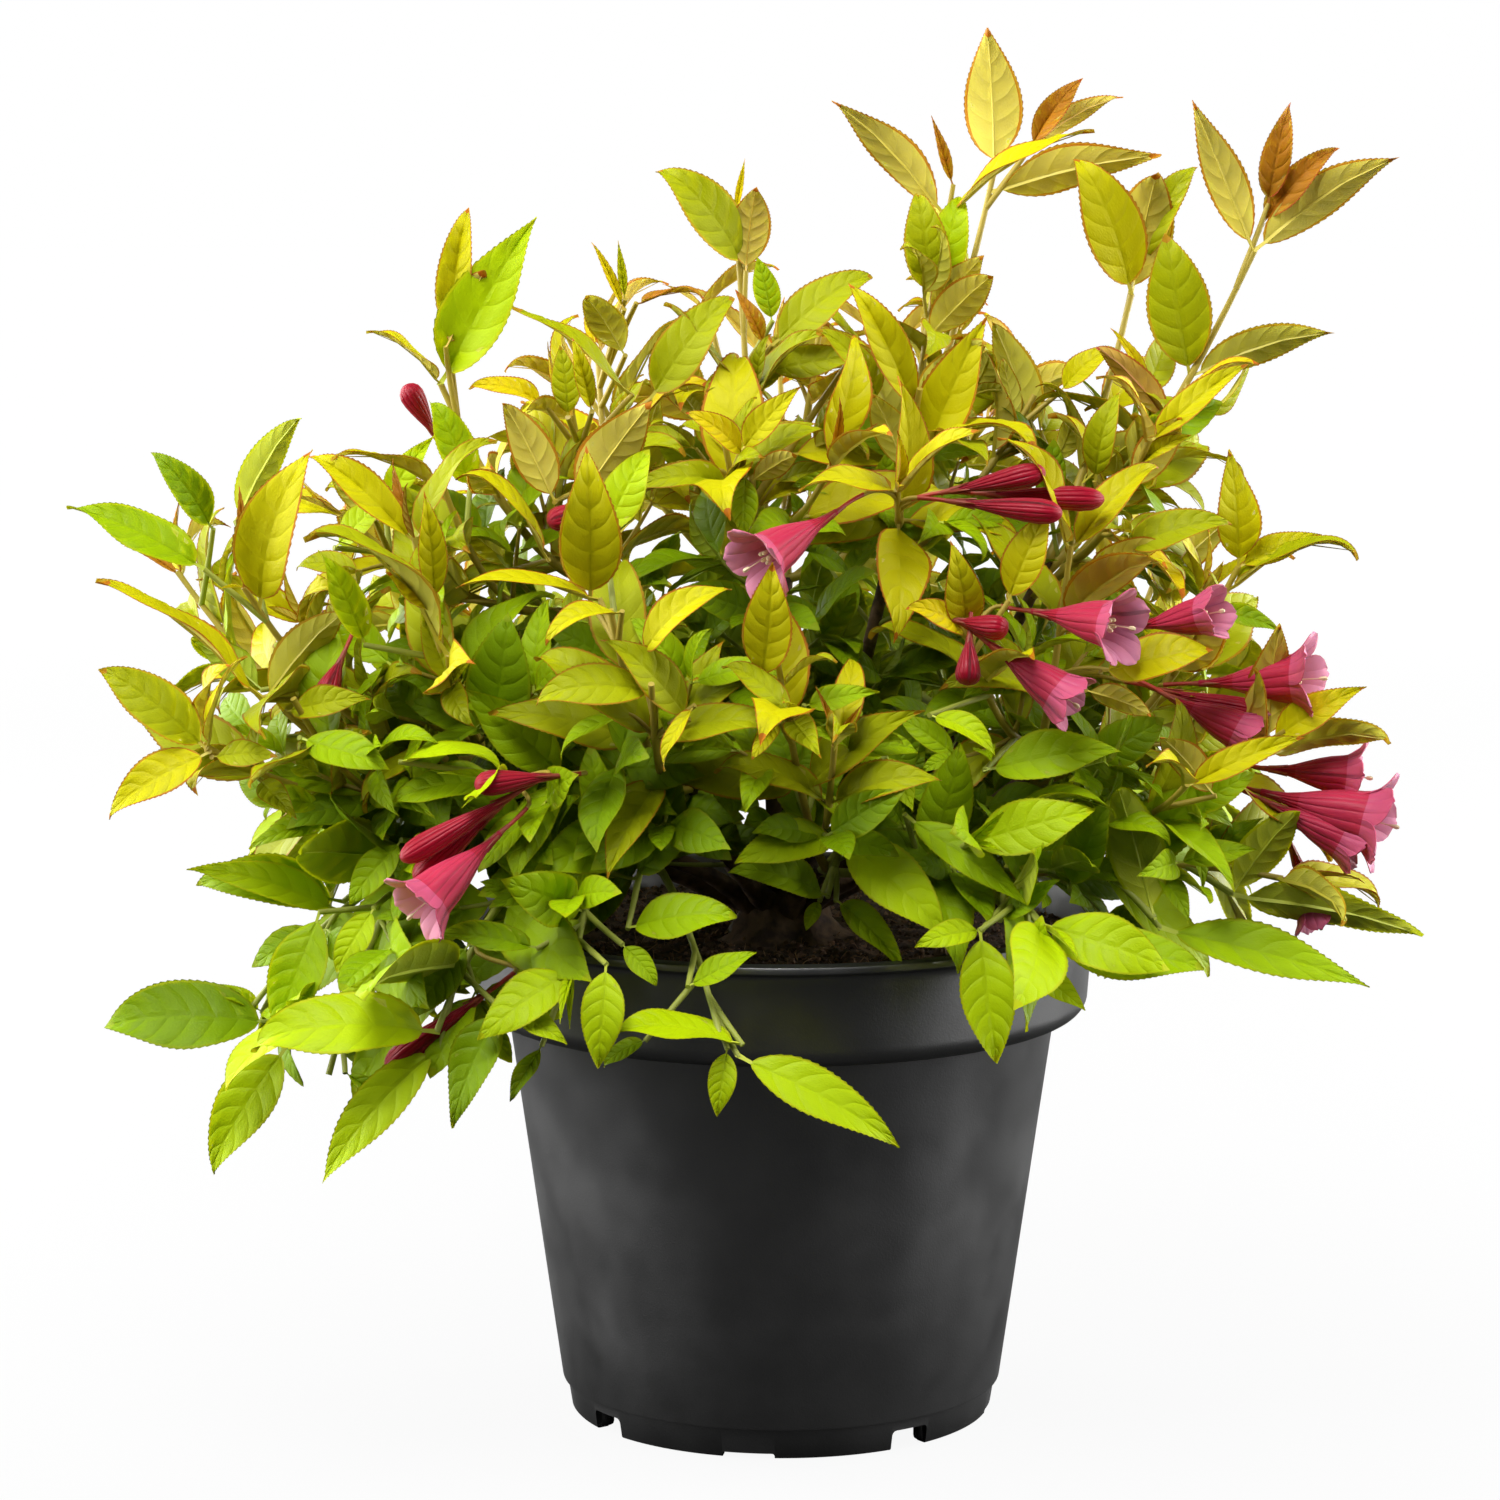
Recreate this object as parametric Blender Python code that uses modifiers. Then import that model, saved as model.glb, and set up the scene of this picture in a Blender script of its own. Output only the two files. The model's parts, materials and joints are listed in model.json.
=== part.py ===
"""Weigela in a round nursery pot: pot, soil, woody crown, boughs and foliage masses.

Metres, +Z up, viewed from -Y. The origin is the centre of the pot's flat underside. Shoots are
placed by azimuth (0 is +X, -90 is the front), reach from the pot's axis and height above the floor.
"""

import math
import random
from collections import namedtuple

import bmesh
import bpy
from mathutils import Matrix, Vector
from mathutils.bvhtree import BVHTree

MM = 0.001
CLEAR = 0.3 * MM
TOUCH = 0.0005 * MM
UP = Vector((0.0, 0.0, 1.0))
RAY = Vector((0.31, 0.17, 0.93)).normalized()

# Pot
POT_SEGMENTS = 36
POT_HEIGHT = 178 * MM
POT_WALL = 1.8 * MM
LIP_RADIUS = 114 * MM
LIP_HEIGHT = 2.8 * MM
COLLAR_TOP_RADIUS = 108.8 * MM
COLLAR_LOW_RADIUS = 107.2 * MM
COLLAR_HEIGHT = 36 * MM
COLLAR_ROUND = 7 * MM
WALL_TOP_RADIUS = 95.7 * MM
WALL_LOW_RADIUS = 77.3 * MM
FOOT_HEIGHT = 10.7 * MM
FOOT_TOP_RADIUS = 75.6 * MM
FOOT_LOW_RADIUS = 74.0 * MM
FOOT_INNER_RADIUS = 69.5 * MM
FLOOR_UNDERSIDE = 8.0 * MM
PAD_RADIUS = 13 * MM
NOTCH_TURN = 36.0
DEEP_NOTCH = (15 * MM, 7.0 * MM)
SHALLOW_NOTCH = (18 * MM, 1.8 * MM)
DRAIN_RADIUS = 5 * MM
DRAIN_RING = 55 * MM

# Soil
SOIL_HEIGHT = 168 * MM
SOIL_BUMP = 2.2 * MM

# Woody crown and boughs
CROWN_FOOT_RADIUS = 21 * MM
CROWN_RADIUS = 15 * MM
CROWN_HEIGHT = 16 * MM
BOUGH_BASE_RADIUS = 2.9 * MM
BOUGH_TIP_RADIUS = 2.1 * MM
BOUGH_POINTS = 6
SEAT_MOST = 0.8 * MM
FOOT_RISE = 0.45

# Shoots and leaves
STEM_BASE_RADIUS = 2.2 * MM
STEM_TIP_RADIUS = 1.4 * MM
SIDE_BASE_RADIUS = 1.6 * MM
STEM_POINTS = 5
FULL_STEMS = 2
STEM_STEP = 7 * MM
MOST_JOINS = 6
MOST_TRIES = 50
GOLDEN_TURN = 2.39996
NODE_DISTANCES = (2.0, 24.0, 52.0, 82.0)
PAIR_ANGLES = (38.0, 48.0, 60.0, 68.0)
PAIR_LENGTHS = (0.98, 1.05, 1.0, 0.85)
BARE_FOOT = 22 * MM
SPEAR_SHARE = 0.55
SPEAR_ANGLE = math.radians(9)
FORK_TRIES = 30
LEAF_TRIES = ((0, 0, 1.0), (0.3, 0.1, 0.95), (-0.3, 0.15, 0.9), (0.1, 0.35, 0.85), (0, -0.2, 0.75))
FLOWER_TRIES = (0, 9, -9, 18, -18, 28, -28)
FLOWER_FAN = 24
PEDICEL_OVERLAP = 2 * MM
BLOOM_NECK = 1.4 * MM
BUD_NECK = 1.2 * MM
LEAF_WIDTH_SHARE = 0.47
LEAF_WIDEST = 0.42
LEAF_THICKNESS_SHARE = 0.024
LEAF_FOLD_SHARE = 0.07
LEAF_ARCH_SHARE = 0.16
LEAF_ROOT_DEPTH = 0.3 * MM
LEAF_NECK = 4 * MM
LEAF_MARGIN = 0.45 * MM
STEM_PULL = 0.35
LIGHT_PULL = 0.50
OUTWARD_PULL = 0.60

# Flowers
FLOWER_LENGTH = 33 * MM
FLOWER_MOUTH = 8.5 * MM
BUD_LENGTH = 30 * MM
BUD_RADIUS = 3.1 * MM
PEDICEL_LENGTH = 14 * MM
PEDICEL_RADIUS = 0.75 * MM

Bough = namedtuple("Bough", "name azimuth reach height bend")
Shoot = namedtuple("Shoot", "mass bough azimuth reach height bend spin leaf")
Cluster = namedtuple("Cluster", "mass place azimuth tilt blooms buds")

# Each bough's tip, and how far its middle rises above the straight line, in millimetres
BOUGHS = (
    Bough("bough_left_low", -145, 92, 199, 12),
    Bough("bough_left", -160, 104, 236, -6),
    Bough("bough_left_high", -168, 62, 292, -14),
    Bough("bough_front_left", -118, 70, 234, -4),
    Bough("bough_front", -72, 52, 200, 4),
    Bough("bough_centre", -112, 24, 298, 2),
    Bough("bough_tall", -8, 40, 312, -8),
    Bough("bough_right_high", -4, 92, 300, -16),
    Bough("bough_right", -28, 96, 232, -4),
    Bough("bough_right_low", -44, 88, 196, 10),
    Bough("bough_back_left", 128, 84, 240, -4),
    Bough("bough_back", 88, 70, 285, -8),
    Bough("bough_back_right", 42, 86, 236, -4),
)

# Each shoot's last node; a mass is all shoots of one name, and the first of them is its main stem
SHOOTS = (
    Shoot("left_crest", "bough_left_high", -170, 118, 362, -16, 10, 58),
    Shoot("left_shoulder", "bough_left_high", -172, 152, 318, -14, 70, 50),
    Shoot("left_shoulder", "bough_left_high", -160, 122, 330, -10, 20, 48),
    Shoot("top_left", "bough_left_high", 166, 66, 372, -6, 60, 52),
    Shoot("top_left", "bough_left_high", -160, 76, 352, -6, 0, 50),
    Shoot("left_rosette", "bough_left", -159, 192, 298, -20, 40, 56),
    Shoot("left_rosette", "bough_left", -174, 208, 298, -14, 90, 58),
    Shoot("left_tip", "bough_left", -159, 207, 246, -14, 20, 56),
    Shoot("left_tip", "bough_left", -150, 186, 264, -12, 80, 50),
    Shoot("left_olive", "bough_left", -142, 146, 288, -14, 60, 56),
    Shoot("left_olive", "bough_left", -153, 138, 314, -12, 10, 52),
    Shoot("left_arch", "bough_left_low", -158, 160, 190, 14, 90, 56),
    Shoot("left_low", "bough_left_low", -158, 196, 152, 26, 90, 60),
    Shoot("left_low", "bough_left_low", -148, 178, 138, 26, 70, 56),
    Shoot("left_lime", "bough_left_low", -133, 166, 158, 20, 90, 62),
    Shoot("rim_left", "bough_left_low", -119, 142, 178, 14, 90, 44),
    Shoot("trail", "bough_front", -99, 134, 160, 20, 90, 50),
    Shoot("front_low_left", "bough_front_left", -116, 112, 198, 6, 80, 46),
    Shoot("front_left", "bough_front_left", -116, 128, 296, -18, 80, 54),
    Shoot("front_left", "bough_front_left", -108, 138, 274, -10, 20, 52),
    Shoot("flower_left", "bough_front_left", -132, 140, 238, 4, 80, 42),
    Shoot("front_centre", "bough_front", -91, 120, 280, -18, 70, 52),
    Shoot("front_centre", "bough_front", -82, 118, 252, -8, 10, 46),
    Shoot("front_tuft", "bough_front", -79, 96, 218, -4, 90, 44),
    Shoot("front_right", "bough_front", -60, 122, 218, -4, 90, 46),
    Shoot("centre_top", "bough_centre", -110, 60, 350, -6, 80, 54),
    Shoot("centre_top", "bough_centre", -76, 66, 338, -6, 20, 54),
    Shoot("centre_crest", "bough_centre", 172, 14, 392, 0, 75, 48),
    Shoot("centre_crest", "bough_centre", -30, 30, 374, 0, 90, 52),
    Shoot("under_tall", "bough_tall", -42, 62, 362, -6, 40, 54),
    Shoot("under_tall", "bough_tall", -66, 92, 332, -10, 90, 52),
    Shoot("tall", "bough_tall", 4, 56, 418, -2, 80, 56),
    Shoot("tall", "bough_tall", 22, 80, 433, -10, 0, 58),
    Shoot("right_fill", "bough_tall", 6, 88, 356, -8, 60, 52),
    Shoot("right_crest", "bough_right_high", 9, 123, 390, -8, 80, 52),
    Shoot("right_top", "bough_right_high", 0, 162, 406, -12, 0, 58),
    Shoot("right_shoulder", "bough_right_high", -10, 140, 362, -10, 10, 54),
    Shoot("right_shoulder", "bough_right_high", -24, 134, 346, -8, 90, 48),
    Shoot("right_centre", "bough_right", -36, 118, 312, -16, 60, 54),
    Shoot("right_rosette", "bough_right", -16, 160, 302, -18, 20, 54),
    Shoot("right_mid", "bough_right", -23, 182, 250, -12, 60, 54),
    Shoot("right_mid", "bough_right", -36, 164, 236, -8, 90, 46),
    Shoot("right_low", "bough_right_low", -23, 182, 200, 6, 90, 58),
    Shoot("right_low", "bough_right_low", -36, 152, 190, 6, 90, 54),
    Shoot("rim_right", "bough_right_low", -54, 144, 192, 6, 90, 54),
)

# The crown's far side: tiers of shoots spread evenly round each back bough
BACK_TIERS = (
    (("bough_back_right", 24), ("bough_back_right", 60), ("bough_back_left", 118), ("bough_back_left", 158)),
    (("bough_back_right", 14), ("bough_back_right", 52), ("bough_back_left", 132), ("bough_back_left", 170)),
    (("bough_back", 44), ("bough_back", 90), ("bough_back", 134)),
)
TIER_NAMES = ("back_low", "back_mid", "back_top")
TIER_REACHES = (158, 172, 98)
TIER_HEIGHTS = (196, 262, 350)
TIER_BENDS = (10, -14, -10)
TIER_SWAY = 8
TIER_SWAY_TURN = 2.1
TIER_SPIN = 50
TIER_LEAF = 54
TIER_FORKS = ((20, -14, 26, 50), (-16, -34, 34, 46))

# Flower clusters: place is the share of the way along the mass's first stem
CLUSTERS = (
    Cluster("centre_top", 0.50, -38, -12, 0, 2),
    Cluster("left_crest", 0.30, 172, 34, 0, 1),
    Cluster("flower_left", 0.45, -146, -34, 1, 2),
    Cluster("left_lime", 0.75, -152, -26, 0, 1),
    Cluster("under_tall", 0.55, -14, -6, 0, 2),
    Cluster("front_centre", 0.55, -48, -22, 0, 2),
    Cluster("right_centre", 0.50, -30, -4, 2, 0),
    Cluster("right_mid", 0.62, -12, 2, 2, 1),
    Cluster("right_low", 0.60, -20, 16, 2, 1),
    Cluster("back_mid_1", 0.60, 40, 0, 1, 1),
    Cluster("back_mid_3", 0.60, 160, -10, 2, 0),
    Cluster("back_top_2", 0.50, 96, -10, 1, 1),
)

LOOKS = {
    "pot": ((0.030, 0.031, 0.032), 0.62),
    "soil": ((0.035, 0.020, 0.012), 0.95),
    "wood": ((0.125, 0.070, 0.036), 0.80),
    "foliage": ((0.320, 0.420, 0.035), 0.50),
}


def clear_scene():
    """Remove every object that the scene starts with."""
    for old in list(bpy.data.objects):
        bpy.data.objects.remove(old)


def material(name):
    """The named look as a Principled material."""
    found = bpy.data.materials.get(name)
    if found:
        return found
    colour, roughness = LOOKS[name]
    made = bpy.data.materials.new(name)
    made.use_nodes = True
    shader = made.node_tree.nodes["Principled BSDF"]
    shader.inputs["Base Color"].default_value = (*colour, 1.0)
    shader.inputs["Roughness"].default_value = roughness
    shader.inputs["Metallic"].default_value = 0.0
    return made


def link(name, mesh, look, collection, smooth_angle=None):
    """Put a mesh in the scene as one named piece."""
    piece = bpy.data.objects.new(name, mesh)
    mesh.materials.clear()
    mesh.materials.append(material(look))
    collection.objects.link(piece)
    if smooth_angle is not None:
        mesh.shade_smooth()
        mesh.set_sharp_from_angle(angle=math.radians(smooth_angle))
    return piece


def evaluated_mesh(piece):
    """A plain copy of the piece's mesh with its modifiers, in world space."""
    bpy.context.view_layer.update()
    graph = bpy.context.evaluated_depsgraph_get()
    mesh = bpy.data.meshes.new_from_object(piece.evaluated_get(graph), depsgraph=graph)
    mesh.transform(piece.matrix_world)
    return mesh


def remove_piece(piece):
    """Remove an object together with its data."""
    data = piece.data
    bpy.data.objects.remove(piece)
    if isinstance(data, bpy.types.Mesh):
        bpy.data.meshes.remove(data)
    else:
        bpy.data.curves.remove(data)


def weld(mesh):
    """Merge doubled points and turn all faces outward."""
    shape = bmesh.new()
    shape.from_mesh(mesh)
    bmesh.ops.remove_doubles(shape, verts=shape.verts, dist=0.00001)
    bmesh.ops.recalc_face_normals(shape, faces=shape.faces)
    shape.to_mesh(mesh)
    shape.free()


def turned(name, profile, look, collection):
    """A closed profile in the XZ plane, from the axis round to the axis, turned about Z."""
    shape = bmesh.new()
    corners = [shape.verts.new((radius, 0.0, height)) for radius, height in profile]
    for first, second in zip(corners, corners[1:]):
        shape.edges.new((first, second))
    mesh = bpy.data.meshes.new(name)
    shape.to_mesh(mesh)
    shape.free()
    piece = link(name, mesh, look, collection)
    screw = piece.modifiers.new("Turn", "SCREW")
    screw.steps = POT_SEGMENTS
    screw.render_steps = POT_SEGMENTS
    screw.use_merge_vertices = True
    screw.merge_threshold = 0.00001
    solid = evaluated_mesh(piece)
    remove_piece(piece)
    weld(solid)
    return link(name, solid, look, collection, smooth_angle=35)


def wall_radius(height):
    """The tapering wall's outer radius at a height."""
    share = (height - FOOT_HEIGHT) / (POT_HEIGHT - COLLAR_HEIGHT - FOOT_HEIGHT)
    return WALL_LOW_RADIUS + share * (WALL_TOP_RADIUS - WALL_LOW_RADIUS)


def collar_round(outer, inset):
    """The collar's rounded lower edge, from its side to its underside."""
    low = POT_HEIGHT - COLLAR_HEIGHT
    round_radius = COLLAR_ROUND - inset
    centre = (outer - COLLAR_ROUND, low + COLLAR_ROUND)
    turns = [math.radians(angle) for angle in (0, 30, 60, 90)]
    return [(centre[0] + round_radius * math.cos(a), centre[1] - round_radius * math.sin(a)) for a in turns]


def pot_profile():
    """Down the outside, over the foot ring and the centre pad, and up the inside."""
    low = POT_HEIGHT - COLLAR_HEIGHT
    lip_low = POT_HEIGHT - LIP_HEIGHT
    outside = [
        (LIP_RADIUS - 1.0 * MM, POT_HEIGHT),
        (LIP_RADIUS, POT_HEIGHT - 0.9 * MM),
        (LIP_RADIUS, lip_low),
        (COLLAR_TOP_RADIUS + 0.6 * MM, lip_low - 1.6 * MM),
        (COLLAR_TOP_RADIUS, lip_low - 4.0 * MM),
    ]
    outside += collar_round(COLLAR_LOW_RADIUS, 0.0)
    outside += [
        (WALL_TOP_RADIUS, low - 0.4 * MM),
        (WALL_LOW_RADIUS, FOOT_HEIGHT),
        (FOOT_TOP_RADIUS, FOOT_HEIGHT - 0.6 * MM),
        (FOOT_LOW_RADIUS, 0.0),
    ]
    under = [
        (FOOT_INNER_RADIUS, 0.0),
        (FOOT_INNER_RADIUS, FLOOR_UNDERSIDE),
        (PAD_RADIUS, FLOOR_UNDERSIDE),
        (PAD_RADIUS, 0.0),
        (0.0, 0.0),
    ]
    return outside + under, inner_profile(0.0)


def inner_profile(inset):
    """The pot's inside from the floor's centre up to the lip, drawn in by the inset."""
    floor = FLOOR_UNDERSIDE + POT_WALL + inset
    low = POT_HEIGHT - COLLAR_HEIGHT + POT_WALL
    wall = POT_WALL + inset
    collar = collar_round(COLLAR_LOW_RADIUS, wall)
    return [
        (0.0, floor),
        (wall_radius(floor) - wall, floor),
        (WALL_TOP_RADIUS - wall, low + inset),
        *reversed(collar),
        (COLLAR_TOP_RADIUS - wall, POT_HEIGHT - LIP_HEIGHT - 1.0 * MM),
    ]


def box_cutter(name, size, place, turn, cutters):
    """A box turned about the pot's axis, used to cut."""
    bpy.ops.mesh.primitive_cube_add(size=1.0)
    cutter = bpy.context.object
    cutter.name = name
    cutter.data.transform(Matrix.Diagonal((*size, 1.0)))
    cutter.data.transform(Matrix.Translation(place))
    cutter.data.transform(Matrix.Rotation(math.radians(turn), 4, "Z"))
    to_cutters(cutter, cutters)
    return cutter


def drain_cutter(name, turn, cutters):
    """A round drain hole's cutter."""
    bpy.ops.mesh.primitive_cylinder_add(vertices=12, radius=DRAIN_RADIUS, depth=4 * FLOOR_UNDERSIDE)
    cutter = bpy.context.object
    cutter.name = name
    cutter.data.transform(Matrix.Translation((DRAIN_RING, 0.0, FLOOR_UNDERSIDE)))
    cutter.data.transform(Matrix.Rotation(math.radians(turn), 4, "Z"))
    to_cutters(cutter, cutters)
    return cutter


def to_cutters(cutter, cutters):
    """Move an object to the cutters' collection and hide it from the build."""
    for home in list(cutter.users_collection):
        home.objects.unlink(cutter)
    cutters.objects.link(cutter)
    cutter.hide_render = True
    cutter.display_type = "WIRE"


def build_pot(parts, cutters):
    """The thin pot with lip, collar, notched foot ring, centre pad and drain holes."""
    outer, inner = pot_profile()
    pot = turned("pot", outer + inner + [outer[0]], "pot", parts)
    for index in range(8):
        width, height = (DEEP_NOTCH, SHALLOW_NOTCH)[index % 2]
        size = (12 * MM, width, 2 * height)
        turn = NOTCH_TURN - 90.0 + 45.0 * index
        cut = box_cutter(f"notch_{index}", size, (FOOT_LOW_RADIUS - 2 * MM, 0.0, 0.0), turn, cutters)
        add_cut(pot, cut)
    for index in range(4):
        cut = drain_cutter(f"drain_{index}", 45.0 + 90.0 * index, cutters)
        add_cut(pot, cut)
    return pot


def add_cut(piece, cutter):
    """Cut the cutter out of the piece."""
    cut = piece.modifiers.new("Cut", "BOOLEAN")
    cut.operation = "DIFFERENCE"
    cut.object = cutter


def soil_top(radius, angle):
    """The soil's gently uneven surface."""
    wave = math.sin(7 * radius / LIP_RADIUS * 4 + 1.7 * math.cos(angle * 2)) * math.cos(angle * 3 + 0.8)
    return SOIL_HEIGHT + SOIL_BUMP * 0.5 * wave * min(1.0, radius / (40 * MM))


def build_soil(parts):
    """The plug of soil that fills the pot."""
    inner = [(radius, height) for radius, height in inner_profile(CLEAR) if height < SOIL_HEIGHT - 4 * MM]
    rim = COLLAR_LOW_RADIUS - POT_WALL - CLEAR
    rings = [(rim * share, SOIL_HEIGHT) for share in (1.0, 0.8, 0.52, 0.25, 0.0)]
    soil = turned("soil", list(reversed(inner + rings)), "soil", parts)
    for vertex in soil.data.vertices:
        radius = math.hypot(vertex.co.x, vertex.co.y)
        if abs(vertex.co.z - SOIL_HEIGHT) < CLEAR and radius < rim * 0.95:
            vertex.co.z = soil_top(radius, math.atan2(vertex.co.y, vertex.co.x))
    return soil


def build_root_crown(parts):
    """The low woody crown that all boughs leave, flat at the soil and flared at its foot."""
    foot = SOIL_HEIGHT + SOIL_BUMP * 0.5 + CLEAR
    shape = bmesh.new()
    profile = ((1.0, 0.0), (0.88, 0.16), (0.79, 0.45), (0.68, 0.78), (0.46, 1.0))
    sides = 12
    rings = []
    for share, rise in profile:
        ring = []
        for index in range(sides):
            angle = math.tau * index / sides
            flare = 1.0 + 0.10 * math.cos(3 * angle) * (1.0 - rise)
            radius = CROWN_FOOT_RADIUS * share * flare
            high = foot + rise * CROWN_HEIGHT
            ring.append(shape.verts.new((radius * math.cos(angle), radius * math.sin(angle), high)))
        rings.append(ring)
    for lower, upper in zip(rings, rings[1:]):
        for index in range(sides):
            after = (index + 1) % sides
            shape.faces.new((lower[index], lower[after], upper[after], upper[index]))
    shape.faces.new(reversed(rings[0]))
    shape.faces.new(rings[-1])
    mesh = bpy.data.meshes.new("root_crown")
    shape.to_mesh(mesh)
    shape.free()
    return link("root_crown", mesh, "wood", parts, smooth_angle=50)


def place_of(azimuth, reach, height):
    """A point from its azimuth in degrees and its reach and height in millimetres."""
    angle = math.radians(azimuth)
    return Vector((reach * math.cos(angle), reach * math.sin(angle), height)) * MM


def arc_points(foot, tip, bend, count, sideways=0.0):
    """Points along a limb that bends up or down by its middle."""
    across = (tip - foot).cross(UP)
    if across.length > 0:
        across.normalize()
    middle = (foot + tip) / 2 + UP * (2 * bend * MM) + across * sideways
    shares = [index / (count - 1) for index in range(count)]
    return [foot * (1 - s) ** 2 + middle * (2 * s * (1 - s)) + tip * s * s for s in shares]


def limb_mesh(points, start_radius, end_radius, sides):
    """A tapering limb through the points, three-sided or round."""
    curve = bpy.data.curves.new("limb", "CURVE")
    curve.dimensions = "3D"
    curve.use_fill_caps = True
    if sides == 3:
        curve.bevel_mode = "OBJECT"
        curve.bevel_object = triangle_profile()
    else:
        curve.bevel_depth = 1.0
        curve.bevel_resolution = 1
    spline = curve.splines.new("POLY")
    spline.points.add(len(points) - 1)
    for index, (target, point) in enumerate(zip(spline.points, points)):
        share = index / (len(points) - 1)
        target.co = (*point, 1.0)
        target.radius = start_radius + share * (end_radius - start_radius)
    holder = bpy.data.objects.new("limb", curve)
    bpy.context.scene.collection.objects.link(holder)
    mesh = evaluated_mesh(holder)
    remove_piece(holder)
    weld(mesh)
    return mesh


def triangle_profile():
    """The three-sided profile that twigs share."""
    found = bpy.data.objects.get("twig_profile")
    if found:
        return found
    curve = bpy.data.curves.new("twig_profile", "CURVE")
    spline = curve.splines.new("POLY")
    spline.points.add(2)
    spline.use_cyclic_u = True
    for index, point in enumerate(spline.points):
        angle = math.tau * index / 3
        point.co = (math.cos(angle), math.sin(angle), 0.0, 1.0)
    profile = bpy.data.objects.new("twig_profile", curve)
    bpy.context.scene.collection.objects.link(profile)
    profile.hide_render = True
    profile.display_type = "WIRE"
    return profile


def leaf_mesh(root, direction, normal, length, grow=0.0, neck=-LEAF_ROOT_DEPTH):
    """A folded, arching leaf: a flattened eight-faced solid, its root sunk in the twig."""
    side = direction.cross(normal).normalized()
    above = side.cross(direction).normalized()
    centre = root + direction * (LEAF_WIDEST * length)
    half_width = length * LEAF_WIDTH_SHARE / 2 + grow
    half_thick = length * LEAF_THICKNESS_SHARE / 2 + grow
    lift = above * (length * LEAF_FOLD_SHARE)
    corners = {
        (0, 0, 1): centre + above * half_thick,
        (0, 0, -1): centre - above * half_thick,
        (0, 1, 0): centre + side * half_width + lift,
        (0, -1, 0): centre - side * half_width + lift,
        (1, 0, 0): root + direction * (length + grow) - above * (length * LEAF_ARCH_SHARE),
        (-1, 0, 0): root + direction * neck,
    }
    shape = bmesh.new()
    bmesh.ops.create_uvsphere(shape, u_segments=4, v_segments=2, radius=1.0)
    for vertex in shape.verts:
        vertex.co = corners[tuple(round(value) for value in vertex.co)]
    bmesh.ops.recalc_face_normals(shape, faces=shape.faces)
    mesh = bpy.data.meshes.new("leaf")
    shape.to_mesh(mesh)
    shape.free()
    return mesh


def funnel_mesh(root, direction, length, start_radius, end_radius, sides=6):
    """A closed cone along a direction from its root."""
    turn = direction.to_track_quat("Z", "Y").to_matrix().to_4x4()
    shape = bmesh.new()
    bmesh.ops.create_cone(
        shape, cap_ends=True, segments=sides, radius1=start_radius, radius2=end_radius, depth=length
    )
    bmesh.ops.transform(
        shape, matrix=Matrix.Translation(root + direction * (length / 2)) @ turn, verts=shape.verts
    )
    mesh = bpy.data.meshes.new("flower")
    shape.to_mesh(mesh)
    shape.free()
    return mesh


def tree_of(mesh):
    """A search tree over a mesh."""
    shape = bmesh.new()
    shape.from_mesh(mesh)
    tree = BVHTree.FromBMesh(shape)
    shape.free()
    return tree


class Space:
    """What is already placed, so that each node keeps to its own space."""

    def __init__(self):
        self.taken = []

    def add(self, owner, mesh):
        points = [vertex.co for vertex in mesh.vertices]
        centre = sum(points, Vector()) / len(points)
        radius = max((point - centre).length for point in points)
        self.taken.append((owner, centre, radius, tree_of(mesh)))

    def free(self, owner, mesh):
        """Whether the mesh touches nothing of another owner."""
        points = [vertex.co for vertex in mesh.vertices]
        centre = sum(points, Vector()) / len(points)
        radius = max((point - centre).length for point in points)
        tree = None
        for other, place, reach, taken in self.taken:
            if other == owner or (place - centre).length > radius + reach:
                continue
            tree = tree or tree_of(mesh)
            if tree.overlap(taken):
                return False
        return True

    def gap(self, owner, points, only=None):
        """The least distance from the points to what other owners have placed, negative inside it."""
        least = 1.0
        for other, place, reach, taken in self.taken:
            if other == owner or (only and other != only):
                continue
            for point in points:
                if (place - point).length > reach + 10 * MM:
                    continue
                distance = taken.find_nearest(point)[3]
                if distance < least:
                    least = -distance if is_inside(taken, point) else distance
        return least


def is_inside(tree, point):
    """Whether a point lies inside a closed mesh: a ray from it leaves through an odd number of faces."""
    crossings = 0
    origin = point
    while crossings < 50:
        hit = tree.ray_cast(origin, RAY)[0]
        if hit is None:
            break
        crossings += 1
        origin = hit + RAY * (0.001 * MM)
    return crossings % 2 == 1


def disc(centre, direction, radius):
    """Points round a limb's foot."""
    side = direction.orthogonal().normalized()
    over = direction.cross(side)
    angles = [math.tau * index / 8 for index in range(8)]
    return [centre] + [centre + (side * math.cos(a) + over * math.sin(a)) * radius for a in angles]


def seat(space, owner, start, direction, facing, radius):
    """Move a limb's foot, facing its own way, out along a direction until it is just clear."""
    foot = start.copy()
    for _ in range(400):
        if space.gap(owner, disc(foot, facing, radius)) >= CLEAR * 1.2:
            return foot
        foot = foot + direction * (0.1 * MM)
    return foot


def build_boughs(parts, space):
    """Woody boughs from the root crown, each one tapering limb."""
    made = {}
    for bough in BOUGHS:
        points = bough_points(bough, space)
        mesh = limb_mesh(points, BOUGH_BASE_RADIUS, BOUGH_TIP_RADIUS, 6)
        link(bough.name, mesh, "wood", parts, smooth_angle=50)
        space.add(bough.name, mesh)
        made[bough.name] = points
    return made


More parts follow.
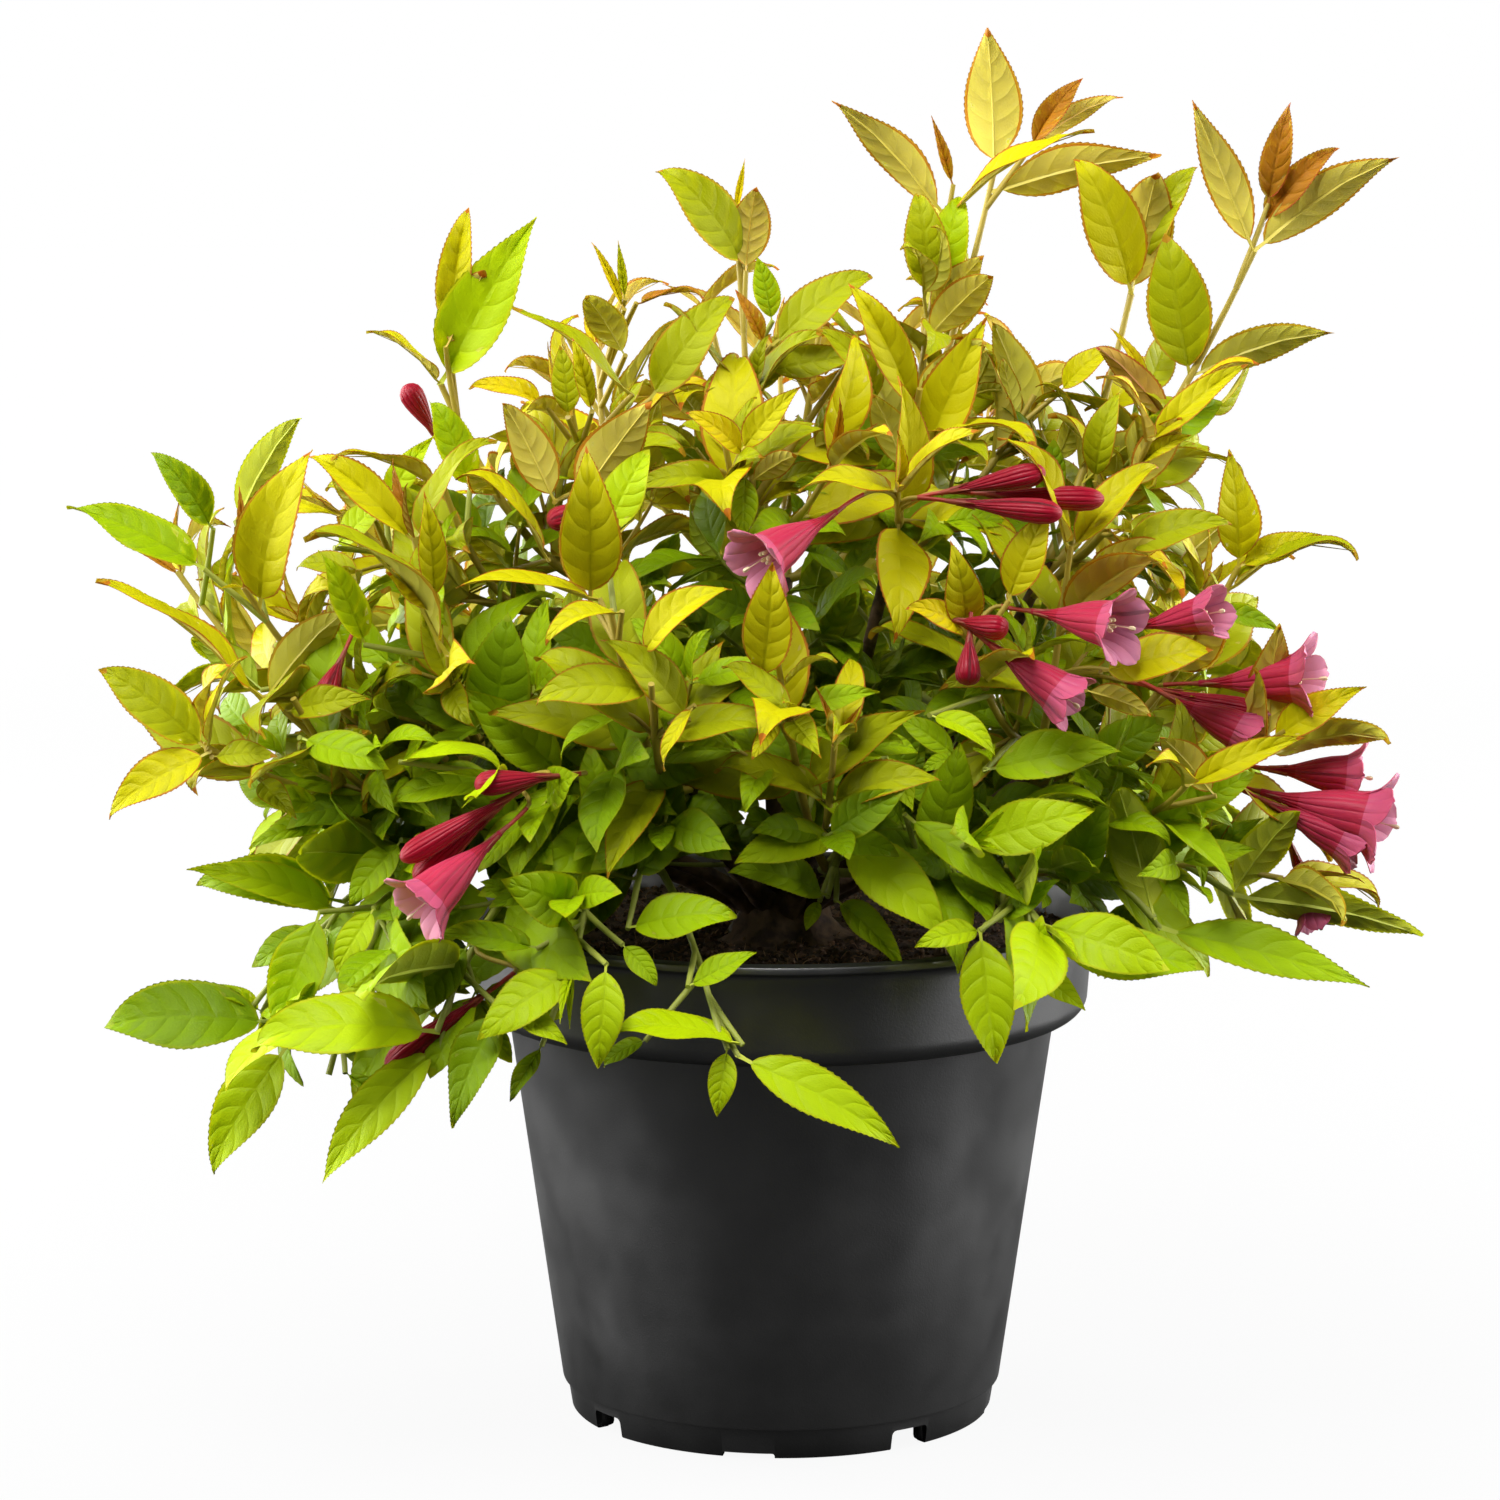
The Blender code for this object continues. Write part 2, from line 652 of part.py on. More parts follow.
def bough_points(bough, space):
    """A way for the bough that leaves the root crown clear of the boughs before it."""
    centre = Vector((0.0, 0.0, SOIL_HEIGHT + CROWN_HEIGHT * 0.5))
    tip = place_of(bough.azimuth, bough.reach, bough.height)
    for attempt in range(60):
        side = 1 if attempt % 2 else -1
        turn = Matrix.Rotation(math.radians(side * 7.0 * ((attempt + 1) // 2)), 3, "Z")
        tilt = 0.3 * (attempt % 3)
        reach = turn @ (tip - centre)
        aim = Vector((reach.x, reach.y, reach.z * FOOT_RISE)).normalized()
        aim = (aim + UP * tilt).normalized()
        sideways = side * attempt * 0.4 * MM
        trial = arc_points(centre + aim * CROWN_RADIUS, tip, bough.bend, BOUGH_POINTS, sideways)
        start = (trial[1] - trial[0]).normalized()
        foot = seat(space, bough.name, centre + aim * (CROWN_RADIUS * 0.5), aim, start, BOUGH_BASE_RADIUS)
        points = arc_points(foot, tip, bough.bend, BOUGH_POINTS, sideways)
        start = (points[1] - points[0]).normalized()
        clear = space.gap(bough.name, disc(foot, start, BOUGH_BASE_RADIUS)) >= CLEAR * 0.8
        near = space.gap(bough.name, disc(foot, start, BOUGH_BASE_RADIUS), "root_crown") < SEAT_MOST
        if clear and near and space.free(bough.name, fat_ahead(points)):
            return points
    print("no clear way for", bough.name)
    return points


def fat_ahead(points):
    """The limb a little fatter, from a step past its foot, to test its way."""
    ahead = [points[0] + (points[1] - points[0]).normalized() * (0.8 * MM)] + list(points[1:])
    return limb_mesh(ahead, BOUGH_BASE_RADIUS + CLEAR, BOUGH_TIP_RADIUS + CLEAR, 6)


def all_shoots():
    """The named shoots and the far side's tiers."""
    shoots = list(SHOOTS)
    tiers = zip(TIER_NAMES, BACK_TIERS, TIER_REACHES, TIER_HEIGHTS, TIER_BENDS)
    for name, tier, reach, height, bend in tiers:
        for index, (bough, azimuth) in enumerate(tier, start=1):
            mass = f"{name}_{index}"
            sway = TIER_SWAY * math.sin(TIER_SWAY_TURN * index)
            spin = TIER_SPIN * index
            shoots.append(Shoot(mass, bough, azimuth, reach + sway, height - sway, bend, spin, TIER_LEAF))
            for turn, draw, rise, leaf in TIER_FORKS:
                shoots.append(Shoot(mass, bough, azimuth + turn, reach + draw, height + rise, bend, 90, leaf))
    return shoots


class Mass:
    """One foliage mass: its stems, the leaves on them and its flowers."""

    def __init__(self, name, shoots, seed):
        self.name = name
        self.node = f"foliage_{name}"
        self.shoots = shoots
        self.random = random.Random(seed)
        self.stems = []
        self.solids = []
        self.leaves = []

    def grow_main(self, boughs, space, order):
        """The main stem, from just clear of its bough to the first shoot's last node.

        The first mass of a bough leaves its tip, and each later one a step further back.
        """
        shoot = self.shoots[0]
        bough_way = boughs[shoot.bough]
        tip = place_of(shoot.azimuth, shoot.reach, shoot.height)
        for attempt in range(MOST_TRIES):
            sideways = 1.5 * MM * attempt * math.sin(GOLDEN_TURN * attempt)
            root, _ = point_from_tip(bough_way, STEM_STEP * order + 0.8 * MM * attempt)
            trial = arc_points(root, tip, shoot.bend, STEM_POINTS, sideways)
            aim = (trial[1] - trial[0]).normalized()
            foot = seat(space, self.node, root, aim, aim, STEM_BASE_RADIUS)
            points = arc_points(foot, tip, shoot.bend, STEM_POINTS, sideways)
            aim = (points[1] - points[0]).normalized()
            around = disc(foot, aim, STEM_BASE_RADIUS)
            clear = space.gap(self.node, around) >= CLEAR
            mesh = limb_mesh(points, STEM_BASE_RADIUS, STEM_TIP_RADIUS, 3)
            corners = [vertex.co for vertex in mesh.vertices]
            near = space.gap(self.node, corners, shoot.bough) < SEAT_MOST
            fat = limb_mesh(points, STEM_BASE_RADIUS + CLEAR, STEM_TIP_RADIUS + CLEAR, 3)
            if clear and near and space.free(self.node, fat):
                break
        else:
            print("no clear way for the main stem of", self.name)
        self.stems.append((points, shoot))
        self.keep(mesh, space)

    def keep(self, mesh, space):
        """Hold a solid as part of this mass."""
        self.solids.append(mesh)
        space.add(self.node, mesh)

    def grow_forks(self, space):
        """The other named shoots, forking off the main stem."""
        main_points, _ = self.stems[0]
        for index, shoot in enumerate(self.shoots[1:]):
            tip = place_of(shoot.azimuth, shoot.reach, shoot.height)
            for attempt in range(FORK_TRIES):
                joint = main_points[1 + (index + attempt) % 3]
                bend = shoot.bend + self.random.uniform(-1, 1) * attempt
                sway = self.random.uniform(-1, 1) * attempt * MM
                points = arc_points(joint, tip, bend, STEM_POINTS - 1, sway)
                fat = limb_mesh(points, SIDE_BASE_RADIUS + CLEAR, STEM_TIP_RADIUS + CLEAR, 3)
                if space.free(self.node, fat):
                    mesh = limb_mesh(points, SIDE_BASE_RADIUS, STEM_TIP_RADIUS, 3)
                    self.stems.append((points, shoot))
                    self.keep(mesh, space)
                    break

    def grow_leaves(self, space, level):
        """One opposite pair of leaves on each stem, at the given distance from its tip."""
        for order, (points, shoot) in enumerate(self.stems):
            if order < FULL_STEMS or level < FULL_STEMS:
                self.grow_pair(points, shoot, level, space, order < FULL_STEMS)

    def grow_pair(self, points, shoot, level, space, with_spear):
        """Opposite leaves at one node, turned a quarter round from node to node."""
        total = sum((b - a).length for a, b in zip(points, points[1:]))
        distance = NODE_DISTANCES[level] * MM
        if total - distance < BARE_FOOT and level > 0:
            return
        place, along = point_from_tip(points, distance)
        turn = math.radians(shoot.spin + 90 * level)
        for half in (0, 1):
            azimuth = turn + math.pi * half + self.random.uniform(-0.15, 0.15)
            angle = math.radians(PAIR_ANGLES[level] + self.random.uniform(-8, 8))
            length = shoot.leaf * MM * PAIR_LENGTHS[level] * self.random.uniform(0.88, 1.06)
            self.try_leaf(place, along, azimuth, angle, length, space)
        if level == 0 and with_spear:
            size = shoot.leaf * MM * SPEAR_SHARE
            self.try_leaf(place, along, turn + math.pi / 2, SPEAR_ANGLE, size, space)

    def try_leaf(self, place, along, azimuth, angle, length, space):
        """Place a leaf, turned or shortened a little where its first place is taken."""
        for turn, opening, share in LEAF_TRIES:
            direction = spread(along, azimuth + turn, angle + opening)
            normal = upper_side(place, along, direction)
            grown = leaf_mesh(place, direction, normal, length * share, LEAF_MARGIN)
            apart = leaf_mesh(place, direction, normal, length * share, 0.0, LEAF_NECK)
            if space.free(self.node, grown) and space.free(None, apart):
                self.leaves.append(leaf_mesh(place, direction, normal, length * share))
                space.add(self.node, self.leaves[-1])
                return

    def grow_flowers(self, cluster, space):
        """A fan of blooms and buds on short stalks beside the main stem."""
        points, _ = self.stems[0]
        total = sum((b - a).length for a, b in zip(points, points[1:]))
        place, _ = point_from_tip(points, total * (1 - cluster.place))
        count = cluster.blooms + cluster.buds
        for index in range(count):
            fan = FLOWER_FAN * (index - (count - 1) / 2)
            self.try_flower(cluster, place, fan, index < cluster.blooms, space)

    def try_flower(self, cluster, place, fan, bloom, space):
        """One bloom or bud on its stalk, turned until it is clear."""
        for extra in FLOWER_TRIES:
            rise = math.tan(math.radians(cluster.tilt)) - 0.01 * fan
            direction = place_of(cluster.azimuth + fan + extra, 1.0, rise).normalized()
            neck = place + direction * PEDICEL_LENGTH
            end = neck + direction * PEDICEL_OVERLAP
            stalk = limb_mesh([place, end], PEDICEL_RADIUS, PEDICEL_RADIUS * 1.2, 3)
            if bloom:
                cup = funnel_mesh(neck, direction, FLOWER_LENGTH, BLOOM_NECK, FLOWER_MOUTH)
            else:
                cup = funnel_mesh(neck, direction, BUD_LENGTH, BUD_NECK, BUD_RADIUS)
            if space.free(self.node, cup) and space.free(self.node, stalk):
                self.keep(stalk, space)
                self.keep(cup, space)
                return

    def join(self, parts):
        """Fuse stems, leaves and flowers into one solid."""
        leaves = list(self.leaves)
        for _ in range(MOST_JOINS):
            for solver in ("EXACT", "MANIFOLD"):
                mesh = largest_body(fuse(self.solids + leaves, solver))
                bad = faults(mesh)
                if not bad:
                    return link(self.node, mesh, "foliage", parts)
            leaves.remove(min(leaves, key=lambda leaf: nearness(leaf, bad[0])))
        print("not closed:", self.node)
        return link(self.node, mesh, "foliage", parts)


def point_from_tip(points, distance):
    """The place and direction at a distance back from a stem's tip."""
    left = distance
    for after, before in zip(reversed(points), list(reversed(points))[1:]):
        step = after - before
        if left <= step.length:
            return after - step.normalized() * left, step.normalized()
        left -= step.length
    return points[0].copy(), (points[1] - points[0]).normalized()


def spread(along, azimuth, angle):
    """A direction at an angle to the stem, its azimuth counted from the stem's lean."""
    side = along.cross(UP if abs(along.z) < 0.98 else Vector((0, 1, 0))).normalized()
    over = side.cross(along).normalized()
    level = 1.0 - max(0.0, along.z)
    out = over * (-math.cos(azimuth) * (1.0 - 0.65 * level)) + side * math.sin(azimuth)
    return (along * math.cos(angle) + out.normalized() * math.sin(angle)).normalized()


def upper_side(place, along, direction):
    """The way a leaf's upper face looks: up, outward and towards the stem's tip."""
    outward = Vector((place.x, place.y, 0.0)).normalized()
    wish = along * STEM_PULL + UP * LIGHT_PULL + outward * OUTWARD_PULL
    normal = wish - direction * wish.dot(direction)
    if normal.length < 0.05:
        normal = direction.orthogonal()
    return normal.normalized()


def fuse(meshes, solver):
    """One Boolean union of the first mesh with a collection of the others."""
    group = bpy.data.collections.new("union")
    bpy.context.scene.collection.children.link(group)
    for index, mesh in enumerate(meshes[1:]):
        group.objects.link(bpy.data.objects.new(f"piece_{index}", mesh.copy()))
    base = bpy.data.objects.new("base", meshes[0].copy())
    bpy.context.scene.collection.objects.link(base)
    union = base.modifiers.new("Union", "BOOLEAN")
    union.operation = "UNION"
    union.operand_type = "COLLECTION"
    union.collection = group
    union.solver = solver
    fused = evaluated_mesh(base)
    remove_piece(base)
    for piece in list(group.objects):
        remove_piece(piece)
    bpy.data.collections.remove(group)
    return fused


def largest_body(mesh):
    """The mesh's largest shell, so that loose scraps and sealed hollows go."""
    shape = bmesh.new()
    shape.from_mesh(mesh)
    shape.faces.index_update()
    seen = set()
    shells = []
    for face in shape.faces:
        if face.index in seen:
            continue
        shell = [face]
        seen.add(face.index)
        for member in shell:
            for edge in member.edges:
                for other in edge.link_faces:
                    if other.index not in seen:
                        seen.add(other.index)
                        shell.append(other)
        shells.append(shell)
    shells.sort(key=len, reverse=True)
    for shell in shells[1:]:
        bmesh.ops.delete(shape, geom=shell, context="FACES")
    shape.to_mesh(mesh)
    shape.free()
    return mesh


def faults(mesh):
    """Places of edges without just two faces, also once points that all but touch are one."""
    shape = bmesh.new()
    shape.from_mesh(mesh)
    bmesh.ops.triangulate(shape, faces=shape.faces)
    bmesh.ops.remove_doubles(shape, verts=shape.verts, dist=TOUCH)
    found = [(edge.verts[0].co + edge.verts[1].co) / 2 for edge in shape.edges if len(edge.link_faces) != 2]
    shape.free()
    return found


def nearness(mesh, place):
    """The distance from a place to the nearest face of a mesh."""
    return tree_of(mesh).find_nearest(place)[3]


def build_masses(parts, boughs, space):
    """All foliage masses: stems first, then leaves a node at a time, so that all get their share."""
    groups = {}
    for shoot in all_shoots():
        groups.setdefault(shoot.mass, []).append(shoot)
    masses = [Mass(name, shoots, 40 + index) for index, (name, shoots) in enumerate(groups.items())]
    used = {name: 0 for name in boughs}
    for mass in masses:
        bough = mass.shoots[0].bough
        mass.grow_main(boughs, space, used[bough])
        used[bough] += 1
    for mass in masses:
        mass.grow_forks(space)
    for cluster in CLUSTERS:
        owner = next(mass for mass in masses if mass.name == cluster.mass)
        owner.grow_flowers(cluster, space)
    for level in range(len(NODE_DISTANCES)):
        for mass in masses:
            mass.grow_leaves(space, level)
    for mass in masses:
        mass.join(parts)
    return masses


def main():
    """Build the potted shrub."""
    clear_scene()
    parts = bpy.data.collections.new("potted_weigela")
    cutters = bpy.data.collections.new("cutters")
    bpy.context.scene.collection.children.link(parts)
    bpy.context.scene.collection.children.link(cutters)
    space = Space()
    pot = build_pot(parts, cutters)
    soil = build_soil(parts)
    crown = build_root_crown(parts)
    space.add("pot", evaluated_mesh(pot))
    space.add("soil", evaluated_mesh(soil))
    space.add("root_crown", evaluated_mesh(crown))
    boughs = build_boughs(parts, space)
    masses = build_masses(parts, boughs, space)
    profile = bpy.data.objects.get("twig_profile")
    if profile:
        remove_piece(profile)
    return masses


main()
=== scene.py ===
"""Flowering weigela shrub in a round nursery pot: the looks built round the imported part.

Metres, +Z up, viewed from -Y. The origin is the centre of the pot's flat underside. Shoots are
placed by azimuth (0 is +X, -90 is the front), reach from the pot's axis and height above the floor.
"""

import json
import logging
import random
from collections.abc import Iterable, Sequence
from dataclasses import dataclass, field
from enum import Enum
from functools import cache
from math import atan2, copysign, cos, exp, floor, hypot, pi, radians, sin, tau

import bmesh
import bpy
import numpy as np
from mathutils import Matrix, Vector, noise
from mathutils.bvhtree import BVHTree
from mathutils.kdtree import KDTree

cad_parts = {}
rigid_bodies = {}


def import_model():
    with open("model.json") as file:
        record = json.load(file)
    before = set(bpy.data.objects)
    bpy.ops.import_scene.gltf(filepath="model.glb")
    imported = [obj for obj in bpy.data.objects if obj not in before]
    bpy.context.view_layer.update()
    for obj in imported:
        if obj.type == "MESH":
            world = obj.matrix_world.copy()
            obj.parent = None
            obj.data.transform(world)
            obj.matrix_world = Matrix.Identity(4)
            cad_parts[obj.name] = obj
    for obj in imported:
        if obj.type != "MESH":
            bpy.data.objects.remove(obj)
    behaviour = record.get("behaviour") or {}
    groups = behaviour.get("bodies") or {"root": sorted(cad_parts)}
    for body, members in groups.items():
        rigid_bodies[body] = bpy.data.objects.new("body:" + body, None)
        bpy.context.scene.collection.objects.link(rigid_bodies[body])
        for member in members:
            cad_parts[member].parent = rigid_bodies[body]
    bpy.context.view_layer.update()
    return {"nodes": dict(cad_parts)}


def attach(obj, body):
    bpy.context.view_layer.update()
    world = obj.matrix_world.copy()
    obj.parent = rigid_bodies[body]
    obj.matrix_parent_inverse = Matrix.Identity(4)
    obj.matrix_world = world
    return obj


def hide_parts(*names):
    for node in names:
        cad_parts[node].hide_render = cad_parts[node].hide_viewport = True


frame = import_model()

MM = 0.001
UP = Vector((0.0, 0.0, 1.0))
LOG = logging.getLogger("weigela")

Colour = tuple[float, float, float]
Place = tuple[float, float, float]
Span = tuple[float, float]
Way = list[Vector]
Mesh = bpy.types.Mesh
Thing = bpy.types.Object
Paint = bpy.types.Material
Tree = bpy.types.NodeTree
Node = bpy.types.Node
Socket = bpy.types.NodeSocket


# Tools for meshes and node trees


def link_piece(name: str, mesh: Mesh, materials: Iterable[Paint] = ()) -> Thing:
    """Put a mesh in the scene as one named object.

    Args:
        name: The object's name.
        mesh: Its mesh, with its place in its vertices.
        materials: Materials to append to the mesh's slots.

    Returns:
        The new object.
    """
    for finish in materials:
        mesh.materials.append(finish)
    piece = bpy.data.objects.new(name, mesh)
    bpy.context.scene.collection.objects.link(piece)
    return piece


def turns(count: int) -> list[float]:
    """The angles of so many even steps round a turn."""
    return [tau * step / count for step in range(count)]


def single(numbers: Iterable[int]) -> list[int]:
    """A face's corners without those that repeat, or none where too few are left."""
    kept = list(dict.fromkeys(numbers))
    return kept if len(kept) > 2 else []


def nodes_named(*starts: str) -> list[str]:
    """The CAD nodes whose names start so."""
    return [name for name in frame["nodes"] if name.startswith(starts)]


def mesh_of(name: str, places: Sequence[Sequence[float]], faces: Sequence[Sequence[int]]) -> Mesh:
    """A mesh from its points and faces.

    Args:
        name: The mesh's name.
        places: Its points.
        faces: Its faces as point numbers.

    Returns:
        The mesh.
    """
    mesh = bpy.data.meshes.new(name)
    mesh.from_pydata([tuple(place) for place in places], [], [tuple(face) for face in faces])
    mesh.update()
    return mesh


def baked(piece: Thing) -> Mesh:
    """The piece's mesh with its modifiers worked in, as a plain copy.

    Args:
        piece: An object with live modifiers, which is removed afterwards.

    Returns:
        The plain mesh.
    """
    bpy.context.view_layer.update()
    graph = bpy.context.evaluated_depsgraph_get()
    mesh = bpy.data.meshes.new_from_object(piece.evaluated_get(graph), depsgraph=graph)
    bpy.data.objects.remove(piece)
    return mesh


def joined(name: str, meshes: Sequence[Mesh]) -> Thing:
    """Several meshes as one object.

    Args:
        name: The object's name.
        meshes: The meshes, each with its own materials.

    Returns:
        The joined object.
    """
    parts = [link_piece(f"{name}.{index}", mesh) for index, mesh in enumerate(meshes)]
    with bpy.context.temp_override(
        active_object=parts[0], object=parts[0], selected_objects=parts, selected_editable_objects=parts
    ):
        bpy.ops.object.join()
    parts[0].name = name
    parts[0].data.name = name
    return parts[0]


def outward(mesh: Mesh, merge: float = 0.0) -> Mesh:
    """Merge doubled points and turn all faces outward.

    Args:
        mesh: The mesh to mend in place.
        merge: How close two points have to be to become one.

    Returns:
        The same mesh.
    """
    shape = bmesh.new()
    shape.from_mesh(mesh)
    if merge:
        bmesh.ops.remove_doubles(shape, verts=shape.verts, dist=merge)
    bmesh.ops.recalc_face_normals(shape, faces=shape.faces)
    shape.to_mesh(mesh)
    shape.free()
    return mesh


def smooth(mesh: Mesh, angle: float) -> Mesh:
    """Shade a mesh smooth, with edges sharp past an angle in degrees.

    Args:
        mesh: The mesh.
        angle: The angle in degrees.

    Returns:
        The same mesh.
    """
    mesh.shade_smooth()
    mesh.set_sharp_from_angle(angle=radians(angle))
    return mesh


def finish_piece(piece: Thing, nodes: Iterable[str]) -> Thing:
    """Let a finished piece ride on the body and stand for its nodes, which are hidden.

    Args:
        piece: The finished piece.
        nodes: The CAD nodes that it stands for.

    Returns:
        The same piece.
    """
    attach(piece, "root")
    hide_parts(*nodes)
    piece.data.calc_loop_triangles()
    LOG.info("%s: %d triangles", piece.name, len(piece.data.loop_triangles))
    return piece


class Net:
    """Short calls to build one node tree."""

    def __init__(self, tree: Tree) -> None:
        """Keep the tree."""
        self.tree = tree

    def node(self, kind: str, **settings: object) -> Node:
        """Add a node.

        Args:
            kind: The node's type name.
            settings: Its properties.

        Returns:
            The node.
        """
        made = self.tree.nodes.new(kind)
        for key, value in settings.items():
            setattr(made, key, value)
        return made

    def wire(self, source: Socket, target: Socket) -> None:
        """Link two sockets."""
        self.tree.links.new(source, target)

    def fill(self, node: Node, values: dict[str, object]) -> Node:
        """Set a node's inputs by name, from values or from the sockets that lead to them.

        Args:
            node: The node.
            values: A value or a socket for each input's name.

        Returns:
            The node.
        """
        for label, value in values.items():
            if isinstance(value, Socket):
                self.wire(value, node.inputs[label])
            else:
                node.inputs[label].default_value = value
        return node

    def attribute(self, label: str, kind: str) -> Socket:
        """The value of a named attribute."""
        read = self.fill(self.node("GeometryNodeInputNamedAttribute", data_type=kind), {"Name": label})
        return live(read.outputs, "Attribute")

    def instances(self, points: Socket, store: Socket) -> Node:
        """Put one piece of a collection on each point.

        Args:
            points: Where the pieces go.
            store: The collection they come from.

        Returns:
            The instancing node.
        """
        pieces = self.node("GeometryNodeCollectionInfo", transform_space="ORIGINAL")
        self.fill(pieces, {"Separate Children": True, "Reset Children": True, "Collection": store})
        place = self.node("GeometryNodeInstanceOnPoints")
        return self.fill(place, {"Pick Instance": True, "Points": points, "Instance": pieces.outputs[0]})

    def realised(self, shape: Socket) -> Socket:
        """Instances as plain geometry.

        Args:
            shape: The socket with instances.

        Returns:
            The socket with geometry.
        """
        real = self.node("GeometryNodeRealizeInstances")
        self.wire(shape, real.inputs[0])
        return real.outputs[0]

    def painted(self, shape: Socket, material: Socket) -> Node:
        """Give geometry a material."""
        return self.fill(self.node("GeometryNodeSetMaterial"), {"Geometry": shape, "Material": material})

    @property
    def ends(self) -> tuple[Node, Node]:
        """The group's input and output nodes."""
        return self.tree.nodes["Group Input"], self.tree.nodes["Group Output"]

    def math(self, operation: str, first: object, second: object = 0.0, clamp: bool = False) -> Socket:
        """A Math node on sockets or numbers.

        Args:
            operation: The node's operation.
            first: A socket or a number.
            second: A socket or a number.
            clamp: Whether the result is kept from 0 to 1.

        Returns:
            The result's socket.
        """
        made = self.node("ShaderNodeMath", operation=operation, use_clamp=clamp)
        for target, value in zip(made.inputs, (first, second)):
            if isinstance(value, Socket):
                self.wire(value, target)
            else:
                target.default_value = float(value)
        return made.outputs[0]


def live(sockets: Iterable[Socket], label: str = "", kind: str = "") -> Socket:
    """The first socket in use, by its name or type where one is given."""
    return next(s for s in sockets if s.enabled and label in ("", s.name) and kind in ("", s.type))


def new_group(name: str, kind: str, inputs: dict[str, str], outputs: dict[str, str]) -> Net:
    """A node group with named sockets.

    Args:
        name: The group's name.
        kind: Shader or Geometry.
        inputs: The type of each input by its name.
        outputs: The type of each output by its name.

    Returns:
        A net over the group, with its input and output nodes.
    """
    tree = bpy.data.node_groups.new(name, f"{kind}NodeTree")
    for way, sockets in (("INPUT", inputs), ("OUTPUT", outputs)):
        for label, socket in sockets.items():
            tree.interface.new_socket(name=label, in_out=way, socket_type=f"NodeSocket{socket}")
    tree.nodes.new("NodeGroupInput")
    tree.nodes.new("NodeGroupOutput")
    return Net(tree)


def set_input(modifier: bpy.types.Modifier, label: str, value: object) -> None:
    """Set a Geometry Nodes modifier's input by its socket's identifier.

    Args:
        modifier: The modifier.
        label: The input's name.
        value: The value for it.
    """
    for socket in modifier.node_group.interface.items_tree:
        if socket.name == label and socket.in_out == "INPUT":
            modifier[socket.identifier] = value


# Shader groups that several materials share


@cache
def vein_relief() -> Tree:
    """Quilted relief between a leaf's side veins, read from the leaf's own map.

    Returns:
        The group, built once.
    """
    inputs = {"Vector": "Vector", "Veins": "Float", "Net": "Float"}
    net = new_group("vein_relief", "Shader", inputs, {"Height": "Float"})
    source, target = net.ends
    split = net.node("ShaderNodeSeparateXYZ")
    net.wire(source.outputs["Vector"], split.inputs[0])
    across = net.math("MULTIPLY", net.math("ABSOLUTE", net.math("SUBTRACT", split.outputs["X"], 0.5)), 2.0)
    curve = net.math("MULTIPLY", net.math("POWER", across, 1.7), -0.09)
    along = net.math("ADD", split.outputs["Y"], curve)
    phase = net.math("FRACT", net.math("MULTIPLY", along, source.outputs["Veins"]))
    vein = net.math("MULTIPLY", net.math("ABSOLUTE", net.math("SUBTRACT", phase, 0.5)), 2.0)
    swell = net.math("SUBTRACT", 1.0, net.math("POWER", vein, 2.6))
    groove = net.math("DIVIDE", across, 0.16, clamp=True)
    cells = net.node("ShaderNodeTexVoronoi", feature="DISTANCE_TO_EDGE")
    stretch = net.node("ShaderNodeMapping")
    net.fill(stretch, {"Scale": (16.0, 34.0, 1.0), "Vector": source.outputs["Vector"]})
    net.fill(cells, {"Scale": 1.0, "Vector": stretch.outputs[0]})
    mesh = net.math("MULTIPLY", cells.outputs["Distance"], 2.5, clamp=True)
    mesh = net.math("MULTIPLY", mesh, source.outputs["Net"])
    net.wire(net.math("ADD", net.math("MULTIPLY", swell, groove), mesh), target.inputs["Height"])
    return net.tree


@cache
def fine_grain() -> Tree:
    """Grain in object space: a height and an uneven mask.

    Returns:
        The group, built once.
    """
    inputs = {"Grain Scale": "Float", "Patch Scale": "Float"}
    net = new_group("fine_grain", "Shader", inputs, {"Height": "Float", "Mask": "Float"})
    source, target = net.ends
    place = net.node("ShaderNodeTexCoord").outputs["Object"]
    for scale, detail, output in (("Grain Scale", 3.0, "Height"), ("Patch Scale", 5.0, "Mask")):
        speck = net.node("ShaderNodeTexNoise")
        net.fill(speck, {"Detail": detail, "Vector": place, "Scale": source.outputs[scale]})
        net.wire(speck.outputs["Fac"], target.inputs[output])
    return net.tree


# Finishes

SCATTER = (1.0, 0.9, 0.25)
SCATTER_DEPTH = 1.2 * MM


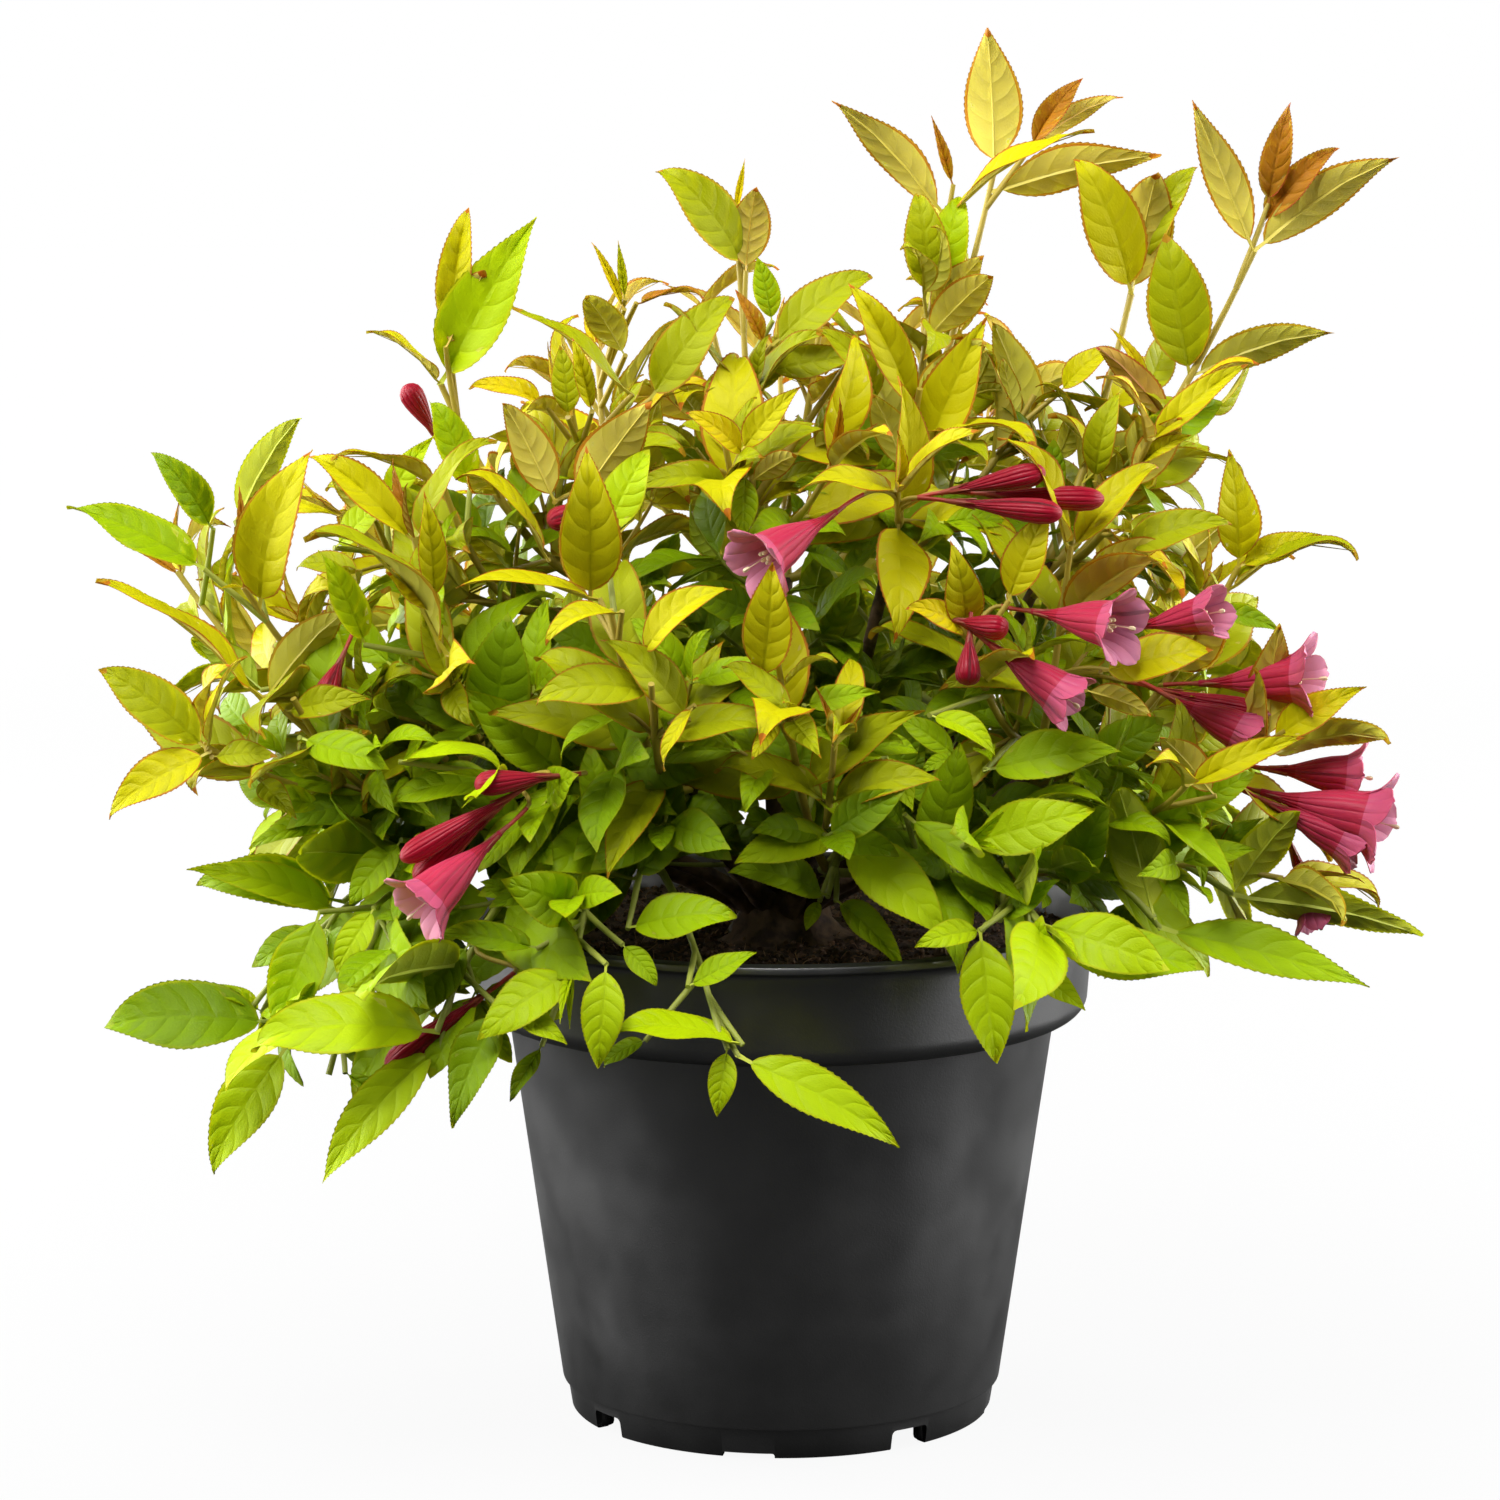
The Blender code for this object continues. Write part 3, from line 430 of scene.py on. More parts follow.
@dataclass(frozen=True)
class Finish:
    """A material with grain, uneven gloss and relief, on a plain base colour."""

    name: str
    colour: Colour
    roughness: Span
    grain_scale: float
    patch_scale: float
    relief: float
    subsurface: float = 0.0
    sheen: float = 0.0
    specular: float = 0.5
    ior: float = 1.5

    def made(self) -> Paint:
        """The material, built once.

        Returns:
            The finish's material.
        """
        found = bpy.data.materials.get(self.name)
        if found:
            return found
        material = bpy.data.materials.new(self.name)
        material.use_nodes = True
        net = Net(material.node_tree)
        shader = material.node_tree.nodes["Principled BSDF"]
        plain = {"Base Color": (*self.colour, 1.0), "Specular IOR Level": self.specular}
        net.fill(shader, {**plain, "Sheen Weight": self.sheen, "IOR": self.ior})
        if self.subsurface:
            net.fill(shader, {"Subsurface Weight": self.subsurface, "Subsurface Radius": SCATTER})
            net.fill(shader, {"Subsurface Scale": SCATTER_DEPTH})
        grain = net.node("ShaderNodeGroup", node_tree=fine_grain())
        net.fill(grain, {"Grain Scale": self.grain_scale, "Patch Scale": self.patch_scale})
        low, high = self.roughness
        patches = {"From Min": 0.3, "From Max": 0.7, "To Min": low, "To Max": high}
        patches["Value"] = grain.outputs["Mask"]
        uneven = net.fill(net.node("ShaderNodeMapRange"), patches)
        net.wire(uneven.outputs["Result"], shader.inputs["Roughness"])
        self.add_colour(net, shader, grain)
        self.add_relief(net, shader, grain)
        return material

    def add_colour(self, net: Net, shader: Node, grain: Node) -> None:
        """Leave the base colour plain."""

    def add_relief(self, net: Net, shader: Node, grain: Node) -> None:
        """Raise the grain a little.

        Args:
            net: The material's net.
            shader: Its shader.
            grain: Its grain group.
        """
        bump = net.node("ShaderNodeBump")
        net.fill(bump, {"Strength": 1.0, "Distance": self.relief, "Height": grain.outputs["Height"]})
        net.wire(bump.outputs["Normal"], shader.inputs["Normal"])


@dataclass(frozen=True)
class MottledFinish(Finish):
    """A finish whose colour varies between two tones."""

    second: Colour = (0.0, 0.0, 0.0)
    balance: Span = (0.4, 0.6)

    def add_colour(self, net: Net, shader: Node, grain: Node) -> None:
        """Mix the two tones by the uneven mask.

        Args:
            net: The material's net.
            shader: Its shader.
            grain: Its grain group.
        """
        patches = net.node("ShaderNodeMapRange")
        low, high = self.balance
        net.fill(patches, {"From Min": low, "From Max": high, "Value": grain.outputs["Mask"]})
        mix = net.node("ShaderNodeMix", data_type="RGBA")
        for label, tone in (("A", self.colour), ("B", self.second)):
            live(mix.inputs, label, "RGBA").default_value = (*tone, 1.0)
        net.wire(patches.outputs["Result"], live(mix.inputs, "Factor"))
        net.wire(live(mix.outputs, kind="RGBA"), shader.inputs["Base Color"])


@dataclass(frozen=True)
class VeinedFinish(Finish):
    """A leaf or petal finish with relief between its veins."""

    veins: float = 7.0
    vein_relief: float = 0.30 * MM
    net_share: float = 0.16
    raised: bool = False

    def add_relief(self, net: Net, shader: Node, grain: Node) -> None:
        """Add the veins' relief to the grain's.

        Args:
            net: The material's net.
            shader: Its shader.
            grain: Its grain group.
        """
        place = net.node("ShaderNodeUVMap", uv_map="leaf_map")
        veins = net.node("ShaderNodeGroup", node_tree=vein_relief())
        net.fill(veins, {"Veins": self.veins, "Net": self.net_share, "Vector": place.outputs["UV"]})
        coarse = net.node("ShaderNodeBump", invert=self.raised)
        net.fill(coarse, {"Distance": self.vein_relief, "Height": veins.outputs["Height"]})
        relief = {"Distance": self.relief, "Height": grain.outputs["Height"]}
        relief["Normal"] = coarse.outputs["Normal"]
        fine = net.fill(net.node("ShaderNodeBump"), relief)
        net.wire(fine.outputs["Normal"], shader.inputs["Normal"])


class Zone(Enum):
    """The parts of a leaf that take their own colour."""

    UPPER = 0
    UNDER = 1
    MARGIN = 2
    RIB = 3


@dataclass(frozen=True)
class LeafTone:
    """The plain colours of one tone of leaf."""

    name: str
    upper: Colour
    under: Colour
    margin: Colour
    rib: Colour

    def finishes(self) -> dict[Zone, Paint]:
        """The tone's materials by zone.

        Returns:
            One material for each zone.
        """
        blade = dict(grain_scale=2200.0, patch_scale=60.0, relief=0.012 * MM, subsurface=0.30, specular=0.12)
        return {
            Zone.UPPER: VeinedFinish(f"leaf_{self.name}_upper", self.upper, (0.38, 0.58), **blade).made(),
            Zone.UNDER: VeinedFinish(
                f"leaf_{self.name}_under", self.under, (0.62, 0.80), sheen=0.0, raised=True, **blade
            ).made(),
            Zone.MARGIN: Finish(f"leaf_{self.name}_margin", self.margin, (0.45, 0.62), **blade).made(),
            Zone.RIB: Finish(f"leaf_{self.name}_rib", self.rib, (0.45, 0.60), 1500.0, 90.0, 0.04 * MM).made(),
        }


class Tone(Enum):
    """The leaf tones, from the shaded inside to the youngest tips."""

    DEEP = LeafTone(
        "deep", (0.105, 0.175, 0.001), (0.18, 0.24, 0.015), (0.115, 0.165, 0.001), (0.24, 0.3, 0.02)
    )
    GREEN = LeafTone(
        "green", (0.19, 0.31, 0.001), (0.28, 0.36, 0.02), (0.21, 0.29, 0.001), (0.34, 0.42, 0.03)
    )
    FRESH = LeafTone(
        "fresh", (0.29, 0.435, 0.001), (0.38, 0.45, 0.03), (0.32, 0.4, 0.001), (0.46, 0.54, 0.03)
    )
    LIME = LeafTone(
        "lime", (0.4, 0.545, 0.001), (0.47, 0.52, 0.04), (0.43, 0.49, 0.002), (0.54, 0.6, 0.04)
    )
    OLIVE = LeafTone(
        "olive", (0.35, 0.385, 0.002), (0.5, 0.47, 0.06), (0.38, 0.19, 0.005), (0.48, 0.42, 0.03)
    )
    GOLD = LeafTone(
        "gold", (0.535, 0.5, 0.002), (0.62, 0.53, 0.085), (0.44, 0.14, 0.006), (0.58, 0.48, 0.04)
    )
    AMBER = LeafTone(
        "amber", (0.64, 0.5, 0.003), (0.62, 0.49, 0.09), (0.46, 0.11, 0.008), (0.6, 0.4, 0.04)
    )
    BRONZE = LeafTone(
        "bronze", (0.4, 0.16, 0.008), (0.48, 0.29, 0.05), (0.34, 0.045, 0.008), (0.42, 0.16, 0.02)
    )


# Leaves


@dataclass(frozen=True)
class LeafForm:
    """One leaf's shape: shares of its length, and angles in degrees."""

    width: float
    widest: float
    fold: float
    arch: float
    rise: float
    twist: float
    wave: float
    wave_turn: float
    bend: float = 0.0
    curl: float = 0.0
    rows: int = 12
    teeth: int = 2
    petiole: float = 0.07
    quilt: float = 0.013
    tooth: float = 0.008
    sweep: float = 0.085
    thickness: float = 0.008
    band: float = 0.93
    under_band: float = 0.90

    def half_width(self, share: float) -> float:
        """The half width at a share of the blade's length.

        Args:
            share: The share of the blade's length.

        Returns:
            The half width in metres.
        """
        low = 0.80
        high = low * (1.0 - self.widest) / self.widest
        peak = self.widest**low * (1.0 - self.widest) ** high
        inside = min(1.0, max(0.0, share))
        return self.width * inside**low * (1.0 - inside) ** high / peak

    def spine(self, share: float) -> tuple[np.ndarray, float]:
        """The midrib's place and downward angle at a share of the blade's length.

        Args:
            share: The share of the blade's length.

        Returns:
            The midrib's place and its downward angle.
        """
        steps = 24
        turn = radians(self.arch + self.rise)
        start = radians(-self.rise)
        place = np.array([0.0, self.petiole, 0.0])
        angle = start
        for step in range(steps):
            angle = self.slope(start, turn, share * (step + 0.5) / steps)
            reach = share * (1.0 - self.petiole) / steps
            place += np.array([0.0, cos(angle), -sin(angle)]) * reach
        place[0] += self.bend * share * share
        return place, self.slope(start, turn, share)

    def slope(self, start: float, turn: float, share: float) -> float:
        """The downward angle at a share of the length, steeper again at the tip."""
        hook = max(0.0, (share - 0.68) / 0.32)
        return start + turn * share**1.35 + radians(self.curl) * hook * hook

    def point(self, share: float, across: float, lift: float = 0.0, grow: float = 0.0) -> np.ndarray:
        """A point of the blade.

        Args:
            share: How far along the blade.
            across: From -1 at one margin to 1 at the other.
            lift: How far above the plain surface.
            grow: How far out past the margin.

        Returns:
            The point in the leaf's own axes.
        """
        place, angle = self.spine(min(1.0, share))
        side = copysign(abs(across) * self.half_width(share) + grow, across) if across else 0.0
        fold = radians(self.fold) * (1.0 - 0.35 * share)
        ripple = self.wave * sin(9.0 * share + self.wave_turn + (1.3 if across > 0 else 0.0))
        out = side * cos(fold)
        high = abs(side) * sin(fold) * (1.0 - 0.30 * abs(across)) + ripple * across * across * 0.5 + lift
        twist = radians(self.twist) * share
        turned_out = out * cos(twist) - high * sin(twist)
        turned_high = out * sin(twist) + high * cos(twist)
        return place + np.array([turned_out, turned_high * sin(angle), turned_high * cos(angle)])

    def mesh(self, name: str) -> Mesh:
        """The leaf one metre long, from its petiole's foot along +Y, upper face up.

        Args:
            name: The mesh's name.

        Returns:
            A closed leaf with its zones and its map.
        """
        build = LeafBuilder(self)
        build.blade()
        build.rib()
        return build.finished(name)


class LeafBuilder:
    """Collects one leaf's points and faces."""

    def __init__(self, form: LeafForm) -> None:
        """Start with an empty leaf of one form.

        Args:
            form: The leaf's form.
        """
        self.form = form
        self.places: list[np.ndarray] = []
        self.maps: list[Span] = []
        self.faces: list[list[int]] = []
        self.zones: list[int] = []

    def add(self, place: np.ndarray, across: float, along: float) -> int:
        """Add a point with its place on the leaf's map and return its number.

        Args:
            place: The point.
            across: Its place across the map.
            along: Its place along the map.

        Returns:
            The point's number.
        """
        self.places.append(place)
        self.maps.append((across * 0.5 + 0.5, along))
        return len(self.places) - 1

    def face(self, corners: Sequence[int], zone: Zone, flip: bool) -> None:
        """Add a face, turned round where asked, leaving out corners that repeat.

        Args:
            corners: The corners' numbers.
            zone: The face's zone.
            flip: Whether the face is turned round.
        """
        kept = single(corners)
        if kept:
            self.faces.append(kept[::-1] if flip else kept)
            self.zones.append(zone.value)

    def share_of(self, row: float, across: float) -> float:
        """How far along the blade a row lies: rows run forward along the side veins."""
        share = row / self.form.rows
        return min(1.0, share + self.form.sweep * across**1.3 * sin(pi * share))

    def blade(self) -> None:
        """The quilted upper face, the underside and the toothed margin that they share."""
        form = self.form
        rows = form.rows
        spine_row = [self.add(form.point(row / rows, 0.0), 0.0, row / rows) for row in range(rows + 1)]
        under_row = list(spine_row)
        for row in range(1, rows):
            under_row[row] = self.add(form.point(row / rows, 0.0, -form.thickness), 0.0, row / rows)
        for side in (-1, 1):
            middle = self.column(side, 0.52, True, spine_row)
            band = self.column(side, form.band, False, spine_row)
            under_middle = self.column(side, 0.52, False, spine_row, -form.thickness)
            under_band = self.column(side, form.under_band, False, spine_row, -form.thickness * 0.6)
            margin = self.margin(side, spine_row)
            flip = side < 0
            for row in range(rows):
                last = row >= rows - 1
                zone = Zone.MARGIN if last else Zone.UPPER
                self.face((spine_row[row], middle[row], middle[row + 1], spine_row[row + 1]), zone, flip)
                self.face((middle[row], band[row], band[row + 1], middle[row + 1]), zone, flip)
                step = 2 * form.teeth
                edge = margin[row * step : row * step + step + 1]
                self.face((band[row], *edge, band[row + 1]), Zone.MARGIN, flip)
                zone = Zone.MARGIN if last else Zone.UNDER
                under = (under_row, under_middle, under_band)
                for inner, outer in zip(under, under[1:]):
                    self.face((inner[row], outer[row], outer[row + 1], inner[row + 1]), zone, not flip)
                self.face((under_band[row], *edge, under_band[row + 1]), Zone.MARGIN, not flip)

    def column(
        self, side: int, across: float, quilted: bool, ends: list[int], drop: float = 0.0
    ) -> list[int]:
        """A line of points along the blade at one share of its width.

        Args:
            side: Which half: -1 or 1.
            across: The share of the half width.
            quilted: Whether the blade rises between veins.
            ends: The numbers of the blade's two end points.
            drop: How far the line lies under the blade.

        Returns:
            The points' numbers from base to tip.
        """
        form = self.form
        numbers = [ends[0]]
        for row in range(1, form.rows):
            lift = form.quilt * (1 if row % 2 else -0.2) if quilted else drop
            lift *= sin(pi * row / form.rows) ** 0.5
            place = form.point(self.share_of(row, across), side * across, lift)
            numbers.append(self.add(place, side * across, row / form.rows))
        return numbers + [ends[-1]]

    def margin(self, side: int, ends: list[int]) -> list[int]:
        """The toothed outline: two points for each tooth.

        Args:
            side: Which half: -1 or 1.
            ends: The numbers of the blade's two end points.

        Returns:
            The points' numbers from base to tip.
        """
        form = self.form
        steps = form.rows * 2 * form.teeth
        numbers = [ends[0]]
        for step in range(1, steps):
            row = step / (2 * form.teeth)
            peak = step % 2
            share = self.share_of(row + 0.12 * peak, 1.0)
            grow = form.tooth * peak * sin(pi * row / form.rows) ** 0.4
            numbers.append(self.add(form.point(share, side, 0.0, grow), side, row / form.rows))
        return numbers + [ends[-1]]

    def rib(self) -> None:
        """The petiole, running on as the midrib under the blade."""
        form = self.form
        rings: list[list[int]] = []
        ways = [np.array([0.0, -0.012, 0.0]), np.array([0.0, form.petiole * 0.6, 0.0])]
        ways += [form.point(share, 0.0, -form.thickness * 0.8) for share in (0.02, 0.3, 0.62, 0.9)]
        sizes = (0.019, 0.0135, 0.013, 0.010, 0.007, 0.003)
        for place, size in zip(ways, sizes):
            starts = [turn - pi / 2 for turn in turns(3)]
            offsets = [np.array([cos(turn) * size, 0.0, sin(turn) * size]) for turn in starts]
            rings.append([self.add(place + offset, 0.0, 0.0) for offset in offsets])
        for low, high in zip(rings, rings[1:]):
            for corner in range(3):
                after = (corner + 1) % 3
                self.face([low[corner], low[after], high[after], high[corner]], Zone.RIB, True)
        self.face(rings[0], Zone.RIB, True)
        self.face(rings[-1], Zone.RIB, False)

    def finished(self, name: str) -> Mesh:
        """The leaf as a mesh with its zones, map and sharp outline.

        Args:
            name: The mesh's name.

        Returns:
            The mesh.
        """
        mesh = mesh_of(name, self.places, self.faces)
        zones = mesh.attributes.new("zone", "INT", "FACE")
        zones.data.foreach_set("value", self.zones)
        chart = mesh.uv_layers.new(name="leaf_map")
        spots = [self.maps[loop.vertex_index] for loop in mesh.loops]
        chart.data.foreach_set("uv", [value for spot in spots for value in spot])
        return smooth(mesh, 62)


@dataclass(frozen=True)
class FormRange:
    """How much the leaves of one kind vary."""

    count: int
    width: Span
    widest: float
    fold: Span
    arch: Span
    rise: Span
    twist: float
    wave: Span
    curl: Span = (0, 30)
    teeth: int = 2
    rows: int = 12

    def forms(self, dice: random.Random) -> list[LeafForm]:
        """This kind's leaf forms, drawn with the dice.

        Args:
            dice: The random numbers.

        Returns:
            The forms.
        """
        return [
            LeafForm(
                width=dice.uniform(*self.width), widest=self.widest + dice.uniform(-0.03, 0.03),
                fold=dice.uniform(*self.fold), arch=dice.uniform(*self.arch), rise=dice.uniform(*self.rise),
                twist=dice.uniform(-self.twist, self.twist), wave=dice.uniform(*self.wave),
                wave_turn=dice.uniform(0.0, tau), bend=dice.uniform(-0.07, 0.07),
                curl=dice.uniform(*self.curl), teeth=self.teeth, rows=self.rows,
            )
            for _ in range(self.count)
        ]


class LeafKind(Enum):
    """Kinds of leaf by age and place."""

    BLADE = FormRange(10, (0.165, 0.200), 0.37, (16, 38), (20, 56), (4, 18), 22, (0.03, 0.08), (0, 60))
    BROAD = FormRange(8, (0.205, 0.240), 0.41, (8, 24), (8, 38), (2, 12), 14, (0.02, 0.05), (0, 35))
    YOUNG = FormRange(8, (0.140, 0.170), 0.36, (26, 46), (16, 54), (4, 18), 24, (0.03, 0.08), (0, 70))
    SPEAR = FormRange(5, (0.085, 0.110), 0.35, (44, 60), (4, 28), (0, 8), 14, (0.01, 0.03), (0, 40), 1, 10)
    SMALL = FormRange(8, (0.200, 0.235), 0.42, (8, 28), (10, 44), (2, 12), 16, (0.02, 0.05), (0, 35), 1, 8)
    SLIM = FormRange(6, (0.125, 0.150), 0.38, (10, 24), (18, 44), (4, 14), 6, (0.02, 0.05), (0, 40))


class LeafStore:
    """All leaf forms as hidden meshes, in the order that the spray tree picks them."""

    def __init__(self, seed: int) -> None:
        """Draw the forms with a fixed seed.

        Args:
            seed: The seed of the dice.
        """
        dice = random.Random(seed)
        self.first: dict[LeafKind, int] = {}
        self.chords: list[Vector] = []
        self.collection = bpy.data.collections.new("leaf_store")
        number = 0
        for kind in LeafKind:
            self.first[kind] = number
            for form in kind.value.forms(dice):
                holder = bpy.data.objects.new(f"leaf_{number:03d}", form.mesh(f"leaf_{number:03d}"))
                self.collection.objects.link(holder)
                self.chords.append(Vector(form.point(1.0, 0.0)))
                number += 1

    def pick(self, kind: LeafKind, dice: random.Random) -> int:
        """The number of one leaf form of a kind."""
        return self.first[kind] + dice.randrange(kind.value.count)

    def clear(self) -> None:
        """Remove the store once every spray is made."""
        for holder in list(self.collection.objects):
            mesh = holder.data
            bpy.data.objects.remove(holder)
            bpy.data.meshes.remove(mesh)
        bpy.data.collections.remove(self.collection)


@dataclass
class LeafPlace:
    """Where one leaf grows and which it is."""

    region: str
    tone: Tone
    form: int
    root: Vector
    turn: tuple[float, float, float, float]
    size: float


@cache
def spray_tree() -> Tree:
    """Leaves on points, each with its own form, turn and size, in the materials of one tone.

    Returns:
        The Geometry Nodes tree.
    """
    inputs = {"Geometry": "Geometry", "Leaves": "Collection"}
    inputs.update({zone.name.title(): "Material" for zone in Zone})
    net = new_group("leaf_spray", "Geometry", inputs, {"Geometry": "Geometry"})
    source, target = net.ends
    place = net.instances(source.outputs["Geometry"], source.outputs["Leaves"])
    reads = {"Instance Index": ("form", "INT"), "Rotation": ("turn", "QUATERNION")}
    reads["Scale"] = ("size", "FLOAT")
    net.fill(place, {socket: net.attribute(*read) for socket, read in reads.items()})
    shape = net.realised(place.outputs[0])
    zone_value = net.attribute("zone", "INT")
    for zone in Zone:
        same = net.node("FunctionNodeCompare", data_type="INT", operation="EQUAL")
        net.wire(zone_value, live(same.inputs, "A"))
        live(same.inputs, "B").default_value = zone.value
        paint = net.painted(shape, source.outputs[zone.name.title()])
        net.wire(same.outputs[0], paint.inputs["Selection"])
        shape = paint.outputs[0]
    net.wire(shape, target.inputs["Geometry"])
    return net.tree


def spray_mesh(leaves: Sequence[LeafPlace], tone: Tone, store: LeafStore) -> Mesh:
    """All leaves of one tone as one mesh.

    Args:
        leaves: Where they grow.
        tone: Their tone.
        store: The leaf forms.

    Returns:
        A plain mesh in the tone's materials.
    """
    points = mesh_of("spray", [leaf.root for leaf in leaves], [])
    turns = [value for leaf in leaves for value in leaf.turn]
    sizes = [leaf.size for leaf in leaves]
    forms = [leaf.form for leaf in leaves]
    tables = (("turn", "QUATERNION", turns), ("size", "FLOAT", sizes), ("form", "INT", forms))
    for label, kind, values in tables:
        points.attributes.new(label, kind, "POINT").data.foreach_set("value", values)
    holder = link_piece("spray", points)
    grow = holder.modifiers.new("Spray", "NODES")
    grow.node_group = spray_tree()
    set_input(grow, "Leaves", store.collection)
    for zone, material in tone.value.finishes().items():
        set_input(grow, zone.name.title(), material)
    return baked(holder)


# Twigs


class Age(Enum):
    """Ages of twig, each with its own finish."""

    SHOOT = Finish("twig_shoot", (0.42, 0.32, 0.035), (0.42, 0.60), 900.0, 90.0, 0.05 * MM, 0.05)
    GREEN = Finish("twig_green", (0.34, 0.38, 0.050), (0.45, 0.62), 900.0, 90.0, 0.05 * MM, 0.05)
    STALK = Finish("flower_stalk", (0.42, 0.035, 0.020), (0.40, 0.55), 900.0, 90.0, 0.04 * MM, 0.05)


@dataclass
class Twig:
    """A limb's way with a radius at each point."""

    way: Way
    radii: list[float]
    age: Age


@cache
def twig_tree() -> Tree:
    """Round tubes along lines, as thick as the lines' own radius attribute says.

    Returns:
        The Geometry Nodes tree.
    """
    inputs = {"Geometry": "Geometry", "Sides": "Int", "Finish": "Material"}
    net = new_group("twig_tubes", "Geometry", inputs, {"Geometry": "Geometry"})
    source, target = net.ends
    line = net.node("GeometryNodeMeshToCurve")
    net.wire(source.outputs["Geometry"], line.inputs[0])
    width = net.attribute("thick", "FLOAT")
    ring = net.node("GeometryNodeCurvePrimitiveCircle")
    net.fill(ring, {"Radius": 1.0, "Resolution": source.outputs["Sides"]})
    tube = net.node("GeometryNodeCurveToMesh")
    net.fill(tube, {"Fill Caps": True, "Profile Curve": ring.outputs[0]})
    if "Scale" in tube.inputs:
        net.fill(tube, {"Curve": line.outputs[0], "Scale": width})
    else:
        wide = net.fill(net.node("GeometryNodeSetCurveRadius"), {"Curve": line.outputs[0], "Radius": width})
        net.wire(wide.outputs[0], tube.inputs["Curve"])
    paint = net.painted(net.realised(tube.outputs[0]), source.outputs["Finish"])
    net.wire(paint.outputs[0], target.inputs["Geometry"])
    return net.tree


def twig_mesh(twigs: Sequence[Twig], age: Age, sides: int) -> Mesh:
    """All twigs of one age as one mesh of tubes.

    Args:
        twigs: The twigs.
        age: Their age, which gives the finish.
        sides: How many sides a tube has.

    Returns:
        A plain mesh.
    """
    places: list[Vector] = []
    edges: list[tuple[int, int]] = []
    radii: list[float] = []
    for twig in twigs:
        first = len(places)
        places += twig.way
        radii += twig.radii
        edges += [(first + step, first + step + 1) for step in range(len(twig.way) - 1)]
    lines = bpy.data.meshes.new("twig_lines")
    lines.from_pydata([tuple(place) for place in places], edges, [])
    lines.attributes.new("thick", "FLOAT", "POINT").data.foreach_set("value", radii)
    holder = link_piece("twig_lines", lines)
    tubes = holder.modifiers.new("Tubes", "NODES")
    tubes.node_group = twig_tree()
    set_input(tubes, "Sides", sides)
    set_input(tubes, "Finish", age.value.made())
    return smooth(outward(baked(holder)), 50)


# Growth


@dataclass(frozen=True)
class BoughPlan:
    """A bough's tip, and how far its middle rises above the straight line, in millimetres."""

    name: str
    azimuth: float
    reach: float
    height: float
    bend: float


class Dress(Enum):
    """The tones of a shoot's leaves, from its tip back into the crown."""

    CREST = (Tone.AMBER, Tone.GOLD, Tone.OLIVE, Tone.OLIVE, Tone.GREEN, Tone.DEEP)
    SUNNY = (Tone.GOLD, Tone.GOLD, Tone.OLIVE, Tone.FRESH, Tone.GREEN, Tone.DEEP)
    FLANK = (Tone.GOLD, Tone.OLIVE, Tone.FRESH, Tone.FRESH, Tone.GREEN, Tone.DEEP)
    SKIRT = (Tone.LIME, Tone.FRESH, Tone.FRESH, Tone.GREEN, Tone.GREEN, Tone.DEEP)
    SHADE = (Tone.FRESH, Tone.FRESH, Tone.GREEN, Tone.GREEN, Tone.DEEP, Tone.DEEP)

    @property
    def low(self) -> bool:
        """Whether it is a low green shoot's."""
        return self in (Dress.SKIRT, Dress.SHADE)


@dataclass(frozen=True)
class ShootPlan:
    """A shoot's last node, in degrees and millimetres; the first of a mass is its main stem."""

    mass: str
    bough: str
    azimuth: float
    reach: float
    height: float
    bend: float
    spin: float
    leaf: float
    dress: Dress


BOUGH_ROWS = {
    "left_low": (-145, 92, 199, 12), "left": (-160, 104, 236, -6), "left_high": (-168, 62, 292, -14),
    "front_left": (-118, 70, 234, -4), "front": (-72, 52, 200, 4), "centre": (-112, 24, 298, 2),
    "tall": (-8, 40, 312, -8), "right_high": (-4, 92, 300, -16), "right": (-28, 96, 232, -4),
    "right_low": (-44, 88, 196, 10), "back_left": (128, 84, 240, -4), "back": (88, 70, 285, -8),
    "back_right": (42, 86, 236, -4),
}
BOUGHS = tuple(BoughPlan(f"bough_{name}", *row) for name, row in BOUGH_ROWS.items())

CREST, SUNNY, FLANK, SKIRT, SHADE = Dress

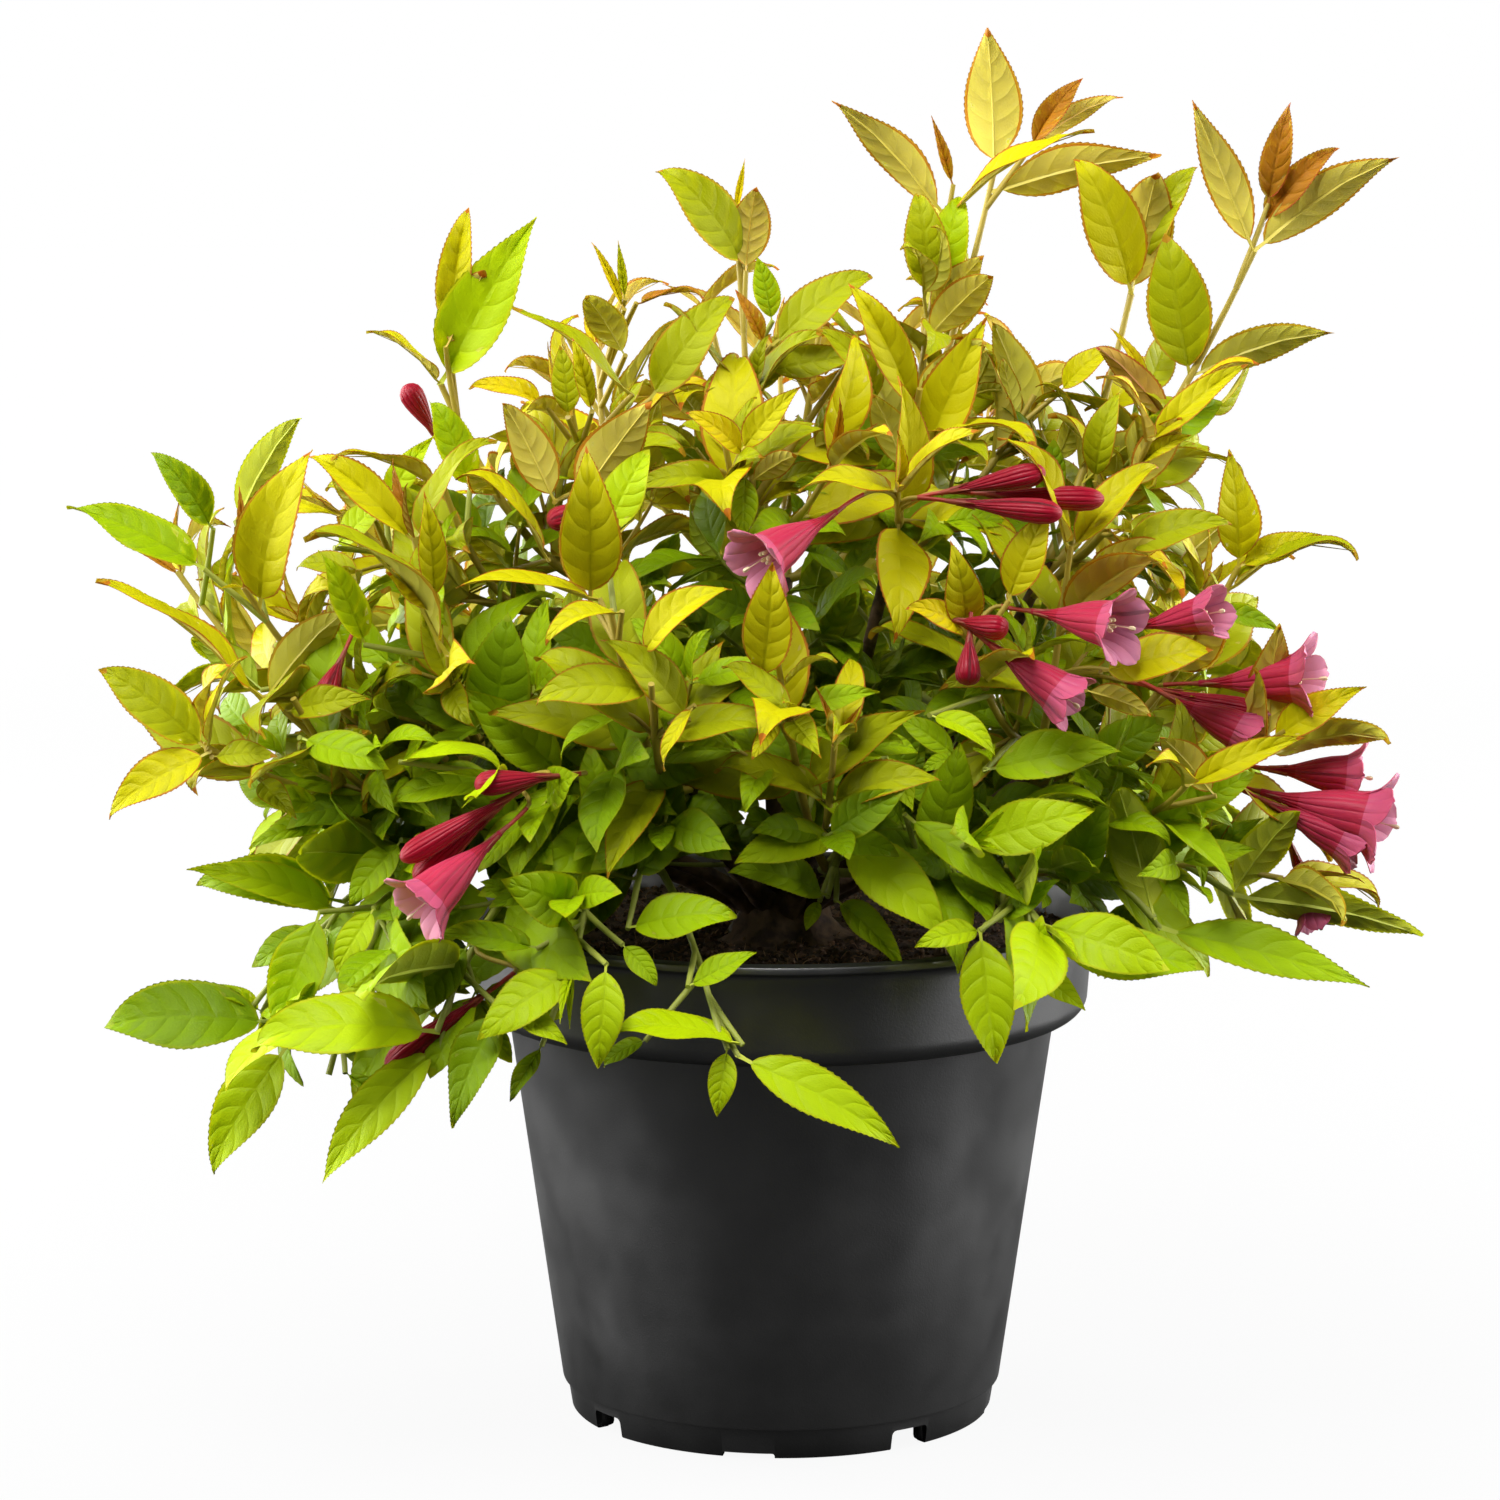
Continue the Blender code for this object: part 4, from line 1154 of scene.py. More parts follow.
# For each mass its bough, then azimuth, reach, height, bend, spin, leaf length and dress of each shoot
SHOOT_ROWS = {
    ("left_crest", "left_high"): ((-170, 118, 362, -16, 10, 58, CREST),),
    ("left_shoulder", "left_high"): (
        (-172, 152, 318, -14, 70, 50, SUNNY), (-160, 122, 330, -10, 20, 48, FLANK),
    ),
    ("top_left", "left_high"): ((166, 66, 372, -6, 60, 52, CREST), (-160, 76, 352, -6, 0, 50, SUNNY)),
    ("left_rosette", "left"): ((-159, 192, 298, -20, 40, 56, CREST), (-174, 208, 298, -14, 90, 58, SUNNY)),
    ("left_tip", "left"): ((-159, 207, 246, -14, 20, 56, SUNNY), (-150, 186, 264, -12, 80, 50, FLANK)),
    ("left_olive", "left"): ((-142, 146, 288, -14, 60, 56, SUNNY), (-153, 138, 314, -12, 10, 52, FLANK)),
    ("left_arch", "left_low"): ((-158, 160, 190, 14, 90, 56, SKIRT),),
    ("left_low", "left_low"): ((-158, 196, 152, 26, 90, 60, SHADE), (-148, 178, 138, 26, 70, 56, SKIRT)),
    ("left_lime", "left_low"): ((-133, 166, 158, 20, 90, 62, SKIRT),),
    ("rim_left", "left_low"): ((-119, 142, 178, 14, 90, 44, SKIRT),),
    ("trail", "left_low"): ((-99, 134, 160, 20, 90, 50, SKIRT),),
    ("front_low_left", "front_left"): ((-116, 112, 198, 6, 80, 46, SKIRT),),
    ("front_left", "front_left"): (
        (-116, 128, 296, -18, 80, 54, SUNNY), (-108, 138, 274, -10, 20, 52, FLANK),
    ),
    ("flower_left", "front_left"): ((-132, 140, 238, 4, 80, 42, SKIRT),),
    ("front_centre", "front"): ((-91, 120, 280, -18, 70, 52, SUNNY), (-82, 118, 252, -8, 10, 46, FLANK)),
    ("front_tuft", "front"): ((-79, 96, 218, -4, 90, 44, SKIRT),),
    ("front_right", "front"): ((-60, 122, 218, -4, 90, 46, SKIRT),),
    ("centre_top", "centre"): ((-110, 60, 350, -6, 80, 54, SUNNY), (-76, 66, 338, -6, 20, 54, SUNNY)),
    ("centre_crest", "centre"): ((172, 14, 392, 0, 75, 48, CREST), (-30, 30, 374, 0, 90, 52, CREST)),
    ("under_tall", "tall"): ((-42, 62, 362, -6, 40, 54, SUNNY), (-66, 92, 332, -10, 90, 52, SUNNY)),
    ("tall", "tall"): ((4, 56, 418, -2, 80, 56, CREST), (22, 80, 433, -10, 0, 58, CREST)),
    ("right_fill", "tall"): ((6, 88, 356, -8, 60, 52, SUNNY),),
    ("right_crest", "right_high"): ((9, 123, 390, -8, 80, 52, CREST),),
    ("right_top", "right_high"): ((0, 162, 406, -12, 0, 58, CREST),),
    ("right_shoulder", "right_high"): (
        (-10, 140, 362, -10, 10, 54, CREST), (-24, 134, 346, -8, 90, 48, CREST),
    ),
    ("right_centre", "right"): ((-36, 118, 312, -16, 60, 54, SUNNY), (-57, 108, 290, -12, 20, 48, SUNNY)),
    ("right_rosette", "right"): ((-16, 160, 302, -18, 20, 54, CREST),),
    ("right_mid", "right"): ((-23, 182, 250, -12, 60, 54, SUNNY), (-36, 164, 236, -8, 90, 46, FLANK)),
    ("right_low", "right_low"): ((-23, 182, 200, 6, 90, 58, FLANK), (-36, 152, 190, 6, 90, 54, SKIRT)),
    ("rim_right", "right_low"): ((-54, 144, 192, 6, 90, 54, SKIRT),),
}
SHOOTS = tuple(
    ShootPlan(mass, f"bough_{bough}", *row) for (mass, bough), rows in SHOOT_ROWS.items() for row in rows
)


@dataclass(frozen=True)
class Tier:
    """One tier of the crown's far side: shoots spread round the back boughs."""

    name: str
    reach: float
    height: float
    bend: float
    dress: Dress
    places: tuple[tuple[str, float], ...]
    sway: float = 8.0
    forks: tuple[tuple[float, ...], ...] = ((20, -14, 26, 50), (-16, -34, 34, 46))

    def shoots(self) -> list[ShootPlan]:
        """The tier's shoots, each with two forks.

        Returns:
            The shoots' plans.
        """
        made = []
        for index, (bough, azimuth) in enumerate(self.places, start=1):
            sway = self.sway * sin(2.1 * index)
            rows = [(0, 0, 0, 50 * index, 54)] + [(*fork[:3], 90, fork[3]) for fork in self.forks]
            for turn, draw, rise, spin, leaf in rows:
                reach, height = self.reach + sway + draw, self.height - sway + rise
                mass = f"{self.name}_{index}"
                ends = (azimuth + turn, reach, height)
                made.append(ShootPlan(mass, bough, *ends, self.bend, spin, leaf, self.dress))
        return made


RIGHT, LEFT, MIDDLE = "bough_back_right", "bough_back_left", "bough_back"
LOW_PLACES = ((RIGHT, 24), (RIGHT, 60), (LEFT, 118), (LEFT, 158))
MID_PLACES = ((RIGHT, 14), (RIGHT, 52), (LEFT, 132), (LEFT, 170))
TOP_PLACES = ((MIDDLE, 44), (MIDDLE, 90), (MIDDLE, 134))
TIERS = (
    Tier("back_low", 158, 196, 10, Dress.SKIRT, LOW_PLACES),
    Tier("back_mid", 172, 262, -14, Dress.SUNNY, MID_PLACES),
    Tier("back_top", 98, 350, -10, Dress.CREST, TOP_PLACES),
)

REGIONS = {
    "left": ("left_", "top_left", "rim_left"), "front": ("front_", "trail", "flower_left"),
    "top": ("centre_", "tall", "under_tall", "right_fill"), "right": ("right_", "rim_right"),
    "back_low": ("back_low",), "back_high": ("back_mid", "back_top"),
}


def region_of(mass: str) -> str:
    """The region of the crown that a mass belongs to."""
    return next(region for region, starts in REGIONS.items() if mass.startswith(starts))


def place_of(azimuth: float, reach: float, height: float) -> Vector:
    """A point from its azimuth in degrees and its reach and height in millimetres."""
    angle = radians(azimuth)
    return Vector((reach * cos(angle), reach * sin(angle), height)) * MM


def arc(foot: Vector, tip: Vector, bend: float, count: int, sideways: float = 0.0) -> Way:
    """Points along a limb that bends up or down, and sideways, by its middle.

    Args:
        foot: Where it starts.
        tip: Where it ends.
        bend: The rise of its middle in millimetres.
        count: How many points it has.
        sideways: The middle's shift across, in metres.

    Returns:
        The points.
    """
    across = (tip - foot).cross(UP)
    if across.length > 0:
        across.normalize()
    middle = (foot + tip) / 2 + UP * (2 * bend * MM) + across * sideways
    shares = [index / (count - 1) for index in range(count)]
    return [foot * (1 - s) ** 2 + middle * (2 * s * (1 - s)) + tip * s * s for s in shares]


def way_length(way: Way) -> float:
    """The length of a way."""
    return sum((after - before).length for before, after in zip(way, way[1:]))


def from_tip(way: Way, distance: float) -> tuple[Vector, Vector]:
    """The place and direction at a distance back from a limb's tip.

    Args:
        way: The limb's way.
        distance: How far back from its tip.

    Returns:
        The place and the direction there.
    """
    left = distance
    for after, before in zip(reversed(way), list(reversed(way))[1:]):
        step = after - before
        if left <= step.length:
            return after - step.normalized() * left, step.normalized()
        left -= step.length
    return way[0].copy(), (way[1] - way[0]).normalized()


def spread(along: Vector, azimuth: float, angle: float) -> Vector:
    """A direction at an angle to the stem, its azimuth counted from the stem's lean.

    Args:
        along: The stem's direction.
        azimuth: The turn round the stem.
        angle: The angle off the stem.

    Returns:
        The direction.
    """
    side = along.cross(UP if abs(along.z) < 0.98 else Vector((0, 1, 0))).normalized()
    over = side.cross(along).normalized()
    level = 1.0 - max(0.0, along.z)
    out = over * (-cos(azimuth) * (1.0 - 0.65 * level)) + side * sin(azimuth)
    return (along * cos(angle) + out.normalized() * sin(angle)).normalized()


def upper_side(place: Vector, along: Vector, direction: Vector) -> Vector:
    """The way a leaf's upper face looks: up, outward and towards the stem's tip.

    Args:
        place: The leaf's place.
        along: The stem's direction.
        direction: The leaf's direction.

    Returns:
        The upper face's normal.
    """
    outward_way = Vector((place.x, place.y, 0.0)).normalized()
    wish = along * 0.35 + UP * 0.50 + outward_way * 0.60
    normal = wish - direction * wish.dot(direction)
    if normal.length < 0.05:
        normal = direction.orthogonal()
    return normal.normalized()


# Leaves that the photograph shows best


class Face(Enum):
    """Which side of a leaf shows: how far its upper face looks at the eye, and up."""

    UPPER = (0.85, 0.60)
    LEVEL = (0.25, 1.00)
    UNDER = (-1.00, 0.60)


@dataclass(frozen=True)
class SeenLeaf:
    """A leaf by its base and tip in the photograph's 1500 by 1500 points, and its depth in millimetres."""

    base: Span
    tip: Span
    depth: float
    nearer: float
    tone: Tone
    face: Face = Face.UPPER
    kind: LeafKind = LeafKind.BLADE


@dataclass(frozen=True)
class Lens:
    """Turns the photograph's points into places at a depth behind the pot's axis plane."""

    eye: Vector = field(default_factory=lambda: Vector((-0.011, -1.68, 0.484)))
    aim: Vector = field(default_factory=lambda: Vector((-0.011, 0.0, 0.233)))
    reach: float = 4875.0
    middle: float = 750.0

    def place(self, point: Span, depth: float) -> Vector:
        """The place at a point of the photograph and a depth in millimetres.

        Args:
            point: The point in pixels.
            depth: How far it lies in front of the plant.

        Returns:
            The place in metres.
        """
        ahead = (self.aim - self.eye).normalized()
        right = ahead.cross(UP).normalized()
        over = right.cross(ahead)
        ray = ahead * self.reach + right * (point[0] - self.middle) - over * (point[1] - self.middle)
        return self.eye + ray * ((depth * MM - self.eye.y) / ray.y)

    def point(self, place: Vector) -> Span:
        """The photograph's point at which a place is seen.

        Args:
            place: The place in metres.

        Returns:
            The point in pixels.
        """
        ahead = (self.aim - self.eye).normalized()
        right = ahead.cross(UP).normalized()
        over = right.cross(ahead)
        way = place - self.eye
        share = self.reach / way.dot(ahead)
        return self.middle + way.dot(right) * share, self.middle - way.dot(over) * share


DEEP, GREEN, FRESH, LIME, OLIVE, GOLD, AMBER, BRONZE = Tone
UPPER, LEVEL, UNDER = Face
BLADE, BROAD, YOUNG, SPEAR, SMALL, SLIM = LeafKind

# For each leaf its base and tip in the photograph's points, its depth and how much deeper its tip lies
SEEN_ROWS = (
    # Left
    (205, 570, 66, 507, -70, -4, FRESH), (213, 530, 151, 453, -40, -6, GREEN),
    (262, 698, 95, 583, -74, -14, GOLD, LEVEL, SLIM), (236, 522, 302, 418, -50, 0, LIME, UNDER, YOUNG),
    (250, 606, 313, 450, -68, -10, GOLD), (245, 590, 239, 485, -70, -2, BRONZE, UPPER, SPEAR),
    (247, 590, 218, 590, -72, -6, AMBER, UPPER, SPEAR), (264, 700, 343, 616, -74, -6, OLIVE, UNDER),
    (262, 690, 195, 642, -66, 8, GREEN, UNDER, SMALL), (207, 750, 98, 670, -90, 0, OLIVE, UPPER, BROAD),
    (210, 752, 109, 820, -92, -8, GOLD), (207, 748, 248, 657, -92, -6, GOLD, LEVEL, YOUNG),
    (212, 757, 278, 757, -92, -6, OLIVE, UPPER, SMALL), (448, 655, 305, 543, -92, -18, OLIVE, LEVEL),
    (365, 645, 318, 550, -86, -6, LIME), (435, 602, 424, 490, -92, -8, GOLD, UPPER, YOUNG),
    (435, 612, 385, 572, -94, -6, AMBER, UPPER, SMALL), (375, 520, 325, 460, -30, -4, OLIVE, UNDER),
    (385, 500, 434, 436, -20, -4, LIME), (335, 548, 388, 497, -34, -6, LIME, UPPER, BROAD),
    (470, 490, 430, 403, -30, 0, FRESH), (548, 560, 455, 480, -60, -8, GOLD, LEVEL),
    (600, 600, 455, 588, -104, -12, GOLD, LEVEL, SLIM), (490, 745, 508, 612, -70, -6, GREEN, UPPER, BROAD),
    (300, 738, 390, 770, -96, -8, FRESH, UPPER, BROAD), (285, 712, 372, 700, -84, -8, OLIVE),
    (400, 762, 500, 772, -104, -8, LIME, LEVEL),
    # Lower left
    (272, 1022, 104, 1028, -74, -6, GREEN, UPPER, BROAD),
    (320, 912, 278, 1034, -88, -10, FRESH, UPPER, BROAD), (287, 1046, 214, 1175, -90, -6, LIME),
    (262, 1012, 205, 992, -70, 0, FRESH), (438, 1043, 256, 1053, -120, -8, LIME),
    (440, 1046, 322, 1184, -120, -10, LIME, UPPER, SLIM), (500, 1008, 454, 1128, -124, -8, GREEN),
    (345, 1072, 395, 1113, -100, 0, GREEN, UPPER, YOUNG),
    (508, 1005, 567, 1045, -128, -8, LIME, UPPER, BROAD),
    (542, 1045, 510, 1102, -122, -4, GREEN, UPPER, YOUNG), (345, 908, 186, 870, -70, -6, LIME, UPPER, SLIM),
    (335, 906, 197, 886, -62, 0, FRESH), (330, 822, 250, 850, -66, -4, FRESH),
    (335, 838, 330, 892, -60, -4, FRESH, UPPER, SMALL), (402, 840, 350, 905, -84, -6, FRESH, UPPER, BROAD),
    (374, 908, 336, 973, -90, -6, LIME, UPPER, BROAD), (391, 957, 340, 1012, -94, -4, LIME, UPPER, BROAD),
    (470, 944, 415, 1018, -110, -4, GREEN, UPPER, BROAD), (538, 948, 432, 934, -116, -6, GREEN),
    (325, 805, 252, 800, -66, -4, FRESH, UPPER, SMALL), (535, 905, 480, 882, -96, -4, GREEN, UPPER, BROAD),
    (606, 964, 598, 1068, -134, -6, LIME, UPPER, BROAD),
    # Top left
    (442, 378, 366, 331, -22, -10, GOLD, LEVEL), (446, 376, 537, 217, -20, -4, LIME),
    (446, 348, 485, 270, -26, -6, AMBER, UNDER, SMALL), (448, 336, 469, 207, -20, 0, GOLD, UPPER, YOUNG),
    (632, 395, 512, 307, -26, -8, OLIVE, LEVEL, SLIM), (624, 310, 591, 242, -10, 0, AMBER, UPPER, SPEAR),
    (625, 300, 618, 240, -10, 0, OLIVE, UPPER, SPEAR), (625, 356, 585, 297, -12, -12, OLIVE, UNDER, BROAD),
    (650, 400, 735, 299, -20, -2, OLIVE), (636, 304, 705, 300, -8, 0, BRONZE, LEVEL, YOUNG),
    (738, 402, 664, 303, -20, -6, OLIVE, LEVEL), (745, 268, 655, 172, 2, -6, OLIVE),
    (746, 272, 757, 187, 0, -8, AMBER, UNDER, BROAD), (735, 215, 745, 158, 4, 0, AMBER, UPPER, SPEAR),
    (772, 322, 757, 257, -8, 0, FRESH, UPPER, BROAD), (765, 345, 735, 290, -14, 0, BRONZE, UPPER, YOUNG),
    (772, 346, 873, 278, -14, -2, OLIVE), (765, 372, 870, 356, -16, -4, OLIVE),
    (545, 405, 470, 390, -40, -6, AMBER), (555, 502, 502, 403, -62, -8, GOLD, UNDER),
    (592, 412, 572, 337, -50, -4, GOLD, UPPER, YOUNG), (568, 418, 560, 345, -44, 0, OLIVE, UPPER, BROAD),
    (575, 506, 652, 402, -66, -6, GOLD, UNDER, BROAD), (590, 602, 586, 445, -100, -8, GOLD),
    (605, 536, 650, 450, -90, 0, LIME, UPPER, BROAD), (745, 456, 685, 413, -60, -6, AMBER),
    (740, 452, 802, 386, -60, -4, GOLD), (750, 482, 797, 455, -66, -8, GOLD, UNDER, SMALL),
    (745, 474, 743, 537, -70, -4, FRESH, UPPER, BROAD), (880, 402, 817, 332, -40, -4, OLIVE),
    # Top
    (943, 215, 832, 102, 6, -10, GOLD, UNDER, SLIM), (953, 186, 931, 115, 6, 0, BRONZE, UPPER, SPEAR),
    (948, 215, 1095, 133, 6, -14, GOLD, LEVEL, SLIM), (990, 190, 1162, 155, 26, -4, GOLD, UNDER, SLIM),
    (1004, 180, 987, 28, 30, 4, GOLD, UNDER, BROAD), (1030, 148, 1083, 78, 30, 0, BRONZE, UPPER, YOUNG),
    (1030, 148, 1123, 98, 30, -2, AMBER, UNDER, YOUNG), (930, 300, 918, 195, 4, 0, OLIVE),
    (927, 296, 962, 198, 6, 2, LIME), (935, 328, 984, 256, 0, -8, GOLD, UNDER, BROAD),
    (933, 330, 993, 276, -2, -12, GOLD, UNDER, BROAD), (922, 462, 988, 315, -30, -6, GOLD),
    (912, 402, 986, 345, -36, -8, OLIVE, UNDER), (908, 405, 848, 283, -34, -6, GOLD, UPPER, YOUNG),
    (900, 440, 840, 340, -40, -4, OLIVE, UNDER), (905, 472, 872, 395, -50, -10, OLIVE, UNDER, BROAD),
    (1035, 432, 992, 322, 10, -4, OLIVE, UNDER), (1025, 422, 1003, 360, 6, 0, OLIVE, UNDER),
    (1060, 392, 1117, 352, 10, -2, GOLD), (1086, 472, 1035, 387, 0, -10, OLIVE, LEVEL),
    # Top right
    (1130, 285, 1073, 159, 18, -2, GOLD), (1130, 286, 1157, 173, 16, -8, GOLD, UNDER, BROAD),
    (1135, 270, 1198, 167, 22, 4, OLIVE, UPPER, YOUNG), (1186, 376, 1165, 233, 2, -4, OLIVE, UPPER, BROAD),
    (1243, 246, 1192, 100, 0, -6, GOLD, UNDER, SLIM), (1268, 205, 1291, 102, 2, 0, BRONZE, UPPER, YOUNG),
    (1250, 245, 1400, 157, 0, -8, GOLD, UNDER, SLIM), (1262, 224, 1340, 148, 4, 0, BRONZE, UPPER, YOUNG),
    (1195, 382, 1335, 333, 0, -10, OLIVE, UNDER, SLIM),
    (1165, 416, 1260, 364, -22, -6, AMBER, LEVEL, YOUNG),
    (1158, 426, 1095, 348, -24, -6, BRONZE, UNDER, YOUNG),
    (1150, 384, 1110, 328, -10, 0, AMBER, UPPER, SPEAR),
    (1132, 490, 1182, 418, -50, -8, GOLD, UNDER, BROAD),
    (1150, 470, 1192, 435, -52, -2, GOLD, UPPER, YOUNG), (1095, 482, 1120, 392, -40, 0, OLIVE),
    (1230, 562, 1228, 450, -42, -2, GOLD), (1232, 602, 1357, 561, -46, -6, OLIVE, LEVEL),
    (1235, 570, 1322, 535, -42, 0, GOLD), (1120, 548, 1233, 525, -60, -4, OLIVE),
    (1085, 578, 1165, 550, -66, -4, GOLD, UNDER), (1008, 602, 1050, 512, -84, -4, GOLD, UPPER, BROAD),
    # Right
    (965, 632, 950, 540, -90, -6, GOLD), (960, 637, 905, 610, -92, -6, AMBER),
    (1210, 612, 1277, 632, -54, -4, GREEN), (1265, 752, 1281, 625, -70, -6, GOLD, UNDER),
    (1268, 738, 1367, 687, -68, -6, GOLD), (1265, 757, 1388, 745, -72, -10, OLIVE, UNDER),
    (1100, 672, 1214, 650, -90, -6, GOLD, UPPER, BROAD),
    (1085, 690, 1150, 717, -96, -8, GOLD, UNDER, BROAD),
    (1215, 796, 1160, 737, -90, -8, GOLD, UNDER, BROAD),
    (1185, 872, 1264, 818, -62, -4, GREEN, UPPER, BROAD),
    (1232, 893, 1300, 812, -72, -8, LIME, UNDER, BROAD),
    (1232, 895, 1422, 937, -72, -16, LIME, UNDER, SLIM),
    (1160, 928, 1370, 988, -86, -10, FRESH, UPPER, SLIM), (1150, 922, 1118, 790, -88, -6, LIME, UNDER),
    (1060, 955, 1204, 970, -110, -8, FRESH, UPPER, BROAD),
    (1035, 970, 1042, 915, -114, -6, LIME, UPPER, SMALL),
    (1030, 966, 1085, 1011, -114, -10, LIME, UPPER, BROAD),
    (980, 930, 996, 1063, -118, -8, LIME, UPPER, BROAD), (982, 930, 915, 948, -116, -8, LIME, UPPER, BROAD),
    (850, 842, 943, 936, -96, -14, LIME, UPPER, BROAD), (842, 838, 735, 864, -96, -14, LIME, UPPER, BROAD),
    (1000, 820, 1116, 818, -96, -8, FRESH, LEVEL), (905, 815, 1030, 908, -94, -14, FRESH, UPPER, SLIM),
    (1070, 890, 1110, 800, -84, -4, GREEN, UPPER, BROAD), (985, 770, 1122, 752, -92, -6, FRESH),
    (930, 715, 995, 757, -104, -8, LIME), (1000, 920, 1060, 880, -104, -4, GREEN, UPPER, BROAD),
    # Front
    (828, 896, 728, 873, -88, -12, FRESH), (836, 900, 904, 973, -88, -14, FRESH),
    (820, 900, 806, 931, -88, -6, FRESH, UPPER, SMALL),
    (628, 928, 737, 918, -112, -10, FRESH, UPPER, BROAD),
    (622, 944, 656, 986, -122, -4, FRESH, UPPER, BROAD),
    (688, 986, 757, 953, -128, -4, FRESH, UPPER, BROAD),
    (742, 1044, 612, 1036, -134, -4, LIME, LEVEL, BROAD),
    (727, 1048, 717, 1116, -134, -4, LIME, UPPER, BROAD),
    (738, 1056, 900, 1148, -134, -4, LIME, UPPER, SLIM), (646, 1040, 605, 1067, -128, -2, GREEN),
    (826, 750, 794, 786, -80, -6, GREEN, UPPER, BROAD), (886, 757, 827, 755, -90, -10, LIME, UPPER, BROAD),
    (886, 754, 913, 812, -90, -10, LIME, UPPER, BROAD), (856, 827, 803, 793, -94, -8, LIME),
    (694, 706, 664, 772, -124, -8, GOLD, LEVEL, YOUNG), (780, 722, 752, 760, -124, -8, GOLD, LEVEL, BROAD),
    (762, 682, 773, 562, -118, -8, GOLD, UPPER, BROAD), (776, 682, 838, 662, -120, -8, OLIVE, LEVEL, YOUNG),
    (622, 612, 546, 646, -120, -12, GOLD, LEVEL), (640, 657, 732, 590, -122, -6, GOLD),
    (655, 692, 536, 706, -122, -8, OLIVE), (804, 706, 880, 692, -112, -8, FRESH),
    (690, 720, 600, 640, -118, -4, OLIVE),
)
SEEN_LEAVES = tuple(SeenLeaf(row[0:2], row[2:4], *row[4:]) for row in SEEN_ROWS)


@dataclass(frozen=True)
class Skyline:
    """The crown's outline in the photograph's points, with the soil in front left open."""

    points: tuple[Span, ...] = (
        (520, 1075), (430, 1120), (330, 1110), (235, 1120), (165, 1040), (215, 950), (235, 905), (205, 870),
        (290, 845), (250, 815), (215, 800), (150, 775), (130, 700), (190, 650), (140, 590), (120, 540),
        (190, 530), (175, 470), (250, 500), (300, 450), (345, 470), (400, 430), (430, 470), (465, 470),
        (485, 400), (520, 335), (590, 300), (640, 275), (705, 295), (735, 260), (735, 190), (765, 190),
        (800, 285), (860, 285), (862, 335), (895, 340), (892, 210), (925, 185), (965, 200), (990, 250),
        (1000, 330), (1050, 365), (1095, 355), (1105, 230), (1125, 175), (1170, 180), (1190, 240),
        (1205, 320), (1250, 305), (1330, 335), (1255, 385), (1215, 425), (1255, 470), (1262, 525),
        (1345, 565), (1262, 620), (1295, 650), (1365, 690), (1385, 745), (1310, 775), (1330, 850),
        (1400, 930), (1350, 975), (1200, 985), (1130, 965), (1090, 1010), (1040, 1010), (1000, 1060),
        (950, 965), (900, 872), (850, 862), (650, 866), (618, 905), (605, 1040),
    )
    lens: Lens = field(default_factory=Lens)

    def holds(self, place: Vector) -> bool:
        """Whether a place is seen inside the outline.

        Args:
            place: The place in metres.

        Returns:
            Whether leaves may grow there.
        """
        x, y = self.lens.point(place)
        inside = False
        for (x0, y0), (x1, y1) in zip(self.points, self.points[1:] + self.points[:1]):
            if (y0 > y) != (y1 > y) and x < x0 + (y - y0) / (y1 - y0) * (x1 - x0):
                inside = not inside
        return inside


class Room:
    """Where leaves already grow, so that the next ones keep clear of them."""

    CELL = 45 * MM
    MIDDLE = 4
    REACH = 0.55
    POT_TOP, POT_RADIUS = 181.0, 117.0
    SOIL_TOP, SOIL_RADIUS = 171.0, 103.0

    def __init__(self) -> None:
        """Start empty."""
        self.cells: dict[tuple[int, int, int], list[tuple[Vector, float, BVHTree]]] = {}

    @staticmethod
    def shape(root: Vector, direction: Vector, normal: Vector, length: float) -> list[Vector]:
        """A leaf's outline, folded and arched, from a little past its petiole.

        Args:
            root: The leaf's foot.
            direction: Its direction.
            normal: Its upper face's normal.
            length: Its length.

        Returns:
            The outline's four corners and its middle.
        """
        side = direction.cross(normal).normalized()
        middle = root + direction * (0.45 * length)
        tip = root + direction * (0.96 * length) - normal * (0.20 * length)
        wide = side * (0.17 * length)
        lift = normal * (0.05 * length)
        return [root + direction * (0.12 * length), middle + wide + lift, middle - wide + lift, tip, middle]

    @staticmethod
    def tree(corners: list[Vector]) -> BVHTree:
        """A search tree over an outline."""
        return BVHTree.FromPolygons(corners, [(0, 1, 4), (0, 4, 2), (1, 3, 4), (2, 4, 3)])

    def near(self, place: Vector) -> Iterable[tuple[Vector, float, BVHTree]]:
        """What grows in the cells round a place.

        Args:
            place: The place in metres.

        Returns:
            The middle, size and search tree of each leaf nearby.
        """
        at = [floor(value / self.CELL) for value in place]
        for x in (-1, 0, 1):
            for y in (-1, 0, 1):
                for z in (-1, 0, 1):
                    yield from self.cells.get((at[0] + x, at[1] + y, at[2] + z), ())

    def clear(self, corners: list[Vector], length: float) -> bool:
        """Whether an outline crosses nothing that grows already, nor the pot.

        Args:
            corners: The outline's corners.
            length: The leaf's length.

        Returns:
            Whether the leaf has room.
        """
        for corner in corners:
            radius = hypot(corner.x, corner.y) / MM
            high = corner.z / MM
            over_soil = high > self.SOIL_TOP and radius < self.SOIL_RADIUS
            if high < self.POT_TOP and radius < self.POT_RADIUS and not over_soil:
                return False
        tree, middle = self.tree(corners), corners[self.MIDDLE]
        for place, size, other in self.near(middle):
            if (place - middle).length < self.REACH * (size + length) and tree.overlap(other):
                return False
        return True

    def add(self, corners: list[Vector], length: float) -> None:
        """Keep an outline's place.

        Args:
            corners: The outline's corners.
            length: The leaf's length.
        """
        middle = corners[self.MIDDLE]
        at = tuple(floor(value / self.CELL) for value in middle)
        self.cells.setdefault(at, []).append((middle, length, self.tree(corners)))


